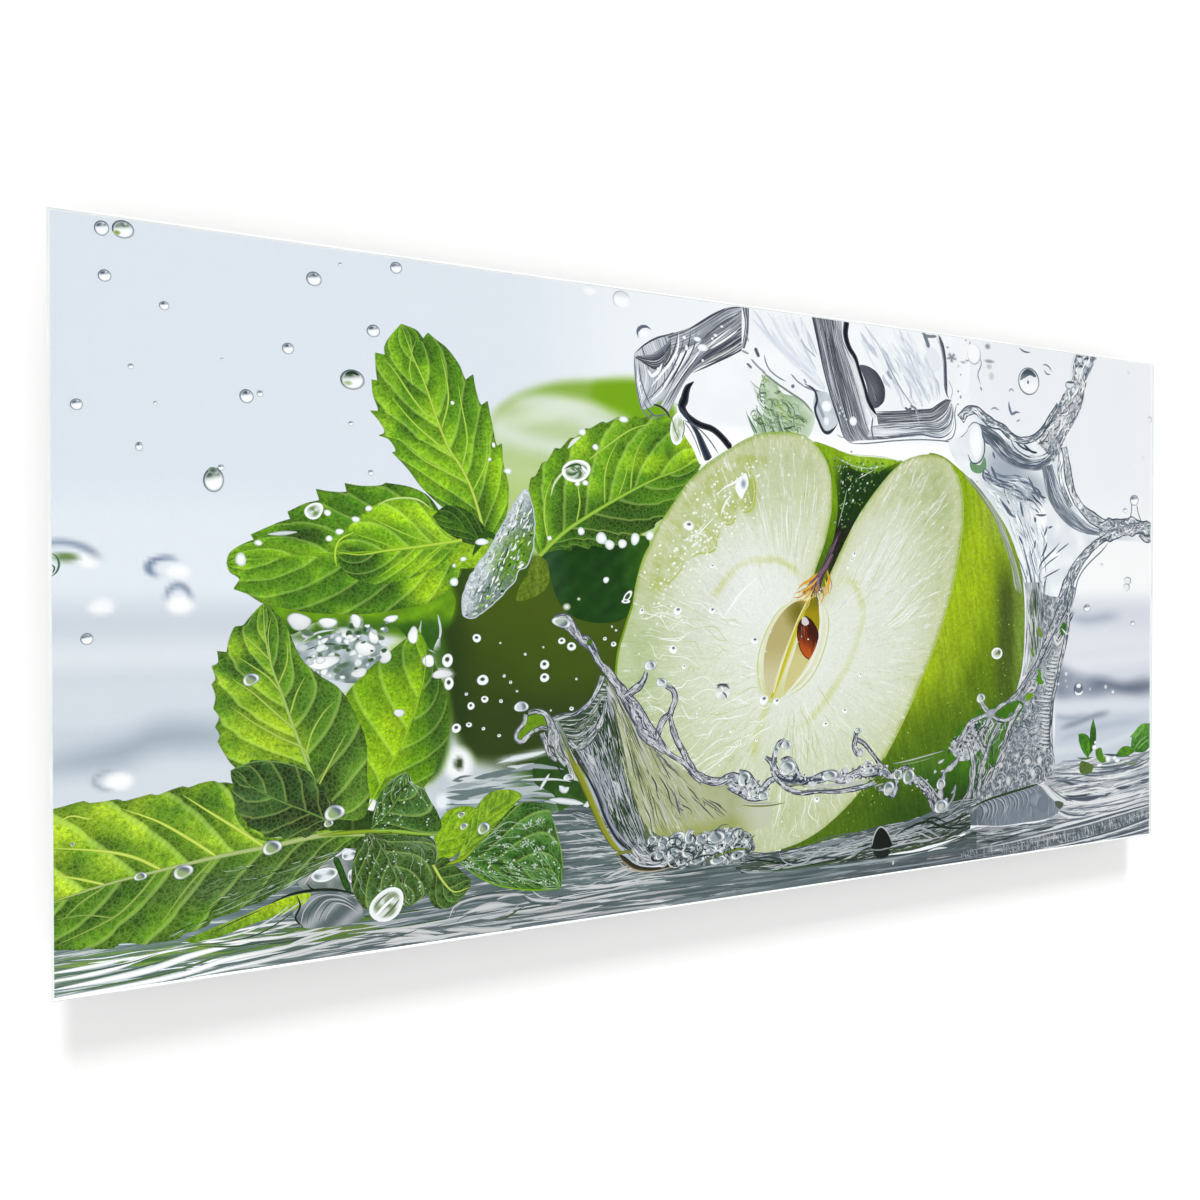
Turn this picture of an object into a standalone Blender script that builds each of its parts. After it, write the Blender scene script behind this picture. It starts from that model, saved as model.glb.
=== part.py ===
"""A printed glass wall panel: a chamfered sheet of clear glass with the printed and lacquered layer behind it.

The panel hangs on a wall. The origin is the centre of the face against the
wall, +Z is up, +X runs to the viewer's right and the glass faces -Y.
Lengths are in metres.
"""

import bmesh
import bpy

# The glass sheet.
PANEL_WIDTH = 1.000
PANEL_HEIGHT = 0.500
GLASS_THICKNESS = 0.0040
EDGE_CHAMFER = 0.0013
CORNER_RADIUS = 0.0015
CORNER_STEPS = 4

# The printed layer with its backing lacquer, behind the glass.
BACKING_THICKNESS = 0.0005
BACKING_INSET = 0.0015
PRINT_GAP = 0.0003


def principled(name, colour, roughness, metallic=0.0, transmission=0.0):
    material = bpy.data.materials.new(name)
    material.use_nodes = True
    shader = material.node_tree.nodes["Principled BSDF"]
    shader.inputs["Base Color"].default_value = (*colour, 1.0)
    shader.inputs["Roughness"].default_value = roughness
    shader.inputs["Metallic"].default_value = metallic
    shader.inputs["Transmission Weight"].default_value = transmission
    material.diffuse_color = (*colour, 1.0)
    return material


def sheet(name, width, height, thickness, back_y, material):
    """A flat upright sheet whose back face lies at back_y, with dubbed corners."""
    mesh = bpy.data.meshes.new(name)
    edit = bmesh.new()
    bmesh.ops.create_cube(edit, size=1.0)
    for vertex in edit.verts:
        vertex.co.x *= width
        vertex.co.y = vertex.co.y * thickness + back_y - thickness / 2
        vertex.co.z *= height
    corners = [
        edge
        for edge in edit.edges
        if abs(edge.verts[0].co.y - edge.verts[1].co.y) > thickness / 2
    ]
    bmesh.ops.bevel(
        edit,
        geom=corners,
        offset=CORNER_RADIUS,
        segments=CORNER_STEPS,
        profile=0.5,
        affect="EDGES",
    )
    edit.to_mesh(mesh)
    edit.free()
    mesh.materials.append(material)
    thing = bpy.data.objects.new(name, mesh)
    bpy.context.scene.collection.objects.link(thing)
    return thing


def chamfer(thing, size):
    """Breaks the edges round the front and the back of a sheet with one flat each."""
    bevel = thing.modifiers.new("edge_chamfer", "BEVEL")
    bevel.width = size
    bevel.segments = 1
    bevel.limit_method = "ANGLE"
    bevel.angle_limit = 1.0
    bevel.use_clamp_overlap = False


for thing in list(bpy.data.objects):
    bpy.data.objects.remove(thing, do_unlink=True)

backing = sheet(
    "print_backing",
    PANEL_WIDTH - 2 * BACKING_INSET,
    PANEL_HEIGHT - 2 * BACKING_INSET,
    BACKING_THICKNESS,
    0.0,
    principled("white_lacquer", (0.86, 0.87, 0.88), 0.45),
)

pane = sheet(
    "glass_pane",
    PANEL_WIDTH,
    PANEL_HEIGHT,
    GLASS_THICKNESS,
    -(BACKING_THICKNESS + PRINT_GAP),
    principled("clear_glass", (0.93, 0.97, 0.95), 0.03, transmission=1.0),
)
chamfer(pane, EDGE_CHAMFER)
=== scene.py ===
"""A printed glass wall panel: clear chamfered glass over a colour print of a halved green apple, mint leaves, ice and splashing water.

The print is drawn as flat coloured shapes, each on a level of its own in the
0.3 mm between the backing and the glass. A point of the print is given in
millimetres from the panel's upper left corner, x to the right and y down.
"""

import math

import bpy
import numpy as np
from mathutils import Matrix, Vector
from mathutils.geometry import delaunay_2d_cdt


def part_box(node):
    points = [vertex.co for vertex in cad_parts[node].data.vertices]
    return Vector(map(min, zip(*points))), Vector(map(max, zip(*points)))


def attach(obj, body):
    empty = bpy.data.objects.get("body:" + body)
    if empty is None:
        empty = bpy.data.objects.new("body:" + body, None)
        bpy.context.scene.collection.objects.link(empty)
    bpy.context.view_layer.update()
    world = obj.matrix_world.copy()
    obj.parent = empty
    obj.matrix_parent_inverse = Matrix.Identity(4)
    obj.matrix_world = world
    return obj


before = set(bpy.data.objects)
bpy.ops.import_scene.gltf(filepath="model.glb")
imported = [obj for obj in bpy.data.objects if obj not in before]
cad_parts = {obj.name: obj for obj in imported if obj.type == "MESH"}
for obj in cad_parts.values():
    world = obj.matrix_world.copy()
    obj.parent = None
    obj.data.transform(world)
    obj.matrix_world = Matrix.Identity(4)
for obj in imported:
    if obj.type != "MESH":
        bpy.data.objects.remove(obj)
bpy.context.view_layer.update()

MM = 0.001
PANE_LOW, PANE_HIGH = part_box("glass_pane")
BACK_LOW, BACK_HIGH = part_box("print_backing")
LEFT = PANE_LOW.x / MM
TOP = PANE_HIGH.z / MM
PRINT_X = (BACK_LOW.x / MM - LEFT, BACK_HIGH.x / MM - LEFT)
PRINT_Y = (TOP - BACK_HIGH.z / MM, TOP - BACK_LOW.z / MM)
FIRST_LEVEL = BACK_LOW.y - 0.000012
LAST_LEVEL = PANE_HIGH.y + 0.000012
LEVELS = 60.5
DEPTH = {"print_ripples": 0.93, "print_water": 0.83, "print_foam": 0.82}  # how far the water tones are deepened
INK = 0.92


# ---------------------------------------------------------------- curves


def curve(points, step=1.5, closed=False):
    """A smooth line through the points, sampled about every step. A point with a third number is a corner."""
    P = np.array([p[:2] for p in points], float)
    sharp = [len(p) > 2 for p in points]
    n = len(P)
    last = n if closed else n - 1
    out = []
    for i in range(last):
        j = (i + 1) % n
        d = np.linalg.norm(P[j] - P[i]) or 1e-6
        chord = (P[j] - P[i]) / d
        if sharp[i] or (i == 0 and not closed):
            a = chord
        else:
            a = (P[j] - P[i - 1]) / (np.linalg.norm(P[i] - P[i - 1]) + d)
        if sharp[j] or (j == n - 1 and not closed):
            b = chord
        else:
            k = (j + 1) % n
            b = (P[k] - P[i]) / (np.linalg.norm(P[k] - P[j]) + d)
        t = np.arange(max(1, math.ceil(d / step)))[:, None]
        t = t / len(t)
        out.append(
            (2 * t**3 - 3 * t**2 + 1) * P[i]
            + (t**3 - 2 * t**2 + t) * a * d
            + (3 * t**2 - 2 * t**3) * P[j]
            + (t**3 - t**2) * b * d
        )
    if not closed:
        out.append(P[-1:])
    return np.concatenate(out)


def lengths(line):
    return np.concatenate([[0], np.cumsum(np.linalg.norm(np.diff(line, axis=0), axis=1))])


def resample(line, n):
    s = lengths(line)
    t = np.linspace(0, s[-1], n)
    return np.stack([np.interp(t, s, line[:, 0]), np.interp(t, s, line[:, 1])], 1)


def turned(line):
    """Unit vectors across the line, to its right as it runs in the y-down picture."""
    d = np.gradient(line, axis=0)
    d /= np.linalg.norm(d, axis=1)[:, None] + 1e-9
    return np.stack([-d[:, 1], d[:, 0]], 1)


def smoothstep(a, b, x):
    t = np.clip((x - a) / (b - a), 0, 1)
    return t * t * (3 - 2 * t)


def hash01(*k):
    v = 0.0
    for i, a in enumerate(k):
        v = v + np.asarray(a, float) * (12.9898, 78.233, 37.719, 93.989)[i]
    return np.mod(np.abs(np.sin(v) * 43758.5453), 1.0)


def wander(x, seed=0.0):
    """A smooth pseudo-random wave between -1 and 1 along x, one bump per unit."""
    i = np.floor(x)
    f = x - i
    f = f * f * (3 - 2 * f)
    return 2 * (hash01(i, seed) * (1 - f) + hash01(i + 1, seed) * f) - 1


def clouds(x, y, scale, seed=0.0, octaves=3):
    """Smooth value noise in the plane, between -1 and 1."""
    total, amp, norm = 0.0, 1.0, 0.0
    for o in range(octaves):
        u, v = np.asarray(x) / scale * 2**o, np.asarray(y) / scale * 2**o
        i, j = np.floor(u), np.floor(v)
        f, g = u - i, v - j
        f, g = f * f * (3 - 2 * f), g * g * (3 - 2 * g)
        k = seed + o * 7.1
        a = hash01(i, j, k) * (1 - f) + hash01(i + 1, j, k) * f
        b = hash01(i, j + 1, k) * (1 - f) + hash01(i + 1, j + 1, k) * f
        total = total + amp * (2 * (a * (1 - g) + b * g) - 1)
        norm += amp
        amp *= 0.5
    return total / norm


def distance(outline, x, y):
    """Signed distance to a closed outline, negative inside."""
    p = np.stack([np.ravel(x), np.ravel(y)], 1)
    best = np.full(len(p), 1e9)
    inside = np.zeros(len(p), bool)
    for i in range(len(outline)):
        a, b = outline[i], outline[(i + 1) % len(outline)]
        d = b - a
        w = p - a
        t = np.clip((w @ d) / (d @ d + 1e-12), 0, 1)
        best = np.minimum(best, np.hypot(*(w - t[:, None] * d).T))
        cross = (a[1] > p[:, 1]) != (b[1] > p[:, 1])
        if cross.any():
            with np.errstate(divide="ignore", invalid="ignore"):
                at = a[0] + (p[:, 1] - a[1]) * d[0] / d[1]
            inside ^= cross & (p[:, 0] < at)
    return np.where(inside, -best, best).reshape(np.shape(x))


def inside(outline, p):
    keep = np.zeros(len(p), bool)
    for i in range(len(outline)):
        a, b = outline[i], outline[(i + 1) % len(outline)]
        cross = (a[1] > p[:, 1]) != (b[1] > p[:, 1])
        if cross.any():
            with np.errstate(divide="ignore", invalid="ignore"):
                at = a[0] + (p[:, 1] - a[1]) * (b[0] - a[0]) / (b[1] - a[1])
            keep ^= cross & (p[:, 0] < at)
    return keep


# ---------------------------------------------------------------- colour


def rgb(c):
    return np.asarray(c, float)


def mix(a, b, t):
    t = np.asarray(t, float)
    a, b = rgb(a), rgb(b)
    if t.ndim and (a.ndim == 1 or b.ndim == 1 or a.ndim == b.ndim):
        t = t[..., None]
    return a * (1 - t) + b * t


def stops(t, *pairs):
    """Colour along t, from (position, colour) pairs."""
    at = [p for p, _ in pairs]
    cs = np.array([c for _, c in pairs], float)
    return np.stack([np.interp(t, at, cs[:, k]) for k in range(3)], -1)


def linear(c):
    c = np.clip(np.asarray(c, float) / 255, 0, 1)
    return np.where(c <= 0.04045, c / 12.92, ((c + 0.055) / 1.055) ** 2.4)


# ---------------------------------------------------------------- shapes


class Store:
    """Gathers flat shapes by piece name until they are made into meshes."""

    def __init__(self):
        self.pieces = {}
        self.drawn = 0

    def add(self, piece, points, faces, level, colour, flow=None):
        points = np.asarray(points, float).reshape(-1, 2).copy()
        n = len(points)
        colour = np.broadcast_to(rgb(colour), (n, 3)) * DEPTH.get(piece, 1.0)
        if (piece == "print_marks" and 22 <= level < 32) or piece == "print_ripples":
            colour = colour * np.interp(points[:, 0], (90, 150, 300, 500, 620, 740, 900), (1.04, 0.86, 0.80, 0.87, 0.84, 0.77, 0.92))[:, None]
        flow = np.zeros((n, 3)) if flow is None else np.broadcast_to(flow, (n, 3))
        faces = np.asarray(faces, int)
        if faces.shape[1] == 4:
            faces = np.concatenate([faces[:, [0, 1, 2]], faces[:, [0, 2, 3]]])
        points[:, 0] = np.clip(points[:, 0], *PRINT_X)
        points[:, 1] = np.clip(points[:, 1], *PRINT_Y)
        a, b, c = (points[faces[:, k]] for k in range(3))
        area = (b[:, 0] - a[:, 0]) * (c[:, 1] - a[:, 1]) - (b[:, 1] - a[:, 1]) * (c[:, 0] - a[:, 0])
        faces = faces[np.abs(area) > 1e-5]
        area = area[np.abs(area) > 1e-5]
        faces = np.where((area > 0)[:, None], faces[:, [0, 2, 1]], faces)
        if not len(faces):
            return
        if piece == "print_marks":
            piece += "_left" if points[:, 0].mean() < 330 else "_middle" if points[:, 0].mean() < 640 else "_right"
        self.drawn += 1  # shapes drawn one after another at a level are kept a hair apart
        y = FIRST_LEVEL + (LAST_LEVEL - FIRST_LEVEL) * (level + 0.035 * (self.drawn % 12)) / LEVELS
        store = self.pieces.setdefault(piece, {"co": [], "faces": [], "col": [], "flow": [], "n": 0})
        co = np.empty((n, 3))
        co[:, 0] = (points[:, 0] + LEFT) * MM
        co[:, 1] = y
        co[:, 2] = (TOP - points[:, 1]) * MM
        store["co"].append(co)
        store["faces"].append(faces + store["n"])
        store["col"].append(linear(colour))
        store["flow"].append(flow)
        store["n"] += n

    def make(self, piece, material):
        s = self.pieces[piece]
        co, faces = np.concatenate(s["co"]), np.concatenate(s["faces"])
        mesh = bpy.data.meshes.new(piece)
        mesh.vertices.add(len(co))
        mesh.vertices.foreach_set("co", co.astype(np.float32).ravel())
        mesh.loops.add(faces.size)
        mesh.loops.foreach_set("vertex_index", faces.astype(np.int32).ravel())
        mesh.polygons.add(len(faces))
        mesh.polygons.foreach_set("loop_start", np.arange(0, faces.size, 3, dtype=np.int32))
        mesh.update(calc_edges=True)
        mesh.validate()
        col = mesh.color_attributes.new("Col", "FLOAT_COLOR", "POINT")
        rgba = np.ones((len(co), 4), np.float32)
        rgba[:, :3] = np.concatenate(s["col"])
        col.data.foreach_set("color", rgba.ravel())
        flow = mesh.attributes.new("flow", "FLOAT_VECTOR", "POINT")
        flow.data.foreach_set("vector", np.concatenate(s["flow"]).astype(np.float32).ravel())
        mesh.materials.append(material)
        thing = bpy.data.objects.new(piece, mesh)
        bpy.context.scene.collection.objects.link(thing)
        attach(thing, "root")
        thing.visible_diffuse = False  # ink has no thickness, so it shades nothing
        thing.visible_shadow = False
        return thing


art = Store()


def grid_faces(nu, nv, closed=False):
    i, j = np.meshgrid(np.arange(nu if closed else nu - 1), np.arange(nv - 1), indexing="ij")
    k = (i + 1) % nu
    return np.stack([i * nv + j, k * nv + j, k * nv + j + 1, i * nv + j + 1], -1).reshape(-1, 4)


def loft(curves, nu, nv, at=None):
    """A patch whose u lines follow the guide curves, and whose v runs across them from the first to the last. Points come as [u, v]."""
    rows = np.stack([resample(curve(c) if not isinstance(c, np.ndarray) else c, nu) for c in curves])
    k = len(rows)
    at = np.linspace(0, 1, k) if at is None else np.array(at, float)
    v = np.linspace(0, 1, nv)
    if k == 2:
        return rows[0][:, None] * (1 - v)[None, :, None] + rows[1][:, None] * v[None, :, None]
    out = np.empty((nu, nv, 2))
    tangent = np.gradient(rows, at, axis=0)
    for n, t in enumerate(v):
        i = min(int(np.searchsorted(at, t, "right")) - 1, k - 2)
        d = at[i + 1] - at[i]
        f = (t - at[i]) / d
        out[:, n] = (
            (2 * f**3 - 3 * f**2 + 1) * rows[i]
            + (f**3 - 2 * f**2 + f) * d * tangent[i]
            + (3 * f**2 - 2 * f**3) * rows[i + 1]
            + (f**3 - f**2) * d * tangent[i + 1]
        )
    return out


def flow_of(P, amp=1.0):
    """Millimetres along and across a patch, and the strength given."""
    nu, nv = P.shape[:2]
    s = lengths(P[:, nv // 2])[:, None] * np.ones(nv)
    across = np.concatenate(
        [np.zeros((nu, 1)), np.cumsum(np.linalg.norm(np.diff(P, axis=1), axis=2), axis=1)], 1
    )
    t = (across - across[:, -1:] / 2) * 0.5 + np.linspace(-0.5, 0.5, nv) * across[:, -1:].mean() * 0.5
    return np.stack([s, t, np.broadcast_to(amp, s.shape)], -1).reshape(-1, 3)


def patch(piece, P, level, colour, flow=None):
    nu, nv = P.shape[:2]
    colour = np.asarray(colour, float)
    if colour.ndim == 3:
        colour = colour.reshape(-1, 3)
    art.add(piece, P.reshape(-1, 2), grid_faces(nu, nv), level, colour, flow)


def blob(piece, outline, level, colour, spacing=3.0, flow=None, step=1.5):
    """A filled outline. colour and flow may be functions of x and y."""
    line = curve(outline, step, closed=True) if not isinstance(outline, np.ndarray) else outline
    lo, hi = line.min(0), line.max(0)
    xs = np.arange(lo[0] + spacing / 2, hi[0], spacing)
    ys = np.arange(lo[1] + spacing / 2, hi[1], spacing)
    points = line
    if len(xs) and len(ys):
        gx, gy = np.meshgrid(xs, ys)
        gx = gx + (np.arange(len(ys)) % 2)[:, None] * spacing / 2
        grid = np.stack([gx.ravel(), gy.ravel()], 1)
        grid = grid[inside(line, grid)]
        if len(grid):
            near = np.full(len(grid), 1e9)
            for i in range(0, len(line)):
                near = np.minimum(near, np.hypot(*(grid - line[i]).T))
            grid = grid[near > spacing * 0.45]
            points = np.concatenate([line, grid])
    n = len(line)
    edges = [(i, (i + 1) % n) for i in range(n)]
    verts, _, faces, _, _, _ = delaunay_2d_cdt([Vector(p) for p in points], edges, [], 1, 1e-5)
    verts = np.array([tuple(v) for v in verts])
    faces = np.array([f for f in faces if len(f) == 3])
    x, y = verts[:, 0], verts[:, 1]
    c = colour(x, y) if callable(colour) else colour
    f = flow(x, y) if callable(flow) else flow
    art.add(piece, verts, faces, level, c, f)


def strip(piece, path, width, level, colour, side=None, step=1.5, taper=(0.0, 0.0), flow=None):
    """A line of varying width. width is a number, or (position, width) pairs. side is the colour at its two edges, colour the one down its middle."""
    line = curve(path, step) if not isinstance(path, np.ndarray) else path
    n = len(line)
    s = lengths(line)
    t = s / (s[-1] or 1)
    if np.isscalar(width):
        w = np.full(n, float(width))
    else:
        w = np.interp(t, [a for a, _ in width], [b for _, b in width])
    if taper[0]:
        w = w * np.clip(t / taper[0], 0.02, 1) ** 0.6
    if taper[1]:
        w = w * np.clip((1 - t) / taper[1], 0.02, 1) ** 0.6
    across = turned(line)
    if side is None:
        P = np.stack([line - across * w[:, None] / 2, line + across * w[:, None] / 2], 1)
        c = rgb(colour)
        c = np.repeat(c[:, None], 2, 1).reshape(-1, 3) if c.ndim == 2 else c
    else:
        P = np.stack([line + across * w[:, None] * k for k in (-0.5, -0.18, 0.18, 0.5)], 1)
        sides = side if isinstance(side, tuple) and len(side) == 2 else (side, side)
        c = np.stack([np.broadcast_to(rgb(k), (n, 3)) for k in (sides[0], colour, colour, sides[1])], 1).reshape(-1, 3)
    f = None
    if flow is not None:
        f = np.stack([np.repeat(s, P.shape[1]), np.tile(np.linspace(-0.5, 0.5, P.shape[1]), n) * np.repeat(w, P.shape[1]), np.full(n * P.shape[1], flow)], 1)
    art.add(piece, P.reshape(-1, 2), grid_faces(n, P.shape[1]), level, c, f)


def streaks(piece, P, level, count, colours, seed, length=(0.1, 0.4), width=(0.4, 1.4), drift=0.03, u=(0, 1), v=(0, 1), nudge=0.0):
    """Thin tapered strokes that follow the u lines of a patch, in colours picked at random."""
    rng = np.random.default_rng(seed)
    nu, nv = P.shape[:2]
    for _ in range(count):
        span = rng.uniform(*length)
        u0 = rng.uniform(u[0] - span * 0.3, max(u[0], u[1] - span * 0.6))
        v0 = rng.uniform(*v)
        m = max(5, int(span * nu * 0.8))
        uu = np.clip(np.linspace(u0, u0 + span, m), 0, 1) * (nu - 1)
        vv = np.clip(v0 + drift * wander(np.linspace(0, 2.5, m), rng.uniform(0, 99)), 0, 1) * (nv - 1)
        i, j = np.clip(uu.astype(int), 0, nu - 2), np.clip(vv.astype(int), 0, nv - 2)
        f, g = (uu - i)[:, None], (vv - j)[:, None]
        line = (P[i, j] * (1 - f) + P[i + 1, j] * f) * (1 - g) + (P[i, j + 1] * (1 - f) + P[i + 1, j + 1] * f) * g
        keep = np.concatenate([[True], np.linalg.norm(np.diff(line, axis=0), axis=1) > 0.05])
        line = line[keep]
        if len(line) < 4:
            continue
        if nudge:
            line = line + nudge * np.stack([wander(lengths(line) / 6, rng.uniform(0, 99)), wander(lengths(line) / 6, rng.uniform(0, 99))], 1)
        w = rng.uniform(*width)
        strip(piece, line, w, level, colours[rng.integers(len(colours))], taper=(0.35, 0.45))


def disc(piece, x, y, rx, ry, level, colour_fn, angle=0.0, rings=7, n=30, wobble=0.0, seed=0.0):
    """An oval drawn in rings. colour_fn(r, a) gives colours, r from 0 at the middle to 1, a the angle with pi/2 upward."""
    r = np.concatenate([[0.0], np.linspace(0, 1, rings + 1)[1:] ** 0.85])
    a = np.linspace(0, 2 * math.pi, n, endpoint=False)
    A, R = np.meshgrid(a, r, indexing="ij")
    w = 1 + wobble * np.sin(A * 2 + seed) + wobble * 0.6 * np.sin(A * 3 + seed * 2.3)
    px, py = R * w * np.cos(A) * rx, -R * w * np.sin(A) * ry
    ca, sa = math.cos(angle), math.sin(angle)
    P = np.stack([x + px * ca - py * sa, y + px * sa + py * ca], -1)
    c = colour_fn(R, A)
    art.add(piece, P.reshape(-1, 2), grid_faces(n, len(r), closed=True), level, np.asarray(c, float).reshape(-1, 3))


# ---------------------------------------------------------------- materials


class Shader:
    """A material's node tree, with short names for the nodes it uses."""

    def __init__(self, name):
        self.material = bpy.data.materials.new(name)
        self.material.use_nodes = True
        self.tree = self.material.node_tree
        self.tree.nodes.clear()
        self.out = self.node("ShaderNodeOutputMaterial")

    def node(self, kind, **settings):
        n = self.tree.nodes.new(kind)
        for k, v in settings.items():
            setattr(n, k, v)
        return n

    def set(self, socket, value):
        if isinstance(value, bpy.types.NodeSocket):
            self.tree.links.new(value, socket)
        else:
            socket.default_value = value

    def math(self, operation, a, b=0.0, c=0.0, clamp=False):
        n = self.node("ShaderNodeMath", operation=operation, use_clamp=clamp)
        for socket, value in zip(n.inputs, (a, b, c)):
            self.set(socket, value)
        return n.outputs[0]

    def ramp(self, x, low, high, to_low=0.0, to_high=1.0):
        n = self.node("ShaderNodeMapRange", interpolation_type="SMOOTHSTEP", clamp=True)
        for socket, value in zip(n.inputs, (x, low, high, to_low, to_high)):
            self.set(socket, value)
        return n.outputs[0]

    def mix(self, factor, a, b, blend="MIX"):
        n = self.node("ShaderNodeMix", data_type="RGBA", blend_type=blend)
        self.set(n.inputs["Factor"], factor)
        self.set(n.inputs["A"], a)
        self.set(n.inputs["B"], b)
        return n.outputs["Result"]

    def scaled(self, colour, value):
        """A colour times a number."""
        n = self.node("ShaderNodeVectorMath", operation="SCALE")
        self.set(n.inputs[0], colour)
        self.set(n.inputs["Scale"], value)
        return n.outputs[0]

    def attribute(self, name):
        return self.node("ShaderNodeAttribute", attribute_type="GEOMETRY", attribute_name=name)

    def split(self, vector):
        n = self.node("ShaderNodeSeparateXYZ")
        self.set(n.inputs[0], vector)
        return n.outputs

    def vector(self, x, y, z=0.0):
        n = self.node("ShaderNodeCombineXYZ")
        for socket, value in zip(n.inputs, (x, y, z)):
            self.set(socket, value)
        return n.outputs[0]

    def place(self):
        """The point in millimetres, in the part's own frame."""
        n = self.node("ShaderNodeTexCoord")
        s = self.node("ShaderNodeVectorMath", operation="SCALE")
        self.set(s.inputs[0], n.outputs["Object"])
        s.inputs["Scale"].default_value = 1000.0
        return s.outputs[0]

    def noise(self, vector, scale, detail=3.0, rough=0.55, twist=0.0):
        n = self.node("ShaderNodeTexNoise")
        self.set(n.inputs["Vector"], vector)
        n.inputs["Scale"].default_value = scale
        n.inputs["Detail"].default_value = detail
        n.inputs["Roughness"].default_value = rough
        n.inputs["Distortion"].default_value = twist
        return n.outputs["Fac"]

    def cells(self, vector, scale, feature="DISTANCE_TO_EDGE"):
        n = self.node("ShaderNodeTexVoronoi", feature=feature)
        self.set(n.inputs["Vector"], vector)
        n.inputs["Scale"].default_value = scale
        return n.outputs["Distance"]

    def ink(self, colour, roughness=0.55):
        s = self.node("ShaderNodeBsdfPrincipled")
        self.set(s.inputs["Base Color"], self.scaled(colour, INK))
        s.inputs["Roughness"].default_value = roughness
        s.inputs["Specular IOR Level"].default_value = 0.0
        self.tree.links.new(s.outputs[0], self.out.inputs["Surface"])
        return self.material


def plain_ink():
    m = Shader("ink_flat")
    col = m.attribute("Col").outputs["Color"]
    grain = m.noise(m.place(), 0.9, 2.0)
    return m.ink(m.scaled(col, m.ramp(grain, 0.3, 0.7, 0.985, 1.015)))


def leaf_ink():
    """flow holds the side veins' phase, the distance from the midrib and the strength of the relief."""
    m = Shader("ink_leaf")
    col = m.attribute("Col").outputs["Color"]
    phase, across, relief = m.split(m.attribute("flow").outputs["Vector"])
    place = m.place()
    f = m.math("FRACT", phase)
    edge = m.math("ABSOLUTE", m.math("MULTIPLY_ADD", f, 2.0, -1.0))
    vein = m.ramp(edge, 0.80, 0.95)
    bulge = m.math("MULTIPLY_ADD", m.math("SUBTRACT", f, 0.45), m.math("MULTIPLY", relief, -0.75), 1.0)
    net = m.cells(place, 0.30)
    fine = m.cells(place, 0.75)
    lines = m.ramp(net, 0.16, 0.03)
    fines = m.ramp(fine, 0.14, 0.02)
    mottle = m.ramp(m.noise(place, 0.42, 4.0, 0.7), 0.32, 0.68, 0.62, 1.30)
    speck = m.ramp(m.noise(place, 1.1, 2.0, 0.7), 0.35, 0.65, 0.76, 1.22)
    body = m.scaled(m.scaled(m.scaled(col, bulge), mottle), speck)
    light = m.mix(0.35, m.scaled(col, 1.45), (0.50, 0.68, 0.16, 1.0))
    c = m.mix(m.math("MULTIPLY", lines, m.math("MULTIPLY", relief, 0.26)), body, light)
    c = m.mix(m.math("MULTIPLY", fines, m.math("MULTIPLY", relief, 0.10)), c, light)
    c = m.mix(m.math("MULTIPLY", vein, m.math("MULTIPLY", relief, 0.85), clamp=True), c, light)
    return m.ink(c)


def soft_leaf_ink():
    m = Shader("ink_leaf_far")
    col = m.attribute("Col").outputs["Color"]
    phase, across, relief = m.split(m.attribute("flow").outputs["Vector"])
    f = m.math("FRACT", phase)
    wave = m.math("SINE", m.math("MULTIPLY", f, 6.28318))
    bulge = m.math("MULTIPLY_ADD", wave, m.math("MULTIPLY", relief, 0.22), 1.0)
    mottle = m.ramp(m.noise(m.place(), 0.12, 3.0, 0.6), 0.32, 0.68, 0.85, 1.15)
    return m.ink(m.scaled(m.scaled(col, bulge), mottle))


def water_ink(name, along, across, twist, bright, dark, cell=0.0, gain=(0.30, 0.48, 0.52, 0.66)):
    """flow holds millimetres along and across the water's run, and the strength of its streaks."""
    m = Shader(name)
    col = m.attribute("Col").outputs["Color"]
    s, t, amp = m.split(m.attribute("flow").outputs["Vector"])
    v = m.vector(m.math("MULTIPLY", s, along), m.math("MULTIPLY", t, across), 0.0)
    n = m.noise(v, 1.0, 4.0, 0.62, twist)
    if cell:
        b = m.cells(m.place(), cell, "SMOOTH_F1")
        n = m.math("ADD", m.math("MULTIPLY", n, 0.84), m.math("MULTIPLY", m.ramp(b, 0.1, 0.75), 0.16))
    n = m.math("MULTIPLY_ADD", m.math("SUBTRACT", n, 0.5), amp, 0.5)
    low = m.ramp(n, gain[0], gain[1], 1.0, 0.0)
    high = m.ramp(n, gain[2], gain[3])
    c = m.mix(low, col, m.mix(0.5, m.scaled(col, 0.30), dark))
    c = m.mix(m.math("MULTIPLY", high, 0.85), c, m.mix(0.22, bright, col))
    return m.ink(c)


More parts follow.
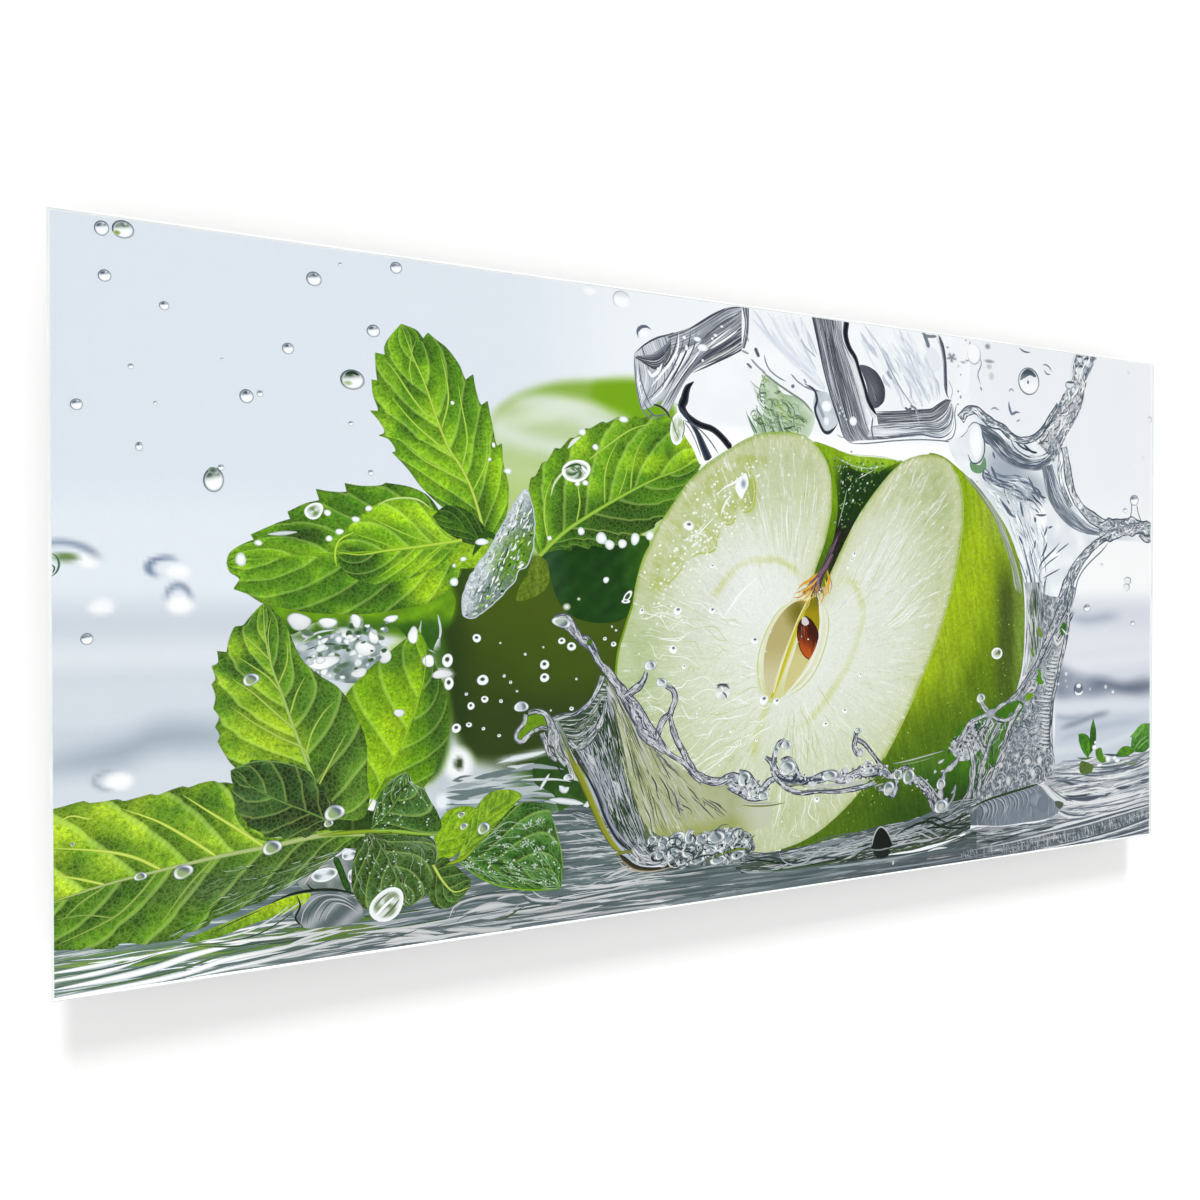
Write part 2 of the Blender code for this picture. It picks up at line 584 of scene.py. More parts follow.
def flesh_ink():
    """flow holds the angle about the core, the distance from it, and the strength of the fibres."""
    m = Shader("ink_flesh")
    col = m.attribute("Col").outputs["Color"]
    a, r, amp = m.split(m.attribute("flow").outputs["Vector"])
    place = m.place()
    fibre = m.noise(m.vector(m.math("MULTIPLY", a, 34.0), m.math("MULTIPLY", r, 0.03)), 1.0, 4.0, 0.65, 0.7)
    fine = m.noise(m.vector(m.math("MULTIPLY", a, 110.0), m.math("MULTIPLY", r, 0.12)), 1.0, 3.0, 0.6)
    cloud = m.noise(place, 0.05, 3.0, 0.6)
    wet = m.noise(place, 0.55, 3.0, 0.7)
    n = m.math("ADD", m.math("MULTIPLY", fibre, 0.6), m.math("MULTIPLY", fine, 0.4))
    c = m.mix(m.math("MULTIPLY", m.ramp(n, 0.52, 0.68), m.math("MULTIPLY", amp, 0.75)), col, (0.86, 0.88, 0.86, 1.0))
    c = m.mix(m.math("MULTIPLY", m.ramp(n, 0.47, 0.33), m.math("MULTIPLY", amp, 0.55)), c, m.mix(1.0, c, (0.72, 0.78, 0.42, 1.0), "MULTIPLY"))
    c = m.mix(m.ramp(cloud, 0.35, 0.65, 0.0, 0.18), c, (0.80, 0.84, 0.74, 1.0))
    c = m.scaled(c, m.ramp(wet, 0.35, 0.65, 0.955, 1.045))
    return m.ink(c)


def skin_ink():
    """flow holds millimetres along and across the apple's meridians, and the strength of its marks."""
    m = Shader("ink_skin")
    col = m.attribute("Col").outputs["Color"]
    s, t, amp = m.split(m.attribute("flow").outputs["Vector"])
    place = m.place()
    run = m.noise(m.vector(m.math("MULTIPLY", s, 0.03), m.math("MULTIPLY", t, 0.22)), 1.0, 4.0, 0.6, 0.4)
    mottle = m.noise(place, 0.30, 3.0, 0.7)
    dots = m.ramp(m.cells(place, 0.17, "F1"), 0.11, 0.05)
    c = m.scaled(col, m.ramp(run, 0.3, 0.7, 0.84, 1.14))
    c = m.scaled(c, m.ramp(mottle, 0.3, 0.7, 0.84, 1.16))
    c = m.mix(m.math("MULTIPLY", dots, m.math("MULTIPLY", amp, 0.4)), c, (0.50, 0.62, 0.20, 1.0))
    return m.ink(c)


def pane_glass():
    """Clear float glass that lets lamps through to the print."""
    m = Shader("clear_glass")
    g = m.node("ShaderNodeBsdfPrincipled")
    g.inputs["Base Color"].default_value = (0.985, 0.995, 0.99, 1.0)
    g.inputs["Roughness"].default_value = 0.0
    g.inputs["IOR"].default_value = 1.45
    g.inputs["Transmission Weight"].default_value = 1.0
    open_ = m.node("ShaderNodeBsdfTransparent")
    path = m.node("ShaderNodeLightPath")
    lamp = m.math("MAXIMUM", path.outputs["Is Shadow Ray"], path.outputs["Is Diffuse Ray"])
    both = m.node("ShaderNodeMixShader")
    m.set(both.inputs[0], lamp)
    m.set(both.inputs[1], g.outputs[0])
    m.set(both.inputs[2], open_.outputs[0])
    m.tree.links.new(both.outputs[0], m.out.inputs["Surface"])
    return m.material


def ground_edge_painted_light():
    """The ground and polished chamfer all round the pane, with its grinding lines. Its pale colour is partly painted
    highlight: it stands in for the light the edge catches.
    """
    m = Shader("ground_edge_painted_light")
    s = m.node("ShaderNodeBsdfPrincipled")
    place = m.place()
    lines = m.noise(m.vector(*[m.math("MULTIPLY", c, k) for c, k in zip(m.split(place), (0.05, 6.0, 0.05))]), 1.0, 3.0)
    haze = m.noise(place, 0.02, 3.0)
    # painted highlight: these pale greys stand in for the bright line of light the chamfer catches, laid over its
    # ground finish
    c = m.mix(m.ramp(haze, 0.35, 0.65), (0.80, 0.86, 0.84, 1.0), (0.90, 0.93, 0.92, 1.0))
    m.set(s.inputs["Base Color"], m.scaled(c, m.ramp(lines, 0.3, 0.7, 0.94, 1.05)))
    s.inputs["Roughness"].default_value = 0.28
    s.inputs["Specular IOR Level"].default_value = 0.5
    bump = m.node("ShaderNodeBump")
    bump.inputs["Strength"].default_value = 0.06
    bump.inputs["Distance"].default_value = 0.0001
    m.set(bump.inputs["Height"], lines)
    m.set(s.inputs["Normal"], bump.outputs[0])
    open_ = m.node("ShaderNodeBsdfTransparent")
    path = m.node("ShaderNodeLightPath")
    lamp = m.math("MAXIMUM", path.outputs["Is Shadow Ray"], path.outputs["Is Diffuse Ray"])
    both = m.node("ShaderNodeMixShader")
    m.set(both.inputs[0], lamp)
    m.set(both.inputs[1], s.outputs[0])
    m.set(both.inputs[2], open_.outputs[0])
    m.tree.links.new(both.outputs[0], m.out.inputs["Surface"])
    return m.material


def back_lacquer():
    """White lacquer rolled over the back of the print, with the roller's faint nap."""
    m = Shader("back_lacquer")
    s = m.node("ShaderNodeBsdfPrincipled")
    place = m.place()
    x, y, z = m.split(place)
    roll = m.noise(m.vector(m.math("MULTIPLY", x, 0.012), 0.0, m.math("MULTIPLY", z, 0.08)), 1.0, 4.0, 0.6)
    nap = m.noise(place, 0.9, 3.0, 0.65)
    c = m.mix(m.ramp(roll, 0.35, 0.65), (0.72, 0.735, 0.74, 1.0), (0.80, 0.81, 0.81, 1.0))
    m.set(s.inputs["Base Color"], c)
    m.set(s.inputs["Roughness"], m.ramp(nap, 0.3, 0.7, 0.38, 0.56))
    s.inputs["Specular IOR Level"].default_value = 0.4
    bump = m.node("ShaderNodeBump")
    bump.inputs["Strength"].default_value = 0.25
    bump.inputs["Distance"].default_value = 0.0002
    m.set(bump.inputs["Height"], nap)
    m.set(s.inputs["Normal"], bump.outputs[0])
    m.tree.links.new(s.outputs[0], m.out.inputs["Surface"])
    return m.material


def see_through():
    m = Shader("glass_back_face")
    t = m.node("ShaderNodeBsdfTransparent")
    m.tree.links.new(t.outputs[0], m.out.inputs["Surface"])
    return m.material


INKS = {
    "print_ground": plain_ink(),
    "print_flat": plain_ink(),
    "print_leaves": leaf_ink(),
    "print_far_leaves": soft_leaf_ink(),
    "print_flesh": flesh_ink(),
    "print_skin": skin_ink(),
    "print_water": water_ink("ink_water", 0.05, 0.75, 0.8, (0.93, 0.95, 0.97, 1.0), (0.045, 0.075, 0.085, 1.0)),
    "print_ripples": water_ink("ink_ripples", 0.018, 0.42, 0.9, (0.93, 0.95, 0.97, 1.0), (0.07, 0.10, 0.12, 1.0)),
    "print_foam": water_ink("ink_foam", 0.16, 0.55, 2.2, (0.95, 0.96, 0.98, 1.0), (0.04, 0.06, 0.09, 1.0), cell=0.28),
    "print_ice": water_ink("ink_ice", 0.012, 0.9, 0.5, (0.93, 0.94, 0.96, 1.0), (0.06, 0.07, 0.09, 1.0)),
    "print_marks": plain_ink(),
    "print_drops": plain_ink(),
}


# ---------------------------------------------------------------- the print: ground

SKY_L, SKY_M, SKY_R = (221, 228, 238), (226, 232, 240), (243, 245, 249)


def soft(x, y, outline, blur):
    """How much of a blurred outline covers each point."""
    line = curve(outline, 6.0, closed=True)
    return smoothstep(blur, -blur, distance(line, x, y))


def puff(x, y, cx, cy, rx, ry, blur=0.35, angle=0.0):
    """How much of a blurred oval covers each point."""
    c, s = math.cos(angle), math.sin(angle)
    dx, dy = x - cx, y - cy
    r = np.hypot((dx * c + dy * s) / rx, (-dx * s + dy * c) / ry)
    return smoothstep(1 + blur, 1 - blur, r)


def band(x, y, points, thick, blur, fade=None):
    """A blurred horizontal band along a line of points; thick is its half height."""
    line = curve(points, 6.0)
    mid = np.interp(x, line[:, 0], line[:, 1])
    b = smoothstep(thick + blur, thick - blur, np.abs(y - mid))
    if fade:
        b = b * smoothstep(fade[0], fade[1], x) * smoothstep(fade[3], fade[2], x)
    return b


def ground(x, y):
    c = stops(x, (0, SKY_L), (300, (223, 230, 239)), (380, (236, 241, 246)), (600, (250, 251, 253)), (780, (238, 240, 246)), (930, (240, 242, 246)), (1000, (242, 243, 247)))
    c = mix(c, (250, 251, 252), smoothstep(120, 210, y) * smoothstep(820, 900, x))
    c = mix(c, (231, 237, 245), smoothstep(160, 200, y) * smoothstep(250, 180, x) * 0.7)
    # far water at the left
    left = smoothstep(420, 300, x)
    c = mix(c, (206, 213, 223), left * smoothstep(236, 262, y))
    c = mix(c, (223, 229, 236), left * band(x, y, [(0, 283), (300, 285)], 10, 10))
    c = mix(c, (212, 219, 228), left * smoothstep(292, 305, y))
    c = mix(c, (160, 175, 187), band(x, y, [(0, 352), (40, 345), (60, 337), (100, 338), (200, 340)], 9, 13) * (0.62 + 0.38 * puff(x, y, 55, 338, 45, 30, 0.6)))
    c = mix(c, (199, 207, 218), band(x, y, [(0, 332), (120, 331)], 2, 6) * smoothstep(60, 20, x) * 0.8)
    c = mix(c, (214, 221, 229), left * smoothstep(353, 372, y))
    c = mix(c, (168, 183, 193), soft(x, y, [(250, 374), (300, 371), (350, 376), (400, 400), (420, 460), (250, 470)], 9))
    # far water at the right
    right = smoothstep(840, 870, x)
    c = mix(c, (216, 220, 229), right * smoothstep(235, 262, y))
    c = mix(c, (150, 160, 180), band(x, y, [(860, 262), (900, 270), (930, 268), (1000, 262)], 3, 9, (870, 900, 930, 965)) * 0.8)
    c = mix(c, (226, 231, 237), right * band(x, y, [(840, 295), (1000, 292)], 12, 14))
    c = mix(c, (230, 232, 240), right * band(x, y, [(840, 318), (1000, 310)], 6, 10))
    c = mix(c, (128, 138, 155), soft(x, y, [(862, 316), (882, 320), (902, 327), (930, 330), (962, 335), (1004, 333), (1004, 350), (950, 348), (900, 349), (862, 346)], 8) * right * (0.8 + 0.12 * np.sin(x / 9)))
    c = mix(c, (92, 102, 122), band(x, y, [(902, 334), (930, 336), (960, 342), (1004, 341)], 3, 7, (902, 925, 1000, 1010)) * 0.8)
    c = mix(c, (168, 178, 193), band(x, y, [(900, 335), (925, 331), (945, 334), (1000, 342)], 2, 6, (900, 915, 935, 950)) * 0.4)
    c = mix(c, (222, 227, 234), right * band(x, y, [(860, 357), (1000, 362)], 3, 8))
    c = mix(c, (200, 208, 219), right * smoothstep(364, 372, y))
    c = mix(c, (100, 112, 128), band(x, y, [(860, 380), (890, 375), (915, 369), (940, 366)], 1.5, 5, (862, 885, 925, 945)) * 0.9)
    c = mix(c, (140, 151, 168), band(x, y, [(860, 366), (885, 369), (910, 366)], 1.5, 5, (858, 868, 890, 915)) * 0.8)
    c = mix(c, (176, 187, 203), band(x, y, [(860, 392), (890, 386), (930, 380), (1000, 376)], 2, 6, (860, 880, 960, 1000)))
    c = mix(c, (224, 229, 236), right * band(x, y, [(850, 402), (930, 400), (960, 394), (1000, 385)], 2, 6) * 0.9)
    # the whole apple far behind
    shell = [(285, 112), (300, 95), (325, 83), (350, 77), (380, 75), (420, 78), (440, 100), (420, 200), (420, 330), (395, 380), (330, 384), (275, 372), (255, 340), (246, 300), (246, 240), (280, 180)]
    flesh = [(285, 112), (300, 97), (320, 90), (350, 90), (375, 95), (400, 105), (430, 130), (420, 200), (300, 220), (285, 170)]
    c = mix(c, (140, 176, 70), soft(x, y, shell, 5) * smoothstep(60, 75, y) * smoothstep(262, 290, x + (y > 200) * 200))
    c = mix(c, (118, 167, 22), soft(x, y, [(370, 76), (420, 74), (440, 110), (390, 108), (365, 90)], 6))
    inner = soft(x, y, flesh, 6)
    tone = mix((214, 226, 208), (188, 208, 158), 0.5 + 0.5 * np.sin((y - 0.25 * (x - 300)) / 5.2 + 1.2 * clouds(x, y, 30, 3)))
    tone = mix(tone, (178, 202, 120), smoothstep(120, 160, y - 0.1 * (x - 290)) * 0.8)
    tone = mix(tone, (222, 232, 214), puff(x, y, 340, 100, 44, 7, 0.6, -0.3) * 0.7)
    c = mix(c, tone, inner)
    deep = soft(x, y, [(246, 215), (330, 215), (420, 225), (425, 330), (395, 376), (330, 382), (280, 374), (256, 345), (248, 300)], 6)
    olive = stops(y, (215, (62, 96, 20)), (255, (80, 100, 24)), (290, (62, 82, 20)), (330, (56, 75, 25)), (370, (52, 72, 26)))
    olive = mix(olive, (34, 56, 22), smoothstep(280, 252, x) * 0.6)
    olive = mix(olive, (74, 96, 18), puff(x, y, 300, 255, 30, 12, 0.6) * 0.5)
    olive = olive * 0.9
    olive = mix(olive, (70, 92, 18), puff(x, y, 350, 290, 60, 30, 0.7) * 0.6)
    c = mix(c, olive, deep)
    c = mix(c, (44, 84, 24), puff(x, y, 320, 398, 26, 24, 0.5) * 0.75)
    c = mix(c, (200, 212, 205), band(x, y, [(280, 371), (310, 367), (330, 364)], 2, 3, (285, 296, 322, 336)))
    c = mix(c, (196, 204, 208), puff(x, y, 268, 384, 34, 14, 0.6))
    c = mix(c, (244, 247, 249), puff(x, y, 259, 369, 11, 12, 0.35))
    c = mix(c, (52, 70, 34), puff(x, y, 259.5, 369, 3.4, 4.6, 0.4))
    # bright leaf and wet glints behind the lower sprig
    c = mix(c, (140, 178, 20), soft(x, y, [(170, 330), (182, 312), (200, 290), (225, 276), (238, 290), (250, 318), (252, 350), (246, 372), (232, 384), (205, 392), (185, 400)], 5))
    c = mix(c, (40, 84, 28), soft(x, y, [(234, 292), (250, 318), (252, 350), (246, 372), (236, 380), (230, 350), (232, 318)], 4))
    c = mix(c, (96, 140, 16), band(x, y, [(180, 300), (240, 262)], 2, 5) * soft(x, y, [(175, 320), (215, 285), (240, 300), (225, 380), (190, 380)], 5) * 0.4)
    c = mix(c, (104, 152, 24), soft(x, y, [(128, 250), (180, 240), (252, 236), (254, 262), (225, 275), (190, 268), (150, 274), (138, 262)], 4))
    c = mix(c, (54, 96, 26), soft(x, y, [(140, 272), (165, 262), (200, 262), (240, 262), (252, 300), (238, 296), (216, 270), (190, 276), (160, 276)], 5) * 0.8)
    c = mix(c, (205, 212, 222), soft(x, y, [(150, 288), (165, 280), (185, 284), (205, 292), (196, 304), (170, 302), (155, 296)], 5))
    c = mix(c, (226, 231, 236), soft(x, y, [(138, 258), (150, 255), (158, 262), (148, 270), (140, 268)], 4))
    rng = np.random.default_rng(11)
    for cx, cy, rx, ry in [(167, 263, 6, 3.5), (186, 263, 4, 5), (178, 272, 7, 5), (192, 282, 8, 6), (198, 275, 3.5, 5), (226, 273, 4.5, 6), (238, 268, 4, 7), (242, 275, 3, 8), (164, 291, 11, 5), (180, 293, 6, 4), (190, 298, 6, 4), (206, 287, 5, 5.5), (236, 293, 5, 5), (216, 329, 4, 3.5), (247, 302, 8, 4), (196, 394, 4, 4), (247, 396, 5, 6), (249, 250, 4, 3)]:
        c = mix(c, (236, 240, 246), puff(x, y, cx, cy, rx, ry, 0.35) * 0.95)
        if rng.random() < 0.5:
            c = mix(c, (150, 164, 176), puff(x, y, cx + rx * 0.3, cy + ry * 0.3, rx * 0.4, ry * 0.4, 0.5) * 0.5)
    # far drops, out of focus
    for cx, cy, rx, ry, k in [(22, 221, 6, 5, 1), (73, 228, 7, 4.5, 1), (28, 252, 7, 4, 0.8), (74, 250, 8, 6, 1), (38, 364, 8, 5.5, 1), (30, 250, 6, 5, 0.6)]:
        c = mix(c, (252, 253, 254), puff(x, y, cx, cy, rx, ry, 0.4) * k)
    return c


def far_drops(x, y, c):
    ring = np.abs(np.hypot((x - 6) / 21, (y - 224) / 14) - 1)
    c = mix(c, (128, 143, 165), smoothstep(0.28, 0.0, ring) * smoothstep(224, 214, y) * 0.8)
    c = mix(c, (96, 128, 66), puff(x, y, 9, 219.5, 7, 2.8, 0.5) * 0.9)
    ring = np.abs(np.hypot((x - 66) / 10.5, (y - 225.5) / 6.5) - 1)
    c = mix(c, (110, 126, 156), smoothstep(0.45, 0.0, ring) * smoothstep(72, 58, x + (y - 225)) * 0.95)
    ring = np.abs(np.hypot((x - 73) / 7.5, (y - 248) / 11) - 1)
    c = mix(c, (135, 149, 168), smoothstep(0.4, 0.0, ring) * smoothstep(250, 240, y) * 0.9)
    ring = np.abs(np.hypot((x - 34) / 10, (y - 363) / 6) - 1)
    c = mix(c, (150, 163, 174), smoothstep(0.35, 0.0, ring) * smoothstep(38, 28, x) * 0.7)
    return c


gx, gy = np.meshgrid(np.linspace(*PRINT_X, 400), np.linspace(*PRINT_Y, 208), indexing="ij")
gc = ground(gx, gy)
gc = far_drops(gx, gy, gc)
patch("print_ground", np.stack([gx, gy], -1), 0, gc)


# ---------------------------------------------------------------- the print: mint leaves


def toothed(line, period, depth, phase=0.0, ends=(0.08, 0.97), outward=1.0):
    """An edge with forward-pointing teeth, from the base to the tip."""
    fine = resample(line, 260)
    s = lengths(fine)
    t = s / s[-1]
    k = s / period + phase
    saw = np.mod(k, 1.0)
    size = 0.65 + 0.5 * hash01(np.floor(k), phase * 3.3 + 1)
    rise = np.where(saw < 0.86, (saw / 0.86) ** 1.5, (1 - saw) / 0.14)
    push = depth * size * rise * smoothstep(ends[0] - 0.05, ends[0] + 0.06, t) * smoothstep(ends[1] + 0.03, ends[1] - 0.05, t)
    return fine + turned(fine) * (push * outward)[:, None]


def leaf(left, mid, right, level, tones, veins=8.0, lean=2.0, relief=1.0, teeth=(13, 3.2), seed=0.0, rib=(2.4, (196, 214, 96)),
         spots=(), sides=(1.0, 1.0), nu=110, nv=26, piece="print_leaves", tip=1.0, rough=0.35):
    """A leaf from base to tip. left and right are its edges, tones its dark, middle and light colours."""
    L, M, R = curve(left), curve(mid), curve(right)
    if teeth:
        L = toothed(L, teeth[0], teeth[1], seed, outward=-1.0)
        R = toothed(R, teeth[0], teeth[1], seed + 0.4, outward=1.0)
    P = loft([resample(L, 400), resample(M, 400), resample(R, 400)], nu, nv, at=[0, 0.5, 1])
    t, v = np.meshgrid(np.linspace(0, 1, nu), np.linspace(-1, 1, nv), indexing="ij")
    x, y = P[..., 0], P[..., 1]
    phase = veins * t**0.9 - lean * np.abs(v) ** 1.15 + 0.35 * np.sign(v) + 40
    f = np.mod(phase, 1.0)
    b = 0.5 + rough * clouds(x, y, 16, seed) + 0.16 * clouds(x, y, 5, seed + 5) - 0.25 * relief * (f - 0.5)
    b = b * np.where(v < 0, sides[0], sides[1])
    b = b + 0.10 * (t - 0.5)
    c = stops(b, (0.05, tones[0]), (0.5, tones[1]), (0.95, tones[2]))
    for sx, sy, rx, ry, colour, k in spots:
        c = mix(c, colour, puff(x, y, sx, sy, rx, ry, 0.6) * k)
    c = mix(c, c * 0.72, smoothstep(0.93, 1.0, np.abs(v)) * 0.7)
    flow = np.stack([phase, v, np.full_like(v, relief)], -1).reshape(-1, 3)
    patch(piece, P, level, c, flow)
    if rib:
        mid_line = resample(M, 80)
        strip("print_marks", mid_line, [(0, rib[0]), (0.5, rib[0] * 0.7), (0.9, rib[0] * 0.3), (1, 0.2)], level + 0.45, rib[1], side=mix(rib[1], tones[1], 0.65))
    return P


BRIGHT = ((34, 84, 12), (94, 150, 18), (162, 206, 36))
SUNNY = ((72, 126, 16), (150, 196, 20), (206, 232, 70))
DEEP = ((14, 46, 12), (42, 86, 20), (92, 140, 30))
DULL = ((22, 50, 20), (66, 104, 32), (130, 158, 70))

# the upper sprig
leaf(
    [(281, 206), (262, 190), (246, 178), (232, 165), (222, 152), (211, 141, 1), (214, 140), (209, 132), (201.5, 129.5, 1), (206, 127), (202, 119), (195.5, 112, 1), (201.5, 112), (198, 101), (197, 90, 1), (201, 94), (200, 82), (199.5, 70.5, 1), (206, 73), (206, 66), (210, 58), (218, 48, 1)],
    [(281, 206), (277, 190), (270, 167), (262, 150), (252, 135), (243, 113), (235, 90), (226, 70), (218, 48)],
    [(281, 206), (292, 194), (297, 178), (297.5, 160), (294, 146), (292.5, 129, 1), (289, 132), (285, 115), (281.5, 98, 1), (277, 102), (273, 92), (270.5, 79, 1), (266, 85), (260, 73), (251, 62), (243, 56.5), (237, 52, 1), (235.5, 58.5), (230, 52), (224, 49.5), (218, 48, 1)],
    5, BRIGHT, veins=7.5, lean=1.9, seed=1.3, sides=(1.08, 0.98), teeth=None, nu=170, nv=30,
    spots=[(289, 158, 9, 28, (150, 200, 20), 0.7), (245, 156, 20, 12, (142, 192, 20), 0.55), (277, 185, 10, 22, (50, 96, 12), 0.8), (238, 62, 14, 10, (44, 96, 12), 0.7), (262, 100, 14, 26, (66, 122, 16), 0.6), (212, 66, 8, 16, (120, 176, 30), 0.4), (206, 84, 8, 16, (52, 104, 14), 0.4)],
)
# the leaf behind at the left, jagged and a little out of focus
leaf(
    [(262, 210), (250, 190), (238, 172), (225, 165.5), (207, 163, 1), (203, 165), (190, 166), (178, 164.5, 1), (181, 170), (170, 171), (159, 169.5, 1), (163, 176), (152, 180), (140, 186.5, 1), (146, 189), (134, 194), (117, 202.5, 1), (122, 204), (112, 209), (104, 215), (102, 222, 1)],
    [(262, 210), (246, 209), (228, 210), (205, 212), (180, 214), (155, 216), (130, 218), (102, 222)],
    [(262, 210), (262, 226), (252, 240), (238, 249), (215, 254), (195, 257), (170, 257), (150, 255), (136, 252), (124, 249), (115, 243), (106, 239.5, 1), (110, 233), (104, 228), (102, 222, 1)],
    5.8, ((30, 78, 12), (82, 138, 20), (150, 196, 34)), veins=7.0, lean=2.4, seed=4.1, teeth=None, sides=(0.94, 0.98), rib=(2.0, (130, 176, 40)), relief=0.85, nu=150, nv=30,
    spots=[(190, 186, 26, 10, (66, 120, 22), 0.6), (152, 201, 14, 5, (26, 58, 14), 0.9), (142, 190, 20, 8, (58, 110, 18), 0.6), (128, 212, 20, 6, (120, 172, 26), 0.5), (150, 214, 30, 5, (140, 188, 24), 0.5), (190, 244, 30, 8, (46, 92, 18), 0.6), (236, 238, 16, 12, (166, 206, 24), 0.8), (140, 236, 20, 8, (66, 118, 20), 0.5)],
)
leaf(
    [(262, 203), (252, 190), (240, 180), (228, 174.5), (215, 173.5), (203, 177), (192, 185), (182, 194), (175, 203), (172, 213)],
    [(262, 203), (245, 206), (226, 209), (206, 212), (188, 215), (172, 213)],
    [(262, 203), (256, 213), (244, 222), (230, 229), (214, 234.5), (199, 236), (185, 232), (176, 224), (172, 213)],
    6.1, ((40, 92, 14), (110, 166, 18), (176, 220, 32)), veins=5.0, lean=1.8, seed=6.6, teeth=None, sides=(1.04, 0.92), rib=(2.6, (186, 214, 76)), relief=0.9, nu=100, nv=26, rough=0.28,
    spots=[(222, 186, 30, 10, (168, 216, 28), 0.8), (240, 198, 16, 8, (176, 214, 50), 0.6), (187, 222, 17, 14, (34, 78, 18), 0.9), (212, 200, 26, 8, (88, 146, 20), 0.6), (228, 222, 18, 7, (150, 196, 24), 0.7), (252, 200, 8, 8, (150, 196, 40), 0.5)],
)
strip("print_marks", [(200, 181), (207, 176), (218, 173.5), (230, 174.5), (240, 181)], 1.5, 6.8, (206, 226, 150), side=(140, 188, 40), taper=(0.3, 0.3))
for line, w in (([(240, 206), (222, 200), (204, 192), (192, 187)], 1.4), ([(230, 208), (214, 222), (200, 232)], 1.3), ([(250, 205), (236, 216), (224, 229)], 1.2), ([(214, 210), (198, 204), (184, 200)], 1.0), ([(246, 204), (232, 192), (220, 180)], 1.1)):
    strip("print_marks", line, w, 6.7, (168, 206, 66), side=(100, 152, 24), taper=(0.1, 0.5))
strip("print_marks", [(173, 224), (172, 214), (175, 205), (185, 199)], 1.1, 6.6, (190, 222, 70), taper=(0.3, 0.3))
strip("print_marks", [(128, 202), (138, 201), (147, 200)], 3.4, 6.6, (214, 222, 222), side=(120, 140, 110), taper=(0.4, 0.4))
leaf(
    [(281, 206), (268, 206), (256, 201), (246, 194), (240, 186)],
    [(281, 206), (270, 199), (258, 191), (248, 187), (240, 186)],
    [(281, 206), (281, 196), (273, 186), (262, 179), (250, 178), (240, 186)],
    6.4, ((12, 42, 10), (30, 72, 16), (70, 118, 20)), veins=3.5, seed=2.2, teeth=None, relief=0.6, rib=(1.4, (70, 120, 24)), nu=50, nv=18,
)
blob("print_far_leaves", [(322, 212), (345, 203), (385, 198), (414, 198), (408, 222), (400, 246), (394, 262), (372, 266), (348, 260), (336, 246), (330, 228)], 6.7,
     lambda x, y: mix(mix((26, 64, 18), (48, 90, 20), smoothstep(385, 410, x)), (44, 78, 46), smoothstep(350, 332, x) * 0.8) + 6 * clouds(x, y, 14, 2)[..., None], 3.0,
     flow=lambda x, y: np.stack([(x + y) * 0.05, x * 0, x * 0 + 0.5], -1))
leaf(
    [(322, 214), (314, 199), (311, 181), (314, 163), (322, 148), (335, 134), (350, 122), (365, 112.5), (380, 107), (400, 103), (415, 101), (430, 99), (446, 108), (456, 118), (464, 130)],
    [(322, 214), (332, 204), (345, 193), (360, 183), (380, 171), (400, 160), (420, 150), (440, 142), (464, 130)],
    [(322, 214), (335, 209), (350, 206), (366, 205), (385, 203), (402, 198), (420, 186), (440, 166), (455, 149), (464, 130)],
    7, ((34, 84, 12), (92, 148, 18), (166, 208, 38)), veins=7.0, lean=2.2, seed=7.7, teeth=(15, 3.2), sides=(1.06, 0.34), rib=(3.4, (156, 194, 70)),
    spots=[(384, 186, 44, 16, (26, 66, 12), 0.75), (420, 150, 22, 14, (40, 96, 10), 0.5), (352, 178, 20, 16, (50, 98, 16), 0.75), (455, 122, 16, 14, (166, 204, 24), 0.8), (425, 160, 24, 12, (86, 138, 18), 0.6), (316, 185, 7, 30, (120, 172, 24), 0.7), (418, 138, 26, 8, (166, 208, 24), 0.6), (385, 112, 30, 8, (84, 136, 18), 0.5)],
)
strip("print_marks", [(331, 168), (334, 158), (341, 149), (350, 143)], 2.2, 7.6, (214, 226, 190), side=(130, 176, 60), taper=(0.4, 0.4))
strip("print_marks", [(345, 130), (350, 124), (356, 120)], 3.0, 7.6, (226, 232, 226), taper=(0.4, 0.4))
for line, w in (([(376, 172), (376, 150), (380, 135), (388, 120)], 1.5), ([(352, 188), (355, 172), (354, 158), (362, 140)], 1.4), ([(398, 161), (400, 142), (404, 128), (412, 114)], 1.4),
                ([(330, 205), (326, 185), (327, 168), (333, 152)], 1.7), ([(362, 138), (378, 126), (398, 112), (420, 104)], 1.8), ([(388, 165), (394, 148), (396, 136)], 1.1)):
    strip("print_marks", line, w, 7.5, (176, 206, 84), side=(116, 164, 34), taper=(0.1, 0.5))
for line, w in (([(226, 92), (224, 80), (226, 66), (229, 58)], 1.0), ([(243, 113), (236, 112), (224, 98), (213, 82), (205, 74)], 1.6), ([(257, 142), (243, 132), (226, 118), (210, 100)], 1.7), ([(266, 160), (248, 152), (232, 144), (217, 132)], 1.4), ([(247, 122), (252, 100), (250, 82), (246, 66)], 1.5), ([(262, 150), (266, 128), (262, 104), (259, 86)], 1.5), ([(270, 167), (280, 145), (281, 122)], 1.3)):
    strip("print_marks", line, w, 5.6, (178, 212, 84), side=(112, 164, 34), taper=(0.1, 0.6))

# the bright join of the upper leaves
blob("print_leaves", [(250, 196), (262, 194), (274, 200), (284, 208), (284, 216), (276, 222), (264, 224), (252, 220), (246, 208)], 6.05, lambda x, y: mix((120, 166, 20), (160, 200, 40), 0.5 + 0.5 * clouds(x, y, 7, 3)), 2.5, flow=lambda x, y: np.stack([(x + y) * 0.05, x * 0, x * 0 + 0.5], -1))
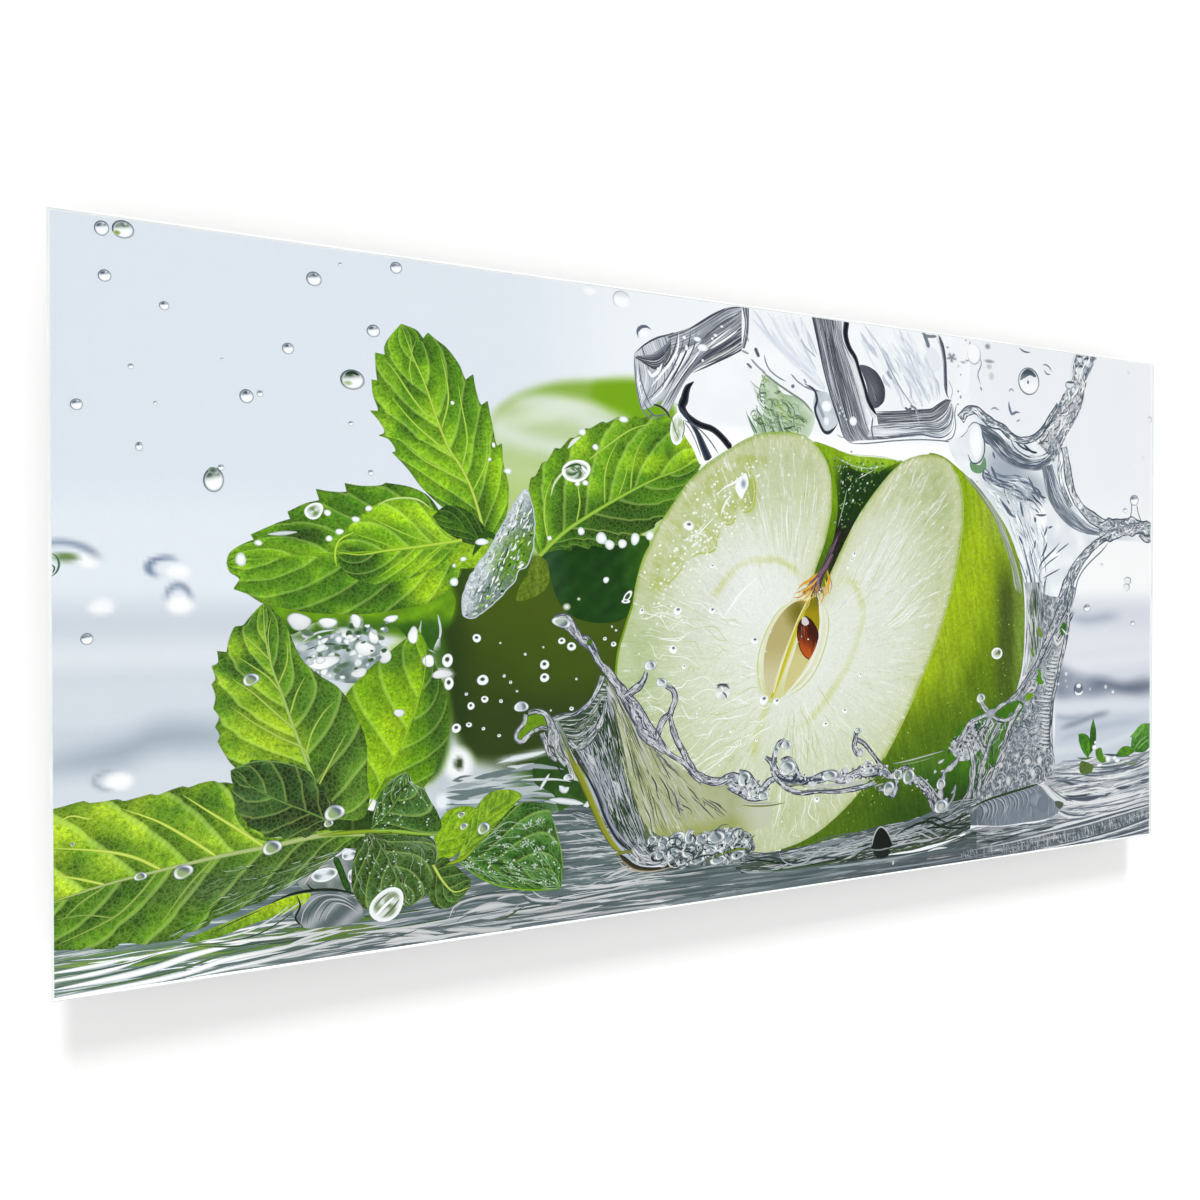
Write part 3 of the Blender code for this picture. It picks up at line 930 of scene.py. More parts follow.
# the lower sprig: leaves behind
leaf(
    [(190, 402), (176, 372), (171, 342), (177, 318), (192, 299), (210, 284), (230, 268)],
    [(190, 402), (206, 374), (222, 342), (232, 312), (235, 290), (230, 268)],
    [(190, 402), (215, 398), (233, 385), (245, 367), (252, 345), (250, 318), (241, 291), (230, 268)],
    3.0, ((66, 118, 10), (120, 170, 12), (166, 204, 26)), veins=6.5, lean=1.9, seed=12.0, teeth=None, sides=(1.08, 0.46), relief=0.75, rib=(1.2, (160, 196, 40)), nu=90, nv=30, rough=0.3,
    spots=[(212, 288, 18, 12, (64, 112, 22), 0.85), (244, 330, 8, 46, (50, 92, 22), 0.9), (240, 300, 6, 16, (44, 84, 22), 0.8), (196, 312, 14, 14, (104, 156, 14), 0.5), (212, 352, 12, 26, (168, 206, 20), 0.5), (222, 396, 14, 8, (96, 140, 20), 0.5)],
)
blob("print_far_leaves", [(126, 252), (150, 246), (190, 240), (235, 238), (256, 244), (254, 262), (244, 276), (236, 292), (228, 284), (214, 266), (196, 259), (176, 259), (158, 263), (142, 271), (134, 264)], 2.0,
     lambda x, y: mix(mix((70, 122, 18), (126, 172, 24), 0.5 + 0.5 * clouds(x, y, 14, 6)), (44, 88, 20), smoothstep(3, 12, y - 256 + abs(x - 196) * 0.02) * 0.9), 3.0, flow=lambda x, y: np.stack([(x * 0.5 + y) * 0.06, x * 0, x * 0 + 0.7], -1))
blob("print_flat", [(146, 282), (160, 274), (176, 270), (192, 272), (204, 280), (208, 290), (200, 300), (188, 306), (172, 304), (156, 294)], 2.5, lambda x, y: mix((96, 116, 110), (196, 205, 214), np.clip(0.5 + 0.9 * clouds(x, y, 6, 4), 0, 1)), 3.0)
rng = np.random.default_rng(404)
for _ in range(90):
    a = rng.uniform(0, 1)
    x, y = 150 + 58 * a + rng.normal(0, 5), 266 + 30 * rng.uniform() + 6 * math.sin(a * 5)
    r = rng.uniform(0.8, 2.6)
    tone = ((250, 252, 253), (240, 244, 247), (120, 140, 140), (50, 84, 40), (206, 214, 220), (84, 110, 80))[rng.integers(6)]
    disc("print_drops", x, y, r * rng.uniform(1.0, 2.0), r, 2.8 + 0.1 * rng.uniform(), lambda R, A, tone=tone: mix(tone, mix(tone, (150, 166, 160), 0.5), R**3), angle=rng.uniform(-0.6, 0.4), rings=2, n=12, wobble=0.15, seed=x)
for x, y, rx, ry, tone in ((167, 263, 6.5, 3.4, 250), (186, 262, 3.6, 5, 246), (192, 282, 7.5, 5.4, 250), (198, 274, 3.4, 5, 253), (206, 287, 5, 5.6, 236), (226, 273, 3.8, 6.2, 252), (237, 292, 5, 4.2, 250), (164, 291, 10.5, 4.8, 252), (188, 299, 6, 3.2, 236), (247, 302, 7, 3.6, 236), (148, 262, 8, 6, 236), (216, 329, 3.6, 3.2, 236), (196, 394, 4, 5, 250)):
    disc("print_drops", x, y, rx, ry, 2.95, lambda R, A, tone=tone: mix(mix((tone, tone + 1, tone + 2), (170, 182, 190), 0.35 * R * (0.5 + 0.5 * np.sin(A + x))), (70, 100, 60), smoothstep(0.82, 1.0, R) * 0.7), angle=-0.1, rings=6, n=26, wobble=0.12, seed=x)
for line, w, tone in (([(232, 262), (231, 272), (235, 282), (242, 286)], 1.8, (176, 190, 190)), ([(244, 258), (246, 270), (244, 280)], 1.6, (206, 214, 220)), ([(236, 262), (240, 272), (246, 276)], 1.2, (60, 92, 50)), ([(150, 276), (160, 270), (172, 268)], 1.4, (206, 214, 220)), ([(152, 282), (166, 278), (180, 280)], 1.2, (60, 84, 60))):
    strip("print_flat", line, w, 2.96, tone, taper=(0.3, 0.3))
far = ((40, 80, 14), (96, 140, 20), (170, 200, 36))
leaf(
    [(232, 436), (240, 424), (244, 412), (250, 404), (258, 401), (266, 401), (273, 403)],
    [(232, 436), (244, 428), (256, 418), (266, 409), (273, 403)],
    [(232, 436), (246, 440), (258, 436), (266, 424), (271, 412), (273, 403)],
    37.4, ((52, 100, 14), (120, 165, 20), (176, 208, 30)), veins=4, seed=9.0, teeth=None, relief=0.5, nu=50, nv=16, rib=(1.3, (150, 186, 50)),
)
I = leaf(
    [(192, 414), (172, 409), (150, 409), (132, 409), (120, 402), (112, 388), (106, 371), (90, 368), (70, 371), (50, 374.5), (30, 375.5), (16, 375), (-2, 379)],
    [(192, 414), (165, 412), (130, 416), (100, 419), (65, 424), (30, 430), (-2, 438)],
    [(192, 414), (174, 426), (156, 438), (140, 446), (120, 455), (98, 461), (80, 469), (60, 473), (44, 471), (28, 472), (15, 470), (-2, 468)],
    38, ((32, 78, 20), (100, 146, 26), (168, 198, 44)), veins=7.0, lean=1.7, seed=3.6, teeth=(19, 1.8), sides=(1.12, 0.50), relief=1.2, rib=(4.2, (176, 190, 128)), nu=130, nv=34,
    spots=[(112, 440, 46, 12, (66, 92, 60), 0.7), (10, 392, 30, 10, (176, 206, 36), 0.5), (150, 424, 24, 9, (50, 76, 36), 0.7)],
)
for line, w in (([(95, 419), (78, 405), (60, 392), (40, 382)], 2.2), ([(125, 416), (108, 402), (90, 388), (75, 376)], 2.2), ([(62, 424), (46, 414), (28, 408), (0, 403)], 2.2), ([(30, 430), (14, 424), (0, 420)], 1.8), ([(22, 387), (10, 384), (0, 392)], 1.2)):
    strip("print_marks", line, w, 38.6, (206, 222, 100), side=(140, 178, 44), taper=(0.05, 0.6))
for line, w in (([(93, 421), (78, 437), (60, 462)], 1.5), ([(60, 425), (48, 440), (34, 452), (0, 466)], 1.6), ([(30, 431), (16, 440), (4, 452)], 1.3), ([(34, 452), (18, 448), (0, 449)], 1.0)):
    strip("print_marks", line, w, 38.6, (150, 176, 84), side=(100, 136, 44), taper=(0.05, 0.6))
coat = loft([[(176, 424), (140, 428), (110, 428), (86, 430)], [(172, 428), (140, 438), (110, 448), (78, 458)], [(160, 436), (132, 449), (98, 460), (58, 472)]], 60, 16)
streaks("print_marks", coat, 38.7, 150, [(140, 160, 132), (96, 124, 84), (28, 56, 24), (186, 198, 186), (46, 82, 34), (36, 72, 26)], 5, length=(0.05, 0.18), width=(0.25, 0.7), drift=0.03)
leaf(
    [(172, 402), (150, 382), (128, 372), (111, 364), (104, 357), (100, 350), (96, 342, 1), (97.5, 338), (94.5, 332, 1), (97, 326), (93.5, 319.5, 1), (95, 312), (92.5, 303, 1), (95, 300), (92.5, 291, 1), (96.5, 289), (96, 280.5, 1), (101, 284), (103, 275), (107, 265), (112, 264), (116, 259), (121, 253), (125, 249, 1)],
    [(172, 402), (163, 385), (157, 372), (150, 352), (143, 332), (136, 310), (130, 292), (126, 270), (125, 249)],
    [(172, 402), (190, 403), (195, 390), (193.5, 375), (193.5, 355), (192, 345), (188, 334), (184, 325), (178, 314), (172, 307), (163, 301), (155, 294), (149, 287), (145, 278), (141, 268), (137, 260), (133, 256), (129, 251), (125, 249, 1)],
    39, ((34, 78, 22), (98, 148, 28), (166, 198, 40)), veins=7.5, lean=2.0, seed=6.2, teeth=None, sides=(1.14, 0.56), relief=1.1, rib=(3.0, (170, 194, 110)), nu=170, nv=34,
    spots=[(112, 262, 9, 9, (40, 84, 24), 0.7), (110, 292, 12, 8, (38, 82, 24), 0.8), (108, 280, 6, 10, (140, 176, 30), 0.6), (114, 318, 12, 6, (50, 96, 24), 0.6), (124, 330, 18, 20, (160, 192, 30), 0.5), (140, 345, 14, 16, (166, 196, 30), 0.6), (184, 380, 9, 26, (112, 152, 50), 0.5), (166, 378, 8, 18, (30, 56, 18), 0.85), (162, 318, 16, 14, (70, 116, 34), 0.5), (176, 350, 10, 20, (56, 96, 34), 0.6)],
)
for line, w in (([(155, 360), (150, 350), (136, 342), (118, 330), (103, 318)], 1.6), ([(146, 338), (132, 324), (118, 310), (105, 300)], 1.6), ([(137, 312), (128, 300), (118, 292), (108, 285)], 1.3), ([(129, 288), (120, 278), (112, 270)], 1.2),
                ([(152, 356), (156, 340), (164, 326), (172, 318)], 1.5), ([(142, 326), (146, 312), (152, 300)], 1.3), ([(134, 306), (140, 290), (140, 274)], 1.2), ([(160, 378), (170, 358), (180, 340)], 1.3), ([(130, 292), (128, 272), (130, 258)], 0.9)):
    strip("print_marks", line, w, 39.6, (178, 202, 92), side=(110, 150, 44), taper=(0.08, 0.6))
leaf(
    [(170, 404), (152, 411), (138, 410.5), (127, 408), (114, 398), (108, 386), (106, 374), (104, 362)],
    [(170, 404), (152, 394), (136, 386), (120, 376), (104, 362)],
    [(170, 404), (166, 386), (152, 366), (136, 359), (120, 357), (104, 362)],
    40, ((14, 34, 18), (40, 78, 34), (84, 122, 50)), veins=5.5, lean=1.6, seed=8.3, teeth=(13, 2.0), relief=0.9, rib=(1.6, (110, 144, 70)), nu=80, nv=26,
    spots=[(160, 398, 22, 12, (22, 38, 20), 0.85), (112, 386, 10, 10, (70, 96, 60), 0.5)],
)
strip("print_marks", [(104, 362), (120, 357), (136, 359), (152, 366), (160, 376)], 0.9, 40.5, (112, 148, 80), taper=(0.1, 0.4))


def glints(guides, level, count, seed, tones, size=(0.3, 0.8)):
    """Fine pale strokes along a wet leaf and small white specks over it."""
    P = loft(guides, 50, 16)
    streaks("print_marks", P, level + 0.5, count, tones, int(seed * 10), length=(0.05, 0.3), width=(0.22, 0.6), drift=0.05)
    rng = np.random.default_rng(int(seed * 7))
    for _ in range(count // 2):
        i, j = rng.integers(4, 46), rng.integers(2, 14)
        x, y = P[i, j] + rng.normal(0, 0.8, 2)
        r = rng.uniform(*size)
        disc("print_marks", x, y, r * rng.uniform(1, 1.6), r, level + 0.6, lambda R, A: mix((236, 241, 240), (150, 176, 150), R), angle=rng.uniform(-1, 1), rings=1, n=7)


wet = [(150, 178, 140), (96, 136, 84), (176, 196, 170), (16, 44, 14), (28, 66, 20)]
sides_o = [[(196, 411), (198, 398), (203, 385), (212, 376), (221, 372.5)], [(196, 411), (207, 401), (216, 389), (221, 372.5)], [(196, 411), (214, 417), (236, 421), (246, 416), (244, 405), (238, 394), (234, 385, 1), (228, 382.5), (224.5, 381, 1), (224, 376), (221, 372.5)]]
leaf(*sides_o, 42, ((12, 38, 12), (38, 84, 26), (92, 134, 76)), veins=4.5, lean=1.6, seed=3.1, teeth=None, relief=1.1, rib=(1.2, (120, 156, 84)), nu=70, nv=26)
glints([sides_o[0], sides_o[1], sides_o[2]], 42, 70, 3.1, wet)
blob("print_leaves", [(166, 400), (180, 396), (196, 398), (204, 408), (204, 418), (190, 424), (174, 422), (160, 418), (160, 408)], 37.2, lambda x, y: mix((22, 48, 16), (60, 96, 30), 0.5 + 0.5 * clouds(x, y, 8, 3)), 2.5, flow=lambda x, y: np.stack([x * 0.06, x * 0, x * 0 + 0.3], -1))
strip("print_marks", [(195, 412), (212, 414), (230, 418), (245, 420)], [(0, 1), (0.5, 2.4), (1, 1.2)], 42.8, (150, 190, 70), side=(110, 150, 50), taper=(0.1, 0.3))
sides_k = [[(195, 412), (187, 422), (183, 436), (183, 452), (190, 466), (204, 473), (224, 470)], [(195, 412), (205, 428), (214, 448), (224, 470)], [(195, 412), (215, 414), (236, 420), (243, 428), (241, 446), (237, 462), (224, 470)]]
leaf(*sides_k, 41, ((20, 46, 16), (50, 86, 34), (96, 128, 76)), veins=5.0, lean=2.2, seed=5.7, teeth=None, relief=1.0, rib=(1.0, (120, 146, 100)), nu=80, nv=28, spots=[(196, 416, 8, 8, (30, 56, 22), 0.6), (228, 424, 12, 7, (96, 122, 96), 0.5)])
glints(sides_k, 41, 90, 5.7, [(126, 148, 112), (92, 120, 78), (26, 52, 20), (150, 168, 140), (60, 90, 44)])
leaf([(240, 442), (248, 437), (256, 444), (268, 456)], [(240, 442), (248, 456), (256, 464), (268, 462)], [(240, 442), (236, 460), (242, 474), (256, 474), (268, 462)], 40.6, ((16, 42, 16), (44, 82, 30), (96, 130, 76)), veins=4, lean=2.0, seed=7.7, teeth=None, relief=0.9, nu=40, nv=18)
leaf(
    [(256, 440), (266, 430), (277, 418), (290, 410), (302, 404), (312, 402), (322, 404), (330, 410), (334, 424), (338, 440), (341, 455), (339, 473)],
    [(256, 440), (275, 441), (296, 445), (318, 455), (339, 473)],
    [(256, 440), (268, 451), (282, 459), (300, 466), (320, 471), (339, 473)],
    41, ((12, 50, 14), (36, 92, 24), (96, 140, 76)), veins=6, lean=2.4, seed=5.5, teeth=None, relief=1.1, rib=(1.2, (110, 150, 84)), nu=90, nv=30,
)
strip("print_marks", [(262, 446), (282, 460), (300, 467), (320, 471), (336, 472)], 1.6, 41.6, (120, 168, 30), side=(60, 110, 24), taper=(0.3, 0.2))
strip("print_marks", [(330, 412), (335, 425), (339, 442), (341, 458)], 0.9, 41.6, (120, 160, 60), taper=(0.3, 0.2))
leaf(
    [(258, 440), (264, 424), (269, 410), (276, 398), (284, 392), (293, 391)],
    [(258, 440), (270, 424), (280, 410), (288, 400), (293, 391)],
    [(258, 440), (272, 433), (284, 421), (297, 408), (308, 397), (300, 392), (293, 391)],
    42, ((56, 104, 18), (124, 166, 30), (184, 210, 60)), veins=5, lean=1.4, seed=2.9, teeth=None, relief=0.6, rib=(1.0, (150, 186, 60)), nu=60, nv=22,
)
for line in ([(160, 412), (180, 412), (200, 413), (225, 417), (243, 421)], [(250, 443), (262, 440), (272, 432)]):
    strip("print_marks", line, 3.2, 42.6, (140, 170, 40), side=(60, 90, 24), taper=(0.2, 0.3))
glints([[(258, 438), (277, 420), (302, 406), (322, 405), (332, 414), (338, 440), (340, 470)], [(258, 440), (275, 441), (296, 445), (318, 455), (338, 471)], [(258, 442), (268, 450), (282, 458), (300, 465), (320, 470), (338, 472)]], 41, 200, 5.5, wet)
rng = np.random.default_rng(21)
for x, y, rx, ry in ((312, 434, 7, 3.4), (322, 440, 5, 2.6), (285, 444, 4, 2.4), (296, 434, 2, 2), (330, 426, 3, 1.6), (312, 420, 4, 2), (322, 418, 5, 2.4), (300, 450, 3, 2), (318, 452, 2.4, 2), (266, 446, 2.6, 1.6), (304, 428, 1.4, 1.4), (334, 436, 2.4, 1.4), (290, 426, 3, 1.4)):
    for _ in range(int(rx * 4)):
        a, r = rng.uniform(0, 6.283), math.sqrt(rng.uniform())
        w = rng.uniform(0.3, 0.7)
        disc("print_marks", x + rx * r * math.cos(a), y + ry * r * math.sin(a), w * 1.5, w, 41.8, lambda R, A: mix((226, 234, 230), (130, 160, 130), R), angle=a, rings=1, n=7)


# ---------------------------------------------------------------- the print: the frosted leaf by the stem

FROST = [(311, 163), (315, 170), (318, 182), (318, 195), (317, 207), (315, 216), (312, 222), (305, 226), (302, 234), (296, 240), (290, 246), (284, 252), (278, 256), (271, 261), (263, 259), (262, 250), (264, 240), (268, 230), (275, 220), (281, 212), (286, 203), (292, 192), (298, 182), (304, 171)]
blob("print_leaves", FROST, 8.6, lambda x, y: mix(mix((120, 140, 132), (200, 208, 214), smoothstep(4, -8, (x - 296) - (210 - y) * 0.55 + 6 * clouds(x, y, 8, 2))), (90, 140, 26), puff(x, y, 304, 214, 14, 20, 0.7, 0.7) * 0.9), 2.5,
     flow=lambda x, y: np.stack([x * 0.05, y * 0, x * 0 + 0.2], -1))
rng = np.random.default_rng(201)
frost = curve(FROST, 1.5, closed=True)
for _ in range(330):
    x, y = rng.uniform(260, 320), rng.uniform(162, 262)
    d = distance(frost, np.array([x]), np.array([y]))[0]
    if d > -0.8:
        continue
    lower = (x - 296) - (210 - y) * 0.55
    k = rng.uniform(0, 1)
    if lower > 0:
        tone = ((238, 242, 240), (60, 110, 20), (150, 190, 60), (206, 216, 206), (34, 70, 24))[int(k * 5)]
    else:
        tone = ((240, 243, 246), (130, 146, 160), (206, 213, 222), (84, 104, 112), (176, 188, 196))[int(k * 5)]
    r = rng.uniform(0.35, 1.15)
    disc("print_marks", x, y, r * rng.uniform(1.2, 3.0), r, 9.1 + 0.3 * rng.uniform(), lambda R, A: np.broadcast_to(rgb(tone), R.shape + (3,)), angle=-0.75 + rng.uniform(-0.5, 0.5), rings=1, n=7)
for a, b in ((0, 0.999),):
    edge = np.concatenate([frost, frost[:2]])
    edge = edge + 0.5 * np.stack([wander(lengths(edge) / 4, 3.0), wander(lengths(edge) / 4, 8.0)], 1)
    strip("print_marks", edge, 1.0, 9.5, (206, 214, 222), side=(130, 146, 150))
for _ in range(150):
    k = rng.uniform(0.03, 0.97)
    cx, cy = 315 - 46 * k + 5 * math.sin(3.2 * k), 168 + 88 * k
    a = rng.normal(0, 7.5)
    long = rng.uniform(2.5, 8)
    pts = np.array([[cx + a - long * 0.5 * t, cy + 0.6 * a + long * t + 0.8 * math.sin(5 * t + a)] for t in np.linspace(-0.5, 0.5, 5)])
    if (distance(frost, pts[:, 0], pts[:, 1]) > -0.9).any():
        continue
    tone = ((242, 245, 247), (242, 245, 247), (70, 96, 90), (46, 84, 34), (120, 160, 60), (150, 164, 172), (96, 116, 118))[rng.integers(7)]
    strip("print_marks", pts, rng.uniform(0.5, 1.5), 9.6 + 0.2 * rng.uniform(), tone, taper=(0.4, 0.5))
blob("print_leaves", [(318, 214), (326, 216), (330, 226), (328, 238), (316, 246), (304, 248), (306, 238), (312, 228)], 8.3, (96, 120, 30), 3, flow=lambda x, y: np.stack([x * 0.05, y * 0, x * 0 + 0.2], -1))
strip("print_flat", [(270, 214), (276, 204), (281, 198), (286, 200), (292, 204)], 5, 7.9, (44, 84, 20), taper=(0.3, 0.3))


# ---------------------------------------------------------------- the print: water and ice


def shifted(line, d):
    """The line moved sideways by d, a number or one for each point."""
    return line + turned(line) * np.reshape(np.broadcast_to(d, len(line)), (-1, 1))


def sheet(piece, guides, level, tones, amp=1.0, nu=70, nv=20, seed=0.0, grain=9.0, depth=0.5, along=None):
    """A streaked patch of water whose tones run from the first guide to the last."""
    P = loft(guides, nu, nv)
    t = np.linspace(0, 1, nv)[None, :] * np.ones((nu, 1))
    c = np.broadcast_to(rgb(tones), P.shape[:2] + (3,)) if np.isscalar(tones[0]) else stops(t, *tones)
    if along:
        u = np.linspace(0, 1, nu)[:, None] * np.ones((1, nv))
        k = np.interp(u, [a for a, _, _ in along], [b for _, b, _ in along])
        c = mix(c, stops(u, *[(a, col) for a, _, col in along]), k)
    c = c * (1 + 0.16 * depth * clouds(P[..., 0], P[..., 1], grain, seed))[..., None]
    patch(piece, P, level, c, flow_of(P, amp))
    return P


def rope(path, width, level, tone=(176, 186, 197), dark=(52, 66, 80), light=(246, 249, 252), seed=1, amp=1.1, edge=1.0, dots=1.0):
    """A thick strand of clear water: a speckled body, dark outlines and bright cores."""
    line = curve(path, 1.5)
    n = len(line)
    s = lengths(line)
    t = s / s[-1]
    w = np.full(n, float(width)) if np.isscalar(width) else np.interp(t, [a for a, _ in width], [b for _, b in width])
    w = w * (1 + 0.16 * np.array([wander(a / 7, seed) for a in s]))
    edges = [shifted(line, -w / 2), shifted(line, w / 2)]
    P = edges[0][:, None] * np.linspace(1, 0, 6)[None, :, None] + edges[1][:, None] * np.linspace(0, 1, 6)[None, :, None]
    c = np.broadcast_to(rgb(tone), P.shape[:2] + (3,)) * (1 + 0.18 * clouds(P[..., 0], P[..., 1], 6, seed))[..., None]
    patch("print_foam", P, level, c, flow_of(P, amp))
    for k, e in enumerate(edges):
        strip("print_marks", e, [(0, edge * 0.8), (0.3, edge * 1.3), (0.6, edge * 0.7), (0.8, edge * 1.4), (1, edge * 0.8)], level + 0.5, dark, side=mix(dark, tone, 0.6))
    inner = np.stack([shifted(line, w * k / 2 * 0.9) for k in (-1, -0.5, 0, 0.5, 1)], 1)
    long = s[-1]
    m = int(long * (0.22 + w.mean() * 0.05) * dots)
    streaks("print_marks", inner, level + 0.6, m, [light, light, dark, mix(dark, tone, 0.5), light], seed, length=(3.5 / long, 13 / long), width=(0.35, 1.2), drift=0.22)


def outline(path, width, level, tone=(56, 70, 86), closed=False, side=None, taper=(0.15, 0.15)):
    line = curve(path, 1.0, closed=closed)
    if closed:
        line = np.concatenate([line, line[:2]])
        taper = (0.0, 0.0)
    strip("print_marks", line, width, level, tone, side=mix(tone, (200, 208, 216), 0.35) if side is None else side, taper=taper)


ICE_DARK, ICE_MID, ICE_LIGHT = (50, 52, 64), (112, 115, 126), (236, 239, 245)

# white backing of the ice and the splash, over the far apple
blob("print_flat", [(440, 100), (446, 70), (470, 50), (505, 35), (505, 0), (740, 0), (752, 66), (785, 80), (750, 134), (735, 124), (702, 112), (660, 122), (600, 117), (570, 108), (545, 103), (515, 108), (485, 122), (462, 136), (455, 125)], 9,
     lambda x, y: mix(mix((250, 251, 253), (238, 242, 247), 0.5 + 0.5 * clouds(x, y, 22, 7)), (255, 255, 255), smoothstep(98, 108, y)), 4.0)
# the left piece, drawn out into a spiral
sheet("print_ice", [[(401, 52), (410, 43.5), (420, 36.5), (432, 32), (445, 27), (457, 21), (470, 13), (485, 4), (500, 1)], [(401, 54), (412, 54), (424, 52), (438, 48), (450, 42), (462, 34), (475, 24), (488, 14), (500, 6)]], 10,
      ((0, (56, 60, 74)), (0.2, (150, 156, 168)), (0.6, (186, 192, 202)), (1, (120, 126, 140))), amp=1.6, nv=14)
sheet("print_ice", [[(431, 33), (438, 52), (440, 66), (432, 80), (420, 90), (409, 95)], [(412, 42), (420, 56), (424, 70), (420, 82), (412, 90), (408, 94)], [(401, 52), (402, 64), (403, 76), (405, 86), (408, 94)]], 10.2,
      ((0, (170, 178, 188)), (0.35, (206, 211, 219)), (0.7, (176, 182, 194)), (1, (206, 212, 220))), amp=1.5, nv=20)
sheet("print_ice", [[(402, 54), (410, 58), (418, 61), (424, 60), (430, 54), (434, 46)], [(404, 52), (411, 51), (419, 48), (426, 43), (431, 38), (434, 34)]], 10.4, ((0, (72, 76, 90)), (0.5, (54, 58, 72)), (1, (140, 146, 158))), amp=1.1, nv=10)
sheet("print_ice", [[(500, 4), (484, 16), (470, 27), (458, 38), (448, 50), (438, 66), (430, 80), (424, 90)], [(500, 14), (486, 27), (474, 36), (464, 44), (454, 54), (444, 68), (436, 82), (430, 93)], [(500, 38), (486, 45), (474, 50), (462, 55), (452, 62), (444, 73), (438, 84), (432, 96)]], 10.6,
      ((0, (96, 102, 116)), (0.3, (196, 202, 210)), (0.55, (120, 126, 138)), (0.8, (74, 78, 90)), (1, (60, 64, 76))), amp=1.7, nv=22, along=[(0, 0.25, (60, 64, 76)), (0.3, 0.2, (60, 64, 76)), (0.6, 0.5, (190, 196, 205)), (1, 0.7, (214, 219, 226))])
for line, w, tone in (
    ([(401, 51), (410, 43), (420, 36.5), (432, 32), (437, 29.5)], 1.4, ICE_DARK), ([(401, 52), (402, 66), (404, 80), (408, 94), (414, 100), (424, 102)], 1.3, (110, 118, 132)),
    ([(405, 56), (407, 70), (412, 84), (418, 94)], 1.2, (90, 98, 112)), ([(402, 53), (412, 58), (420, 61), (428, 58), (434, 50), (438, 40), (440, 30)], 1.4, ICE_DARK),
    ([(446, 28), (444, 40), (438, 54), (430, 68), (420, 80), (411, 88)], 1.3, (84, 90, 104)), ([(452, 26), (450, 38), (444, 52), (436, 66), (428, 78)], 1.5, ICE_DARK), ([(426, 36), (429, 48), (426, 60), (418, 70)], 1.1, (98, 106, 120)),
    ([(457, 24), (456, 36), (450, 50), (442, 62)], 1.2, (80, 86, 100)), ([(461, 45), (450, 58), (440, 72), (433, 84), (428, 92)], 1.4, (70, 76, 90)), ([(500, 6), (484, 15), (470, 26), (459, 36)], 1.3, (66, 70, 84)),
    ([(500, 24), (482, 36), (466, 46), (455, 56)], 1.6, (52, 56, 70)), ([(500, 38), (484, 46), (468, 54), (454, 61)], 1.6, (50, 54, 68)), ([(409, 88), (414, 95), (420, 99), (432, 96)], 1.4, (84, 92, 108)), ([(448, 27), (458, 21), (470, 13), (485, 4)], 2.2, (66, 72, 86)),
):
    outline(line, w, 11.2, tone, taper=(0.3, 0.3))
for line, w in (([(413, 62), (417, 67), (423, 62), (426, 56)], 3.0), ([(441, 30), (440, 42), (434, 54), (426, 64), (416, 76)], 2.2), ([(446, 44), (440, 56), (432, 68), (424, 80), (414, 88)], 1.6), ([(462, 40), (452, 54), (443, 66), (434, 78)], 1.6), ([(490, 20), (474, 33), (462, 43)], 1.2), ([(404, 60), (405, 74), (409, 88)], 1.0), ([(470, 40), (482, 32), (496, 22)], 1.6)):
    strip("print_marks", line, w, 11.3, (248, 250, 252), taper=(0.35, 0.35))
for x, y, a, b in ((463, 39.5, 5, 3), (458, 33, 3.5, 2), (446, 33, 1.6, 1.6), (475, 28, 2, 1.3), (423, 61, 2, 1.6), (406, 74, 1.2, 1.6), (463, 50, 1.2, 1.2), (472, 31, 1.2, 1.2), (448, 41, 1.4, 2.4), (481, 20, 1.5, 1)):
    disc("print_marks", x, y, a, b, 11.6, lambda R, A: mix((255, 255, 255), (214, 220, 228), R**3), rings=3, n=14)
# the white wedge and the two black bands under it
outline([(455, 68), (449, 74), (446, 84), (444, 90), (449, 97), (460, 103), (472, 106), (481, 112), (490, 121)], [(0, 4), (0.25, 8), (0.4, 5.5), (0.7, 5.5), (1, 6)], 10.8, (12, 16, 28), taper=(0.1, 0.02))
outline([(438, 87), (444, 92), (450, 100), (458, 110), (464, 122), (469, 132)], [(0, 1), (0.4, 3), (0.7, 6), (1, 8)], 10.8, (36, 44, 60), taper=(0.2, 0.02))
outline([(445, 100), (460, 107), (470, 116), (478, 126)], 1.2, 10.9, (86, 96, 110))
outline([(436, 96), (448, 104), (456, 116), (462, 130)], 1.0, 10.9, (120, 130, 144))
outline([(418, 90), (424, 91), (430, 95), (433, 100)], 2.6, 10.9, (30, 40, 36), side=(150, 168, 110))
# a drop hanging over the leaf
disc("print_drops", 440, 108, 6.6, 13.5, 11.6, lambda R, A: mix(mix((176, 190, 150), (226, 232, 226), 0.5 + 0.5 * np.sin(A * 3 + R * 4)), (250, 252, 252), smoothstep(0.62, 0.86, R)), angle=0.12, rings=6, n=30)
outline([(434, 98), (436, 104), (438, 110), (441, 116)], 1.0, 11.8, (100, 120, 86))
outline([(445, 100), (446, 108), (444, 116)], 1.0, 11.8, (84, 100, 90))
outline([(438, 100), (441, 106), (441, 112)], 1.3, 11.8, (126, 144, 84))

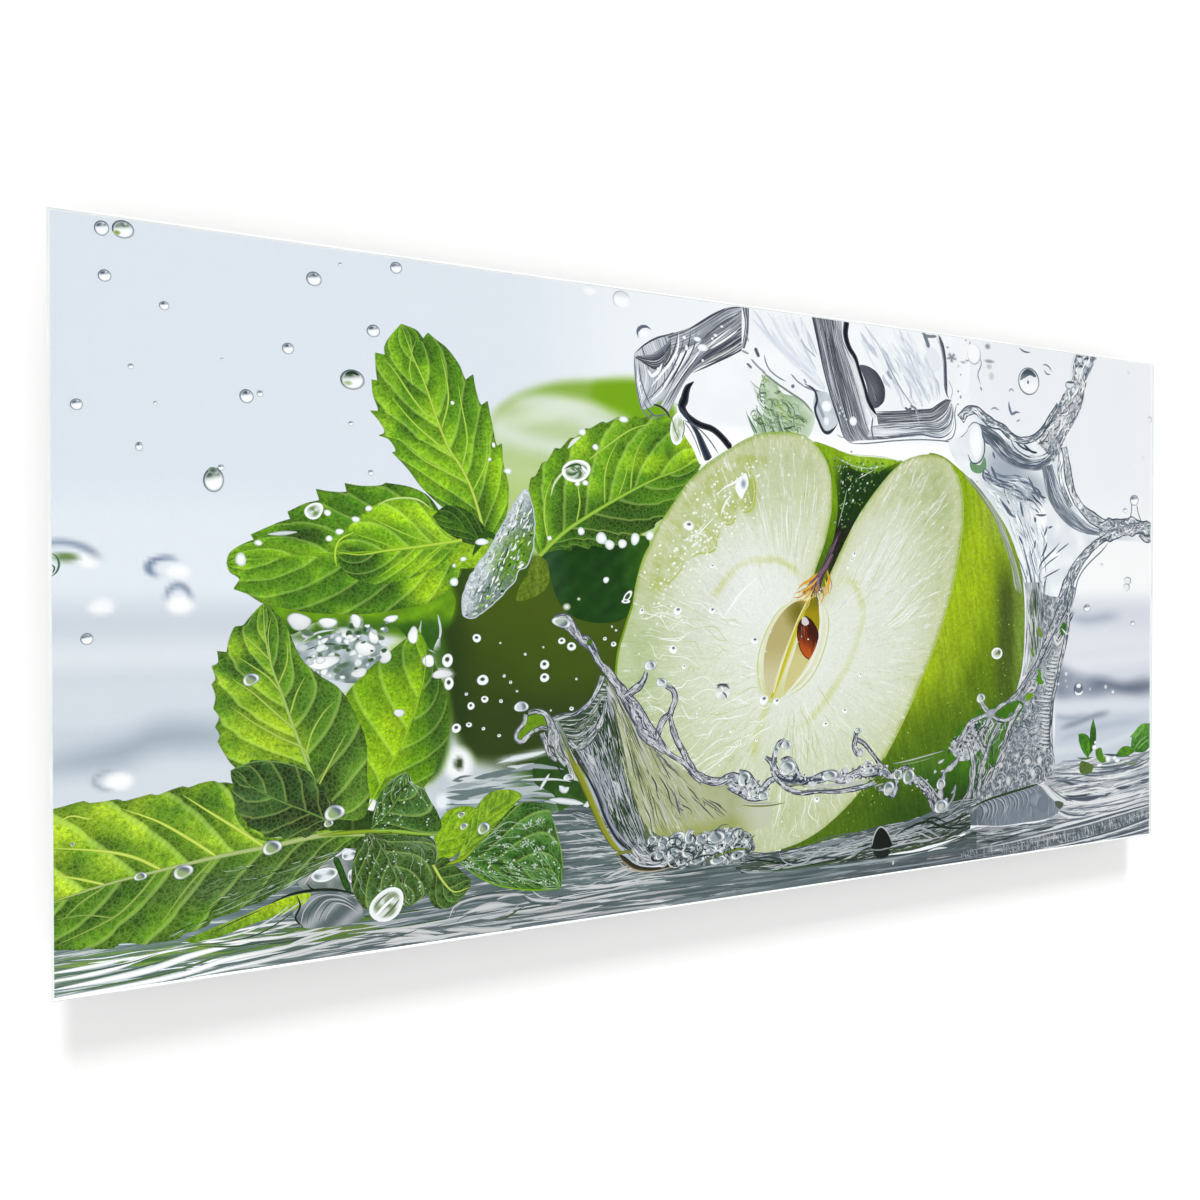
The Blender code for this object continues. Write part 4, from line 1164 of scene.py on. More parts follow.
# small dark streaks in the white
sheet("print_ice", [[(500, 0), (503, 14), (502, 24), (500, 36)], [(507, 0), (507, 14), (506, 26), (503, 36)]], 10.9, (96, 102, 116), amp=1.4, nv=8, nu=24)
for line, w, tone in (
    ([(513, 34), (515, 38), (517, 42)], 3.4, (84, 92, 104)), ([(522, 39), (524, 46), (528, 52), (536, 57), (544, 60)], 1.4, (120, 128, 140)), ([(509, 44), (516, 50), (524, 55)], 2.0, (150, 158, 168)), ([(505, 48), (510, 52)], 2.4, (110, 118, 128)),
    ([(520, 54), (534, 62), (550, 70), (562, 76), (572, 85)], 2.0, (120, 134, 122)), ([(549, 53), (556, 59), (562, 62)], 1.6, (140, 146, 156)), ([(550, 62), (552, 65)], 3.6, (104, 112, 124)), ([(562, 56), (565, 60)], 2.0, (140, 148, 158)),
    ([(500, 38), (507, 40)], 2.0, (150, 156, 166)), ([(562, 60), (572, 64), (576, 72), (574, 82), (578, 92), (583, 100), (588, 101), (594, 97), (598, 92)], [(0, 1.5), (0.3, 2.6), (0.6, 2.6), (0.8, 3.4), (1, 1.2)], (40, 50, 62)),
    ([(560, 62), (578, 66), (588, 68), (592, 74), (594, 84)], 2.4, (132, 142, 156)), ([(574, 66), (577, 76), (584, 90)], 3.4, (150, 160, 172)), ([(597, 102), (602, 104), (608, 104)], 1.0, (160, 168, 176)),
):
    outline(line, w, 11.0, tone)
blob("print_flat", [(576, 66), (590, 68), (596, 80), (598, 92), (590, 100), (583, 99), (576, 88), (572, 78)], 10.9, lambda x, y: mix((176, 184, 196), (222, 227, 234), 0.5 + 0.5 * clouds(x, y, 6, 3)), 2.5)
disc("print_marks", 586, 78, 5.5, 5.0, 11.2, lambda R, A: mix((254, 255, 255), (226, 231, 238), R**4), rings=3, n=20)
disc("print_marks", 586, 91, 3.5, 4.5, 11.2, lambda R, A: mix((246, 250, 252), (200, 208, 216), R**3), rings=3, n=16)
# pale green reflection on the ice
blob("print_flat", [(524, 56), (534, 62), (540, 70), (552, 72), (566, 78), (574, 88), (572, 98), (566, 107), (550, 104), (530, 106), (512, 109), (516, 98), (522, 88), (522, 76), (518, 66)], 10.4,
     lambda x, y: mix(mix((214, 226, 208), (150, 178, 136), 0.5 + 0.6 * clouds(x, y, 9, 5)), (244, 247, 246), smoothstep(555, 578, x) * 0.5), 2.5)
tuft = loft([[(520, 56), (534, 66), (552, 78), (570, 86)], [(516, 74), (530, 84), (548, 94), (562, 100)], [(508, 92), (520, 100), (538, 106), (552, 108)]], 40, 24)
streaks("print_marks", tuft, 10.7, 110, [(84, 116, 84), (120, 146, 112), (150, 172, 130), (104, 134, 84), (186, 202, 180), (64, 90, 70), (150, 176, 104)], 47, length=(0.08, 0.3), width=(0.6, 2.2), drift=0.12)
for k in range(16):
    a = 504 + 2.3 * k
    strip("print_marks", [(a, 88 + 4 * math.sin(k * 1.7)), (a + 4, 97 + 2 * math.sin(k)), (a + 9, 107)], 1.5, 10.8, ((126, 152, 126), (84, 116, 92), (186, 204, 186), (160, 182, 150))[k % 4], taper=(0.6, 0.1))
for k in range(10):
    a, b = 508 + 1.5 * k, 62 + 3.4 * k
    strip("print_marks", [(a, b), (a + 6, b + 5), (a + 13, b + 8)], 1.3, 10.8, ((150, 176, 150), (206, 218, 206), (120, 150, 110))[k % 3], taper=(0.6, 0.2))
# the thick bar
BAR = sheet("print_ice", [[(571, 1.5), (576, 20), (583, 46), (591, 70), (599, 90), (605, 104), (612, 108)], [(585, 1.5), (590, 24), (598, 50), (606, 74), (613, 94), (620, 106)], [(600, 1.5), (603, 20), (608, 33), (617, 55), (625, 78), (632, 96), (640, 104)]], 12,
            ((0, (74, 80, 96)), (0.12, (120, 125, 138)), (0.3, (104, 107, 118)), (0.6, (96, 98, 110)), (0.85, (120, 122, 134)), (1, (170, 174, 184))), amp=1.25, nu=90, nv=26, along=[(0, 0, (0, 0, 0)), (0.7, 0.0, (170, 176, 186)), (0.9, 0.35, (170, 176, 186)), (1, 0.6, (190, 196, 204))])
streaks("print_marks", BAR, 12.5, 90, [(64, 66, 78), (150, 153, 163), (196, 200, 208), (52, 54, 66), (120, 122, 132)], 12, length=(0.12, 0.55), width=(0.35, 1.1), drift=0.02)
outline([(571, 1.5), (576, 20), (583, 46), (591, 70), (599, 90), (605, 104), (612, 108)], 1.5, 12.7, (44, 50, 66), taper=(0, 0.2))
sheet("print_ice", [[(600, 1.5), (603, 20), (608, 33), (617, 55), (625, 78), (630, 92)], [(604, 1.5), (605, 16), (613, 30), (622, 46), (630, 66), (640, 84)]], 12.2, ((0, (214, 219, 227)), (0.5, (240, 243, 247)), (1, (200, 206, 216))), amp=0.7, nv=8)
outline([(607, 1.5), (606, 13), (610, 24), (616.5, 32), (621, 43), (627, 58), (631, 69), (638, 79), (641, 82)], [(0, 6), (0.25, 5), (0.45, 3.6), (0.7, 3.4), (0.9, 4.5), (1, 3)], 12.8, (16, 20, 32), taper=(0, 0.1))
outline([(601, 1.5), (602, 16), (608, 28), (614, 38)], 1.0, 12.8, (120, 126, 140), taper=(0, 0.3))
disc("print_marks", 614.5, 89, 4.0, 4.2, 12.9, lambda R, A: mix((255, 255, 255), (220, 226, 234), R**4), rings=3, n=18)
for x, y in ((603, 81), (605, 85), (601, 78), (607, 88), (600, 83)):
    disc("print_marks", x, y, 1.2, 1.4, 12.9, lambda R, A: mix((240, 243, 246), (180, 186, 196), R), rings=2, n=9)
blob("print_flat", [(621.5, 38.5), (628, 38), (636, 40.5), (643, 46), (648, 55), (649.5, 63), (646, 71), (639, 75.5), (634, 73), (631, 64), (628, 53), (624, 45)], 12.4,
     lambda x, y: mix(mix((84, 86, 98), (58, 60, 72), smoothstep(630, 646, x)), (120, 124, 136), puff(x, y, 637, 62, 7, 12, 0.9) * 0.55), 2.0)
outline([(630, 39), (638, 42), (645, 49), (649, 58), (648, 68), (642, 74.5)], 1.1, 12.6, (36, 38, 50))
for k in range(14):
    a = 0.06 * k
    strip("print_marks", [(627 + 12 * a, 44 + 3 * k * 0.4), (634 + 10 * a, 56 + k), (640 - 4 * a, 70)], 0.8, 12.5, ((104, 106, 118), (50, 52, 64), (136, 140, 150))[k % 3], taper=(0.4, 0.4))
# the lower bar
LOW = sheet("print_ice", [[(640, 80), (665, 77), (690, 73.5), (703, 71.5), (713, 65), (721, 60.5), (727, 61)], [(642, 90), (668, 87), (692, 84), (706, 82), (716, 76), (722, 70), (725, 64)]], 12.3,
            ((0, (64, 66, 78)), (0.5, (98, 100, 110)), (1, (74, 76, 88))), amp=1.1, nv=14)
streaks("print_marks", LOW, 12.7, 60, [(50, 52, 62), (140, 143, 152), (176, 180, 188)], 13, length=(0.15, 0.6), width=(0.35, 1.0), drift=0.03)
LOW2 = sheet("print_ice", [[(634, 92), (668, 87), (692, 84), (708, 82), (720, 74), (727, 63)], [(630, 103), (662, 101), (698, 97), (716, 97), (728, 89), (730, 68)]], 12.1,
             ((0, (150, 155, 166)), (0.25, (220, 225, 232)), (0.6, (196, 203, 213)), (1, (238, 241, 246))), amp=1.2, nv=14)
streaks("print_marks", LOW2, 12.6, 70, [(110, 118, 132), (250, 252, 253), (160, 168, 180), (84, 92, 106)], 14, length=(0.15, 0.6), width=(0.35, 1.0), drift=0.03)
for line, w, tone in (
    ([(606, 106), (612, 108.5), (622, 108.5), (636, 107), (660, 103.5), (690, 100.5), (715, 99.8), (724, 100), (735, 97), (745, 90), (749, 82)], 1.3, (104, 112, 126)), ([(630, 104), (650, 102), (680, 97), (692, 95.5), (706, 97), (718, 96), (727, 90)], 1.5, (84, 92, 106)),
    ([(691, 92), (696, 90.5), (708, 90), (722, 86), (728, 78), (729, 68)], 1.3, (92, 100, 114)), ([(636, 84), (635, 95), (637, 105)], 1.6, (90, 96, 110)), ([(684, 73), (687, 80), (690, 88)], 1.0, (176, 182, 190)), ([(637, 79), (660, 77), (690, 73), (703, 71), (713, 65), (722, 59.5)], 1.2, (44, 48, 60)),
    ([(733, 64), (731, 74), (732, 86), (728, 96), (718, 100)], 1.3, (110, 118, 132)),
):
    outline(line, w, 13.0, tone)
# inside the right block: faint strokes, cracks and the far edge
block = loft([[(612, 2), (628, 24), (646, 50), (660, 74)], [(650, 2), (668, 26), (686, 50), (696, 68)], [(690, 2), (700, 20), (709, 40), (714, 58)]], 40, 30)
streaks("print_marks", block, 11.0, 90, [(226, 231, 239), (214, 220, 230), (238, 241, 246), (196, 204, 216)], 15, length=(0.15, 0.5), width=(0.8, 4.0), drift=0.04)
left_block = loft([[(508, 2), (530, 26), (560, 50), (585, 66)], [(560, 2), (568, 22), (576, 40), (584, 58)]], 40, 20)
streaks("print_marks", left_block, 10.3, 46, [(232, 236, 243), (222, 227, 236), (208, 215, 226)], 16, length=(0.2, 0.6), width=(0.7, 4.0), drift=0.04)
strip("print_flat", [(510, 10), (528, 24), (548, 38), (570, 50), (578, 56)], 7, 10.35, (216, 222, 233), side=(240, 243, 248), taper=(0.4, 0.3))
for line, w, tone in (
    ([(647, 26), (656, 40), (668, 56), (680, 69), (686, 76)], 1.0, (128, 134, 148)), ([(652, 40), (654, 44), (657, 48)], 2.6, (150, 158, 168)), ([(672, 72), (676, 74), (680, 72)], 2.6, (88, 94, 106)), ([(678, 70), (684, 72), (688, 77)], 2.4, (120, 126, 138)),
    ([(711, 1.5), (716, 12), (719, 26), (719.5, 42), (721, 55), (724, 60)], [(0, 4.4), (0.4, 3.6), (0.75, 4.4), (1, 2)], (84, 90, 104)), ([(713, 2), (718, 16), (720, 34), (721, 50)], 1.3, (46, 52, 66)), ([(708, 1.5), (714, 14), (717, 30), (718, 48)], 0.9, (170, 178, 190)),
    ([(691, 1.5), (698, 4), (709, 3)], 3.0, (120, 128, 140)), ([(694, 2), (697, 8), (700, 15)], 4.4, (110, 118, 132)), ([(504, 22), (507, 30)], 1.2, (150, 158, 168)), ([(566, 14), (571, 24), (576, 34)], 1.2, (190, 197, 208)), ([(558, 22), (566, 30), (575, 36)], 1.6, (176, 184, 196)), ([(725, 62), (728, 52), (723, 42)], 1.0, (170, 178, 190)),
):
    outline(line, w, 13.1, tone)
blob("print_flat", [(698, 16), (706, 14), (714, 26), (713, 34), (706, 36), (700, 30)], 10.9, (232, 236, 243), 3)
blob("print_flat", [(700, 46), (708, 50), (714, 58), (708, 64), (702, 60)], 10.9, (238, 241, 246), 3)
# flecks between the ice and the splash
for x, y, a, b, tone in ((727, 21, 6.5, 5, 120), (735, 28, 1.2, 2, 170), (738, 36, 1.3, 1.3, 150), (735, 52, 1.4, 1.4, 90), (738, 57, 1.6, 2, 110), (741, 24, 4, 1.4, 140), (746, 22, 3, 1.2, 130), (744, 3, 1.2, 1.2, 120), (749, 5, 1, 1.6, 110), (722, 12, 2, 1.2, 130), (735, 64, 1.6, 1, 110), (748, 66, 1.4, 1, 90)):
    disc("print_marks", x, y, a, b, 13.0, lambda R, A, tone=tone: mix((tone, tone + 8, tone + 18), (238, 241, 246), smoothstep(0.2, 1.0, R + 0.35 * np.sin(A * 5))), rings=4, n=18)

# ---------------------------------------------------------------- the splash at the right: upper part
blob("print_flat", [(724, 100), (745, 92), (752, 68), (762, 67), (775, 76), (790, 80), (800, 88), (820, 92), (836, 88), (850, 74), (866, 50), (878, 30), (886, 1), (918, 1), (910, 16), (901, 45), (890, 66), (880, 82), (876, 96), (880, 125), (888, 146), (905, 160), (925, 170), (960, 164), (998, 170), (998, 186), (955, 188), (928, 190), (908, 206), (892, 226), (884, 244), (880, 262), (872, 300), (862, 336), (858, 400), (830, 400), (826, 260), (806, 190), (770, 150), (735, 122)],
     13.2, lambda x, y: mix(mix((247, 249, 251), (206, 214, 224), np.clip(0.35 + 0.6 * clouds(x, y, 16, 9), 0, 1)), (150, 162, 176), puff(x, y, 800, 130, 34, 22, 0.6, 0.5) * 0.8 + puff(x, y, 836, 140, 16, 12, 0.5) * 0.4), 4.0)
sheet("print_water", [[(760, 80), (776, 84), (790, 92), (800, 102), (815, 108), (832, 111), (848, 107), (860, 96), (870, 82), (880, 68)], [(766, 92), (778, 104), (792, 114), (808, 120), (826, 122), (842, 120), (856, 110), (866, 96), (876, 80)]], 13.6,
      ((0, (112, 124, 140)), (0.4, (92, 104, 122)), (0.8, (128, 140, 156)), (1, (176, 185, 198))), amp=0.9, nv=16)
sheet("print_water", [[(764, 96), (776, 110), (784, 124), (800, 132), (820, 136), (836, 144), (846, 152)], [(766, 110), (774, 124), (790, 136), (806, 146), (820, 152), (832, 158)]], 13.5, ((0, (104, 116, 132)), (0.6, (132, 144, 158)), (1, (206, 213, 222))), amp=1.4, nv=14)
sheet("print_water", [[(842, 118), (846, 134), (852, 150), (864, 164), (882, 176), (902, 182), (924, 184)], [(856, 114), (862, 130), (870, 146), (882, 158), (896, 168), (912, 175), (930, 178)]], 13.6, ((0, (158, 168, 182)), (0.3, (112, 124, 142)), (0.7, (122, 134, 152)), (1, (160, 170, 184))), amp=0.9, nv=14)
ARM = sheet("print_foam", [[(888, 1.5), (884, 14), (882, 28), (872, 42), (862, 56), (852, 68), (840, 80), (828, 90)], [(902, 1.5), (895, 20), (890, 40), (880, 56), (868, 72), (856, 88), (842, 98)], [(918, 1.5), (908, 16), (901, 36), (896, 54), (886, 70), (876, 84), (866, 100), (858, 112)]], 13.9,
            ((0, (130, 142, 156)), (0.3, (236, 240, 244)), (0.6, (214, 220, 228)), (0.85, (150, 160, 173)), (1, (200, 208, 217))), amp=1.6, nu=80, nv=18)
streaks("print_marks", ARM, 14.2, 130, [(60, 74, 88), (90, 104, 120), (250, 252, 253), (250, 252, 253), (140, 152, 166)], 41, length=(0.04, 0.16), width=(0.4, 1.7), drift=0.12)
for x, y, a, b in ((893, 17, 6, 6), (884, 37, 5, 4), (904, 8, 7, 5), (880, 33, 7, 4), (893, 6, 4, 4)):
    disc("print_drops", x, y, a, b, 14.3, lambda R, A: mix(mix((226, 232, 238), (60, 74, 90), smoothstep(0.55, 0.95, np.sin(A) * R + 0.3)), (48, 62, 78), smoothstep(0.74, 0.95, R) * (0.55 + 0.45 * np.sin(A * 2))), rings=5, n=24, wobble=0.08, seed=x)
rope([(738, 78), (746, 70), (757, 68), (766, 73), (777, 79), (790, 82), (800, 89), (815, 93), (830, 90), (842, 82), (854, 67), (864, 54)], [(0, 9), (0.3, 8), (0.6, 6), (1, 4)], 14.0, seed=4, tone=(150, 162, 176), edge=1.3)
rope([(872, 96), (876, 112), (879, 128), (886, 144), (898, 157), (915, 167), (932, 174)], [(0, 8), (0.5, 9), (1, 12)], 14.0, seed=5, tone=(186, 195, 205), edge=1.3)
rope([(864, 92), (868, 108), (866, 122), (872, 140), (882, 156)], 5, 13.9, seed=6, tone=(206, 213, 221), edge=1.0)
rope([(922, 178), (940, 177), (958, 174), (975, 173), (998, 175)], [(0, 17), (0.2, 22), (0.4, 17), (0.6, 19), (0.8, 14), (1, 14)], 14.1, seed=7, tone=(158, 169, 181), edge=1.3, dots=1.4)
rope([(982, 180), (990, 186), (998, 185)], 6, 14.1, seed=8, tone=(176, 186, 196))
rope([(935, 184), (918, 192), (903, 203), (892, 214), (882, 228), (875, 242), (870, 258)], [(0, 6), (0.4, 9), (0.8, 14), (1, 18)], 14.0, seed=9, tone=(150, 162, 176), edge=1.2, dots=1.3)
outline([(936, 190), (925, 200), (912, 209), (900, 219), (892, 230), (888, 244), (884, 256)], 1.6, 14.4, (96, 110, 126))
outline([(750, 132), (764, 146), (778, 160), (792, 178), (804, 198), (814, 218), (822, 240)], 1.4, 14.4, (150, 166, 150))
for line, w in (([(969, 148), (969, 158), (966, 166)], 1.3), ([(977, 150), (979, 158), (984, 168)], 1.3)):
    outline(line, w, 14.4, (84, 98, 114))
# holes and glints
for x, y, a, b in ((757, 98, 9, 18), (873, 106, 7, 10), (868, 128, 5, 8), (842, 168, 9, 12), (860, 205, 9, 6), (845, 186, 5, 8)):
    disc("print_flat", x, y, a, b, 13.75, lambda R, A: mix((253, 254, 255), (228, 234, 240), R**5), rings=4, n=24, wobble=0.06, seed=y)
outline([(766, 92), (768, 102), (766, 112), (760, 118), (752, 118), (747, 110)], 1.6, 14.2, (60, 84, 84))
outline([(747, 86), (754, 80), (762, 82), (766, 92)], 1.2, 14.2, (110, 122, 136))
blob("print_flat", [(750, 118), (762, 120), (768, 112), (770, 122), (762, 128), (752, 126)], 13.9, (110, 150, 110), 2)
for line, w in (([(776, 120), (780, 127), (784, 133)], 3.6), ([(768, 122), (766, 130), (770, 136)], 2.2), ([(772, 124), (776, 132), (782, 136)], 1.8), ([(764, 88), (768, 96), (774, 100)], 2.4), ([(778, 106), (781, 113)], 2.6), ([(786, 150), (794, 158), (802, 166), (809, 169)], [(0, 1.5), (0.6, 4.5), (1, 2)]), ([(814, 153), (816, 162), (818, 168)], 3.0), ([(797, 152), (800, 156)], 1.6),
                ([(834, 165), (842, 165.5), (849, 164.5)], 2.4), ([(833, 167), (834, 173)], 3.2), ([(834, 190), (833, 199)], 2.4), ([(850, 192), (846, 201), (842, 207)], 2.6), ([(868, 191), (858, 200), (850, 206), (842, 213), (838, 222)], [(0, 1), (0.3, 2), (0.8, 2.4), (1, 2)]), ([(880, 192), (870, 198), (862, 203)], 1.6), ([(866, 205), (854, 211), (843, 219)], 1.4), ([(868, 218), (856, 223), (844, 228)], 1.6),
                ([(816, 192), (821, 206), (826, 220), (830, 236), (832, 250)], [(0, 1), (0.4, 2.2), (0.8, 3), (1, 2)]), ([(826, 196), (830, 210), (836, 226)], 1.4), ([(806, 200), (816, 216), (824, 234), (830, 250)], 1.2), ([(812, 186), (818, 196)], 2.6), ([(850, 176), (846, 186)], 2.2), ([(857, 176), (851, 178)], 2.2), ([(838, 232), (842, 244), (840, 250)], 2.6), ([(850, 225), (846, 236), (846, 248)], 1.6), ([(848, 148), (842, 147), (836, 142)], 3.0), ([(824, 128), (832, 140), (840, 150)], 3.4)):
    outline(line, w, 14.5, (84, 98, 116), taper=(0.3, 0.3))
inner = loft([[(768, 140), (788, 160), (806, 186), (818, 212), (826, 240)], [(800, 136), (814, 160), (826, 186), (834, 214), (838, 244)], [(840, 150), (846, 176), (848, 200), (850, 222), (850, 246)]], 50, 24)
streaks("print_marks", inner, 14.1, 170, [(176, 186, 198), (206, 213, 222), (130, 143, 158), (252, 253, 254), (252, 253, 254)], 43, length=(0.06, 0.28), width=(0.5, 2.0), drift=0.05)
streaks("print_marks", loft([[(768, 120), (790, 128), (812, 128), (836, 138), (848, 152)], [(764, 134), (786, 142), (808, 150), (824, 156), (838, 164)]], 50, 14), 14.15, 90, [(84, 98, 116), (112, 124, 140), (176, 186, 198), (130, 142, 156), (240, 243, 247), (60, 74, 92)], 45, length=(0.06, 0.3), width=(0.6, 2.2), drift=0.06)
streaks("print_marks", loft([[(846, 122), (852, 140), (862, 156), (880, 170), (902, 180), (924, 184)], [(858, 118), (866, 134), (876, 148), (890, 162), (908, 172), (928, 178)]], 50, 12), 14.15, 60, [(96, 108, 126), (176, 186, 198), (206, 213, 222), (120, 132, 148)], 46, length=(0.1, 0.5), width=(0.4, 1.4), drift=0.04)
streaks("print_marks", loft([[(772, 96), (790, 110), (812, 118), (836, 118), (856, 106)], [(800, 92), (812, 102), (830, 107), (846, 104), (860, 92)]], 50, 12), 14.2, 60, [(96, 108, 126), (176, 186, 198), (226, 231, 238), (70, 84, 102)], 44, length=(0.1, 0.5), width=(0.35, 1.1), drift=0.03)
for line, w in (([(806, 93), (814, 99), (826, 103)], 2.0), ([(818, 97), (828, 103), (836, 104)], 2.6), ([(800, 92), (806, 100), (816, 106), (828, 109)], 1.2), ([(836, 96), (846, 90), (852, 82)], 1.2)):
    outline(line, w, 14.6, (40, 54, 70))


# ---------------------------------------------------------------- the print: the apple half

CORE = (552, 282)


def skin_flow(x, y, amp=1.0):
    """Meridians of the apple run from the stem's hollow round to its foot."""
    u = x - 600 - 0.18 * (y - 280)
    return np.stack([y + 0 * x, u, np.full_like(x, amp)], -1)


def skin_tone(x, y):
    edge = 741 - 0.0026 * (y - 150) ** 2 * (y > 150)  # the rim of the cut face
    c = stops(x - edge, (-40, (120, 152, 20)), (0, (132, 166, 14)), (14, (156, 184, 24)), (34, (154, 180, 22)), (60, (138, 166, 22)), (90, (104, 134, 16)))
    band_x = 797 - 0.0006 * (y - 290) ** 2
    c = mix(c, (68, 84, 34), smoothstep(19, 3, np.abs(x - band_x)) * smoothstep(190, 250, y) * 0.85)
    c = mix(c, (116, 142, 60), smoothstep(6, 14, x - band_x) * smoothstep(200, 240, y) * 0.8)
    low = smoothstep(300, 400, y + (x - 720) * 0.18)
    c = mix(c, (74, 106, 18), low * 0.9)
    c = mix(c, (46, 76, 16), smoothstep(400, 450, y) * smoothstep(600, 680, x) * 0.9)
    c = mix(c, (150, 176, 40), puff(x, y, 716, 290, 12, 50, 0.9, -0.35) * 0.5)
    c = mix(c, (150, 168, 120), smoothstep(215, 150, y) * smoothstep(750, 790, x) * 0.6)
    return c * (1 + 0.05 * clouds(x, y, 20, 8))[..., None]


blob("print_skin", [(700, 114), (716, 114), (735, 124), (750, 134), (766, 146), (782, 162), (797, 180), (808, 200), (816, 222), (820, 250), (820.5, 280), (819, 305), (815, 325), (806, 345), (790, 362), (772, 384), (765, 420), (740, 452), (700, 462), (640, 468), (580, 468), (540, 466), (560, 440), (640, 380), (700, 280), (730, 180)],
     16, skin_tone, 3.0, flow=lambda x, y: skin_flow(x, y))
# the hollow round the stem
blob("print_skin", [(572, 111), (590, 113), (604, 117), (620, 119), (645, 119), (662, 121), (670, 122), (668, 140), (640, 170), (615, 205), (590, 232), (572, 240), (560, 232), (580, 180), (588, 140)],
     16.5, lambda x, y: mix(mix((128, 166, 20), (26, 56, 16), smoothstep(8, 26, (x - 583) + 0.12 * (y - 120)) * smoothstep(118, 136, y)), (30, 34, 22), smoothstep(165, 195, y) * smoothstep(583, 596, x)), 2.5,
     flow=lambda x, y: skin_flow(x, y, 0.4))
blob("print_skin", [(574, 112), (581, 116), (590, 128), (596, 145), (598, 165), (596, 185), (590, 205), (582, 222), (574, 232), (572, 222), (583, 200), (590, 175), (591, 150), (587, 130)],
     16.8, lambda x, y: mix((112, 154, 10), (70, 104, 12), smoothstep(150, 225, y)), 2.0, flow=lambda x, y: skin_flow(x, y, 0.2))
blob("print_skin", [(605, 121), (622, 120), (645, 120), (664, 122), (650, 129), (640, 134), (625, 134), (612, 130)], 16.8,
     lambda x, y: mix((150, 188, 40), (96, 146, 16), smoothstep(122, 134, y)), 2.0, flow=lambda x, y: skin_flow(x, y, 0.2))
strip("print_marks", [(606, 118), (625, 119.5), (645, 119.5), (668, 122)], 2.0, 16.9, (226, 234, 214), side=(160, 190, 90), taper=(0.3, 0.3))
rng = np.random.default_rng(7)
for _ in range(170):
    x, y = rng.uniform(585, 660), rng.uniform(116, 200)
    if x > 655 - (y - 118) * 0.72 or x < 586 + (y - 120) * 0.12:
        continue
    w = rng.uniform(0.35, 1.1)
    tone = mix((226, 234, 226), (90, 128, 60), rng.uniform(0, 1) ** 0.6)
    disc("print_marks", x, y, w * rng.uniform(0.9, 2.0), w, 17.4, lambda R, A, tone=tone: mix(tone, (50, 84, 30), R**2), angle=-0.6 + rng.uniform(-0.4, 0.4), rings=2, n=7)
for _ in range(150):
    y = 124 + 96 * rng.uniform() ** 1.3
    x = 597 + (y - 124) * 0.06 + (52 - (y - 124) * 0.5) * rng.uniform()
    if x > 652 - (y - 118) * 0.72:
        continue
    r = rng.uniform(0.3, 0.8)
    tone = ((226, 234, 230), (150, 176, 140), (24, 46, 16), (90, 124, 60))[rng.integers(4)]
    disc("print_marks", x, y, r * rng.uniform(1.4, 3.4), r, 17.5, lambda R, A, tone=tone: np.broadcast_to(rgb(tone), R.shape + (3,)), angle=-1.1 + rng.uniform(-0.5, 0.5), rings=1, n=7)
for line, w, tone in (([(602, 126), (606, 134), (604, 146), (600, 160)], 1.6, (20, 44, 14)), ([(612, 132), (616, 144), (612, 158), (606, 172)], 2.2, (26, 56, 18)), ([(628, 128), (636, 134), (632, 146)], 1.8, (34, 66, 20)), ([(596, 122), (612, 128), (632, 130), (652, 126)], 1.2, (176, 196, 150)), ([(620, 140), (628, 136), (640, 130)], 1.0, (196, 210, 190)), ([(608, 150), (604, 166), (598, 184)], 1.0, (160, 184, 140))):
    strip("print_marks", line, w, 17.3, tone, taper=(0.3, 0.5))

# the cut face
FACE = [(400, 250), (402.5, 237), (405.2, 226), (409.6, 213.5), (415, 204), (419.4, 194.6), (428, 181), (436, 170), (448.5, 153), (457, 144.8), (466, 136.8), (476, 130), (489, 122), (500, 115.3), (514, 109), (532, 105), (550, 104), (565, 106.5), (577, 114), (585, 124), (590, 136), (592, 150), (592, 166), (589, 182), (585, 197), (580, 210), (575, 222), (572, 234), (576, 243), (582, 240), (590, 226), (598, 211), (607, 195), (618, 177), (630, 161), (644, 145), (658, 131), (672, 121), (687, 115.5), (702, 113.5), (715, 115), (725, 120), (733, 129), (738, 140), (740.5, 155), (741, 170), (739, 190), (736, 208), (731, 228), (724, 250), (715, 275), (705, 297), (693, 320), (680, 345), (665, 370), (650, 392), (635, 410), (618, 426), (600, 440), (580, 452), (560, 460), (540, 464), (520, 466), (500, 468), (470, 468), (440, 464), (415, 452), (398, 430), (388, 400), (383, 360), (383, 325), (387, 290), (393, 270)]
face_line = curve(FACE, 1.5, closed=True)
coarse_face = curve(FACE, 7.0, closed=True)


WET = [(519, 126), (526, 131), (515, 136), (508, 139), (514, 149), (513, 162), (509, 173), (502, 174), (498, 170), (495, 176), (492, 183), (487, 185), (482, 184), (480, 190), (477, 197), (475, 206), (470, 209), (462, 209), (454, 213), (446, 220), (439, 228), (432, 235), (425, 242), (418, 243), (415, 234), (415, 226), (418, 213), (422, 200), (429, 189), (440, 175), (452, 161), (463, 151), (475, 139), (487, 131), (498, 127), (509, 125)]


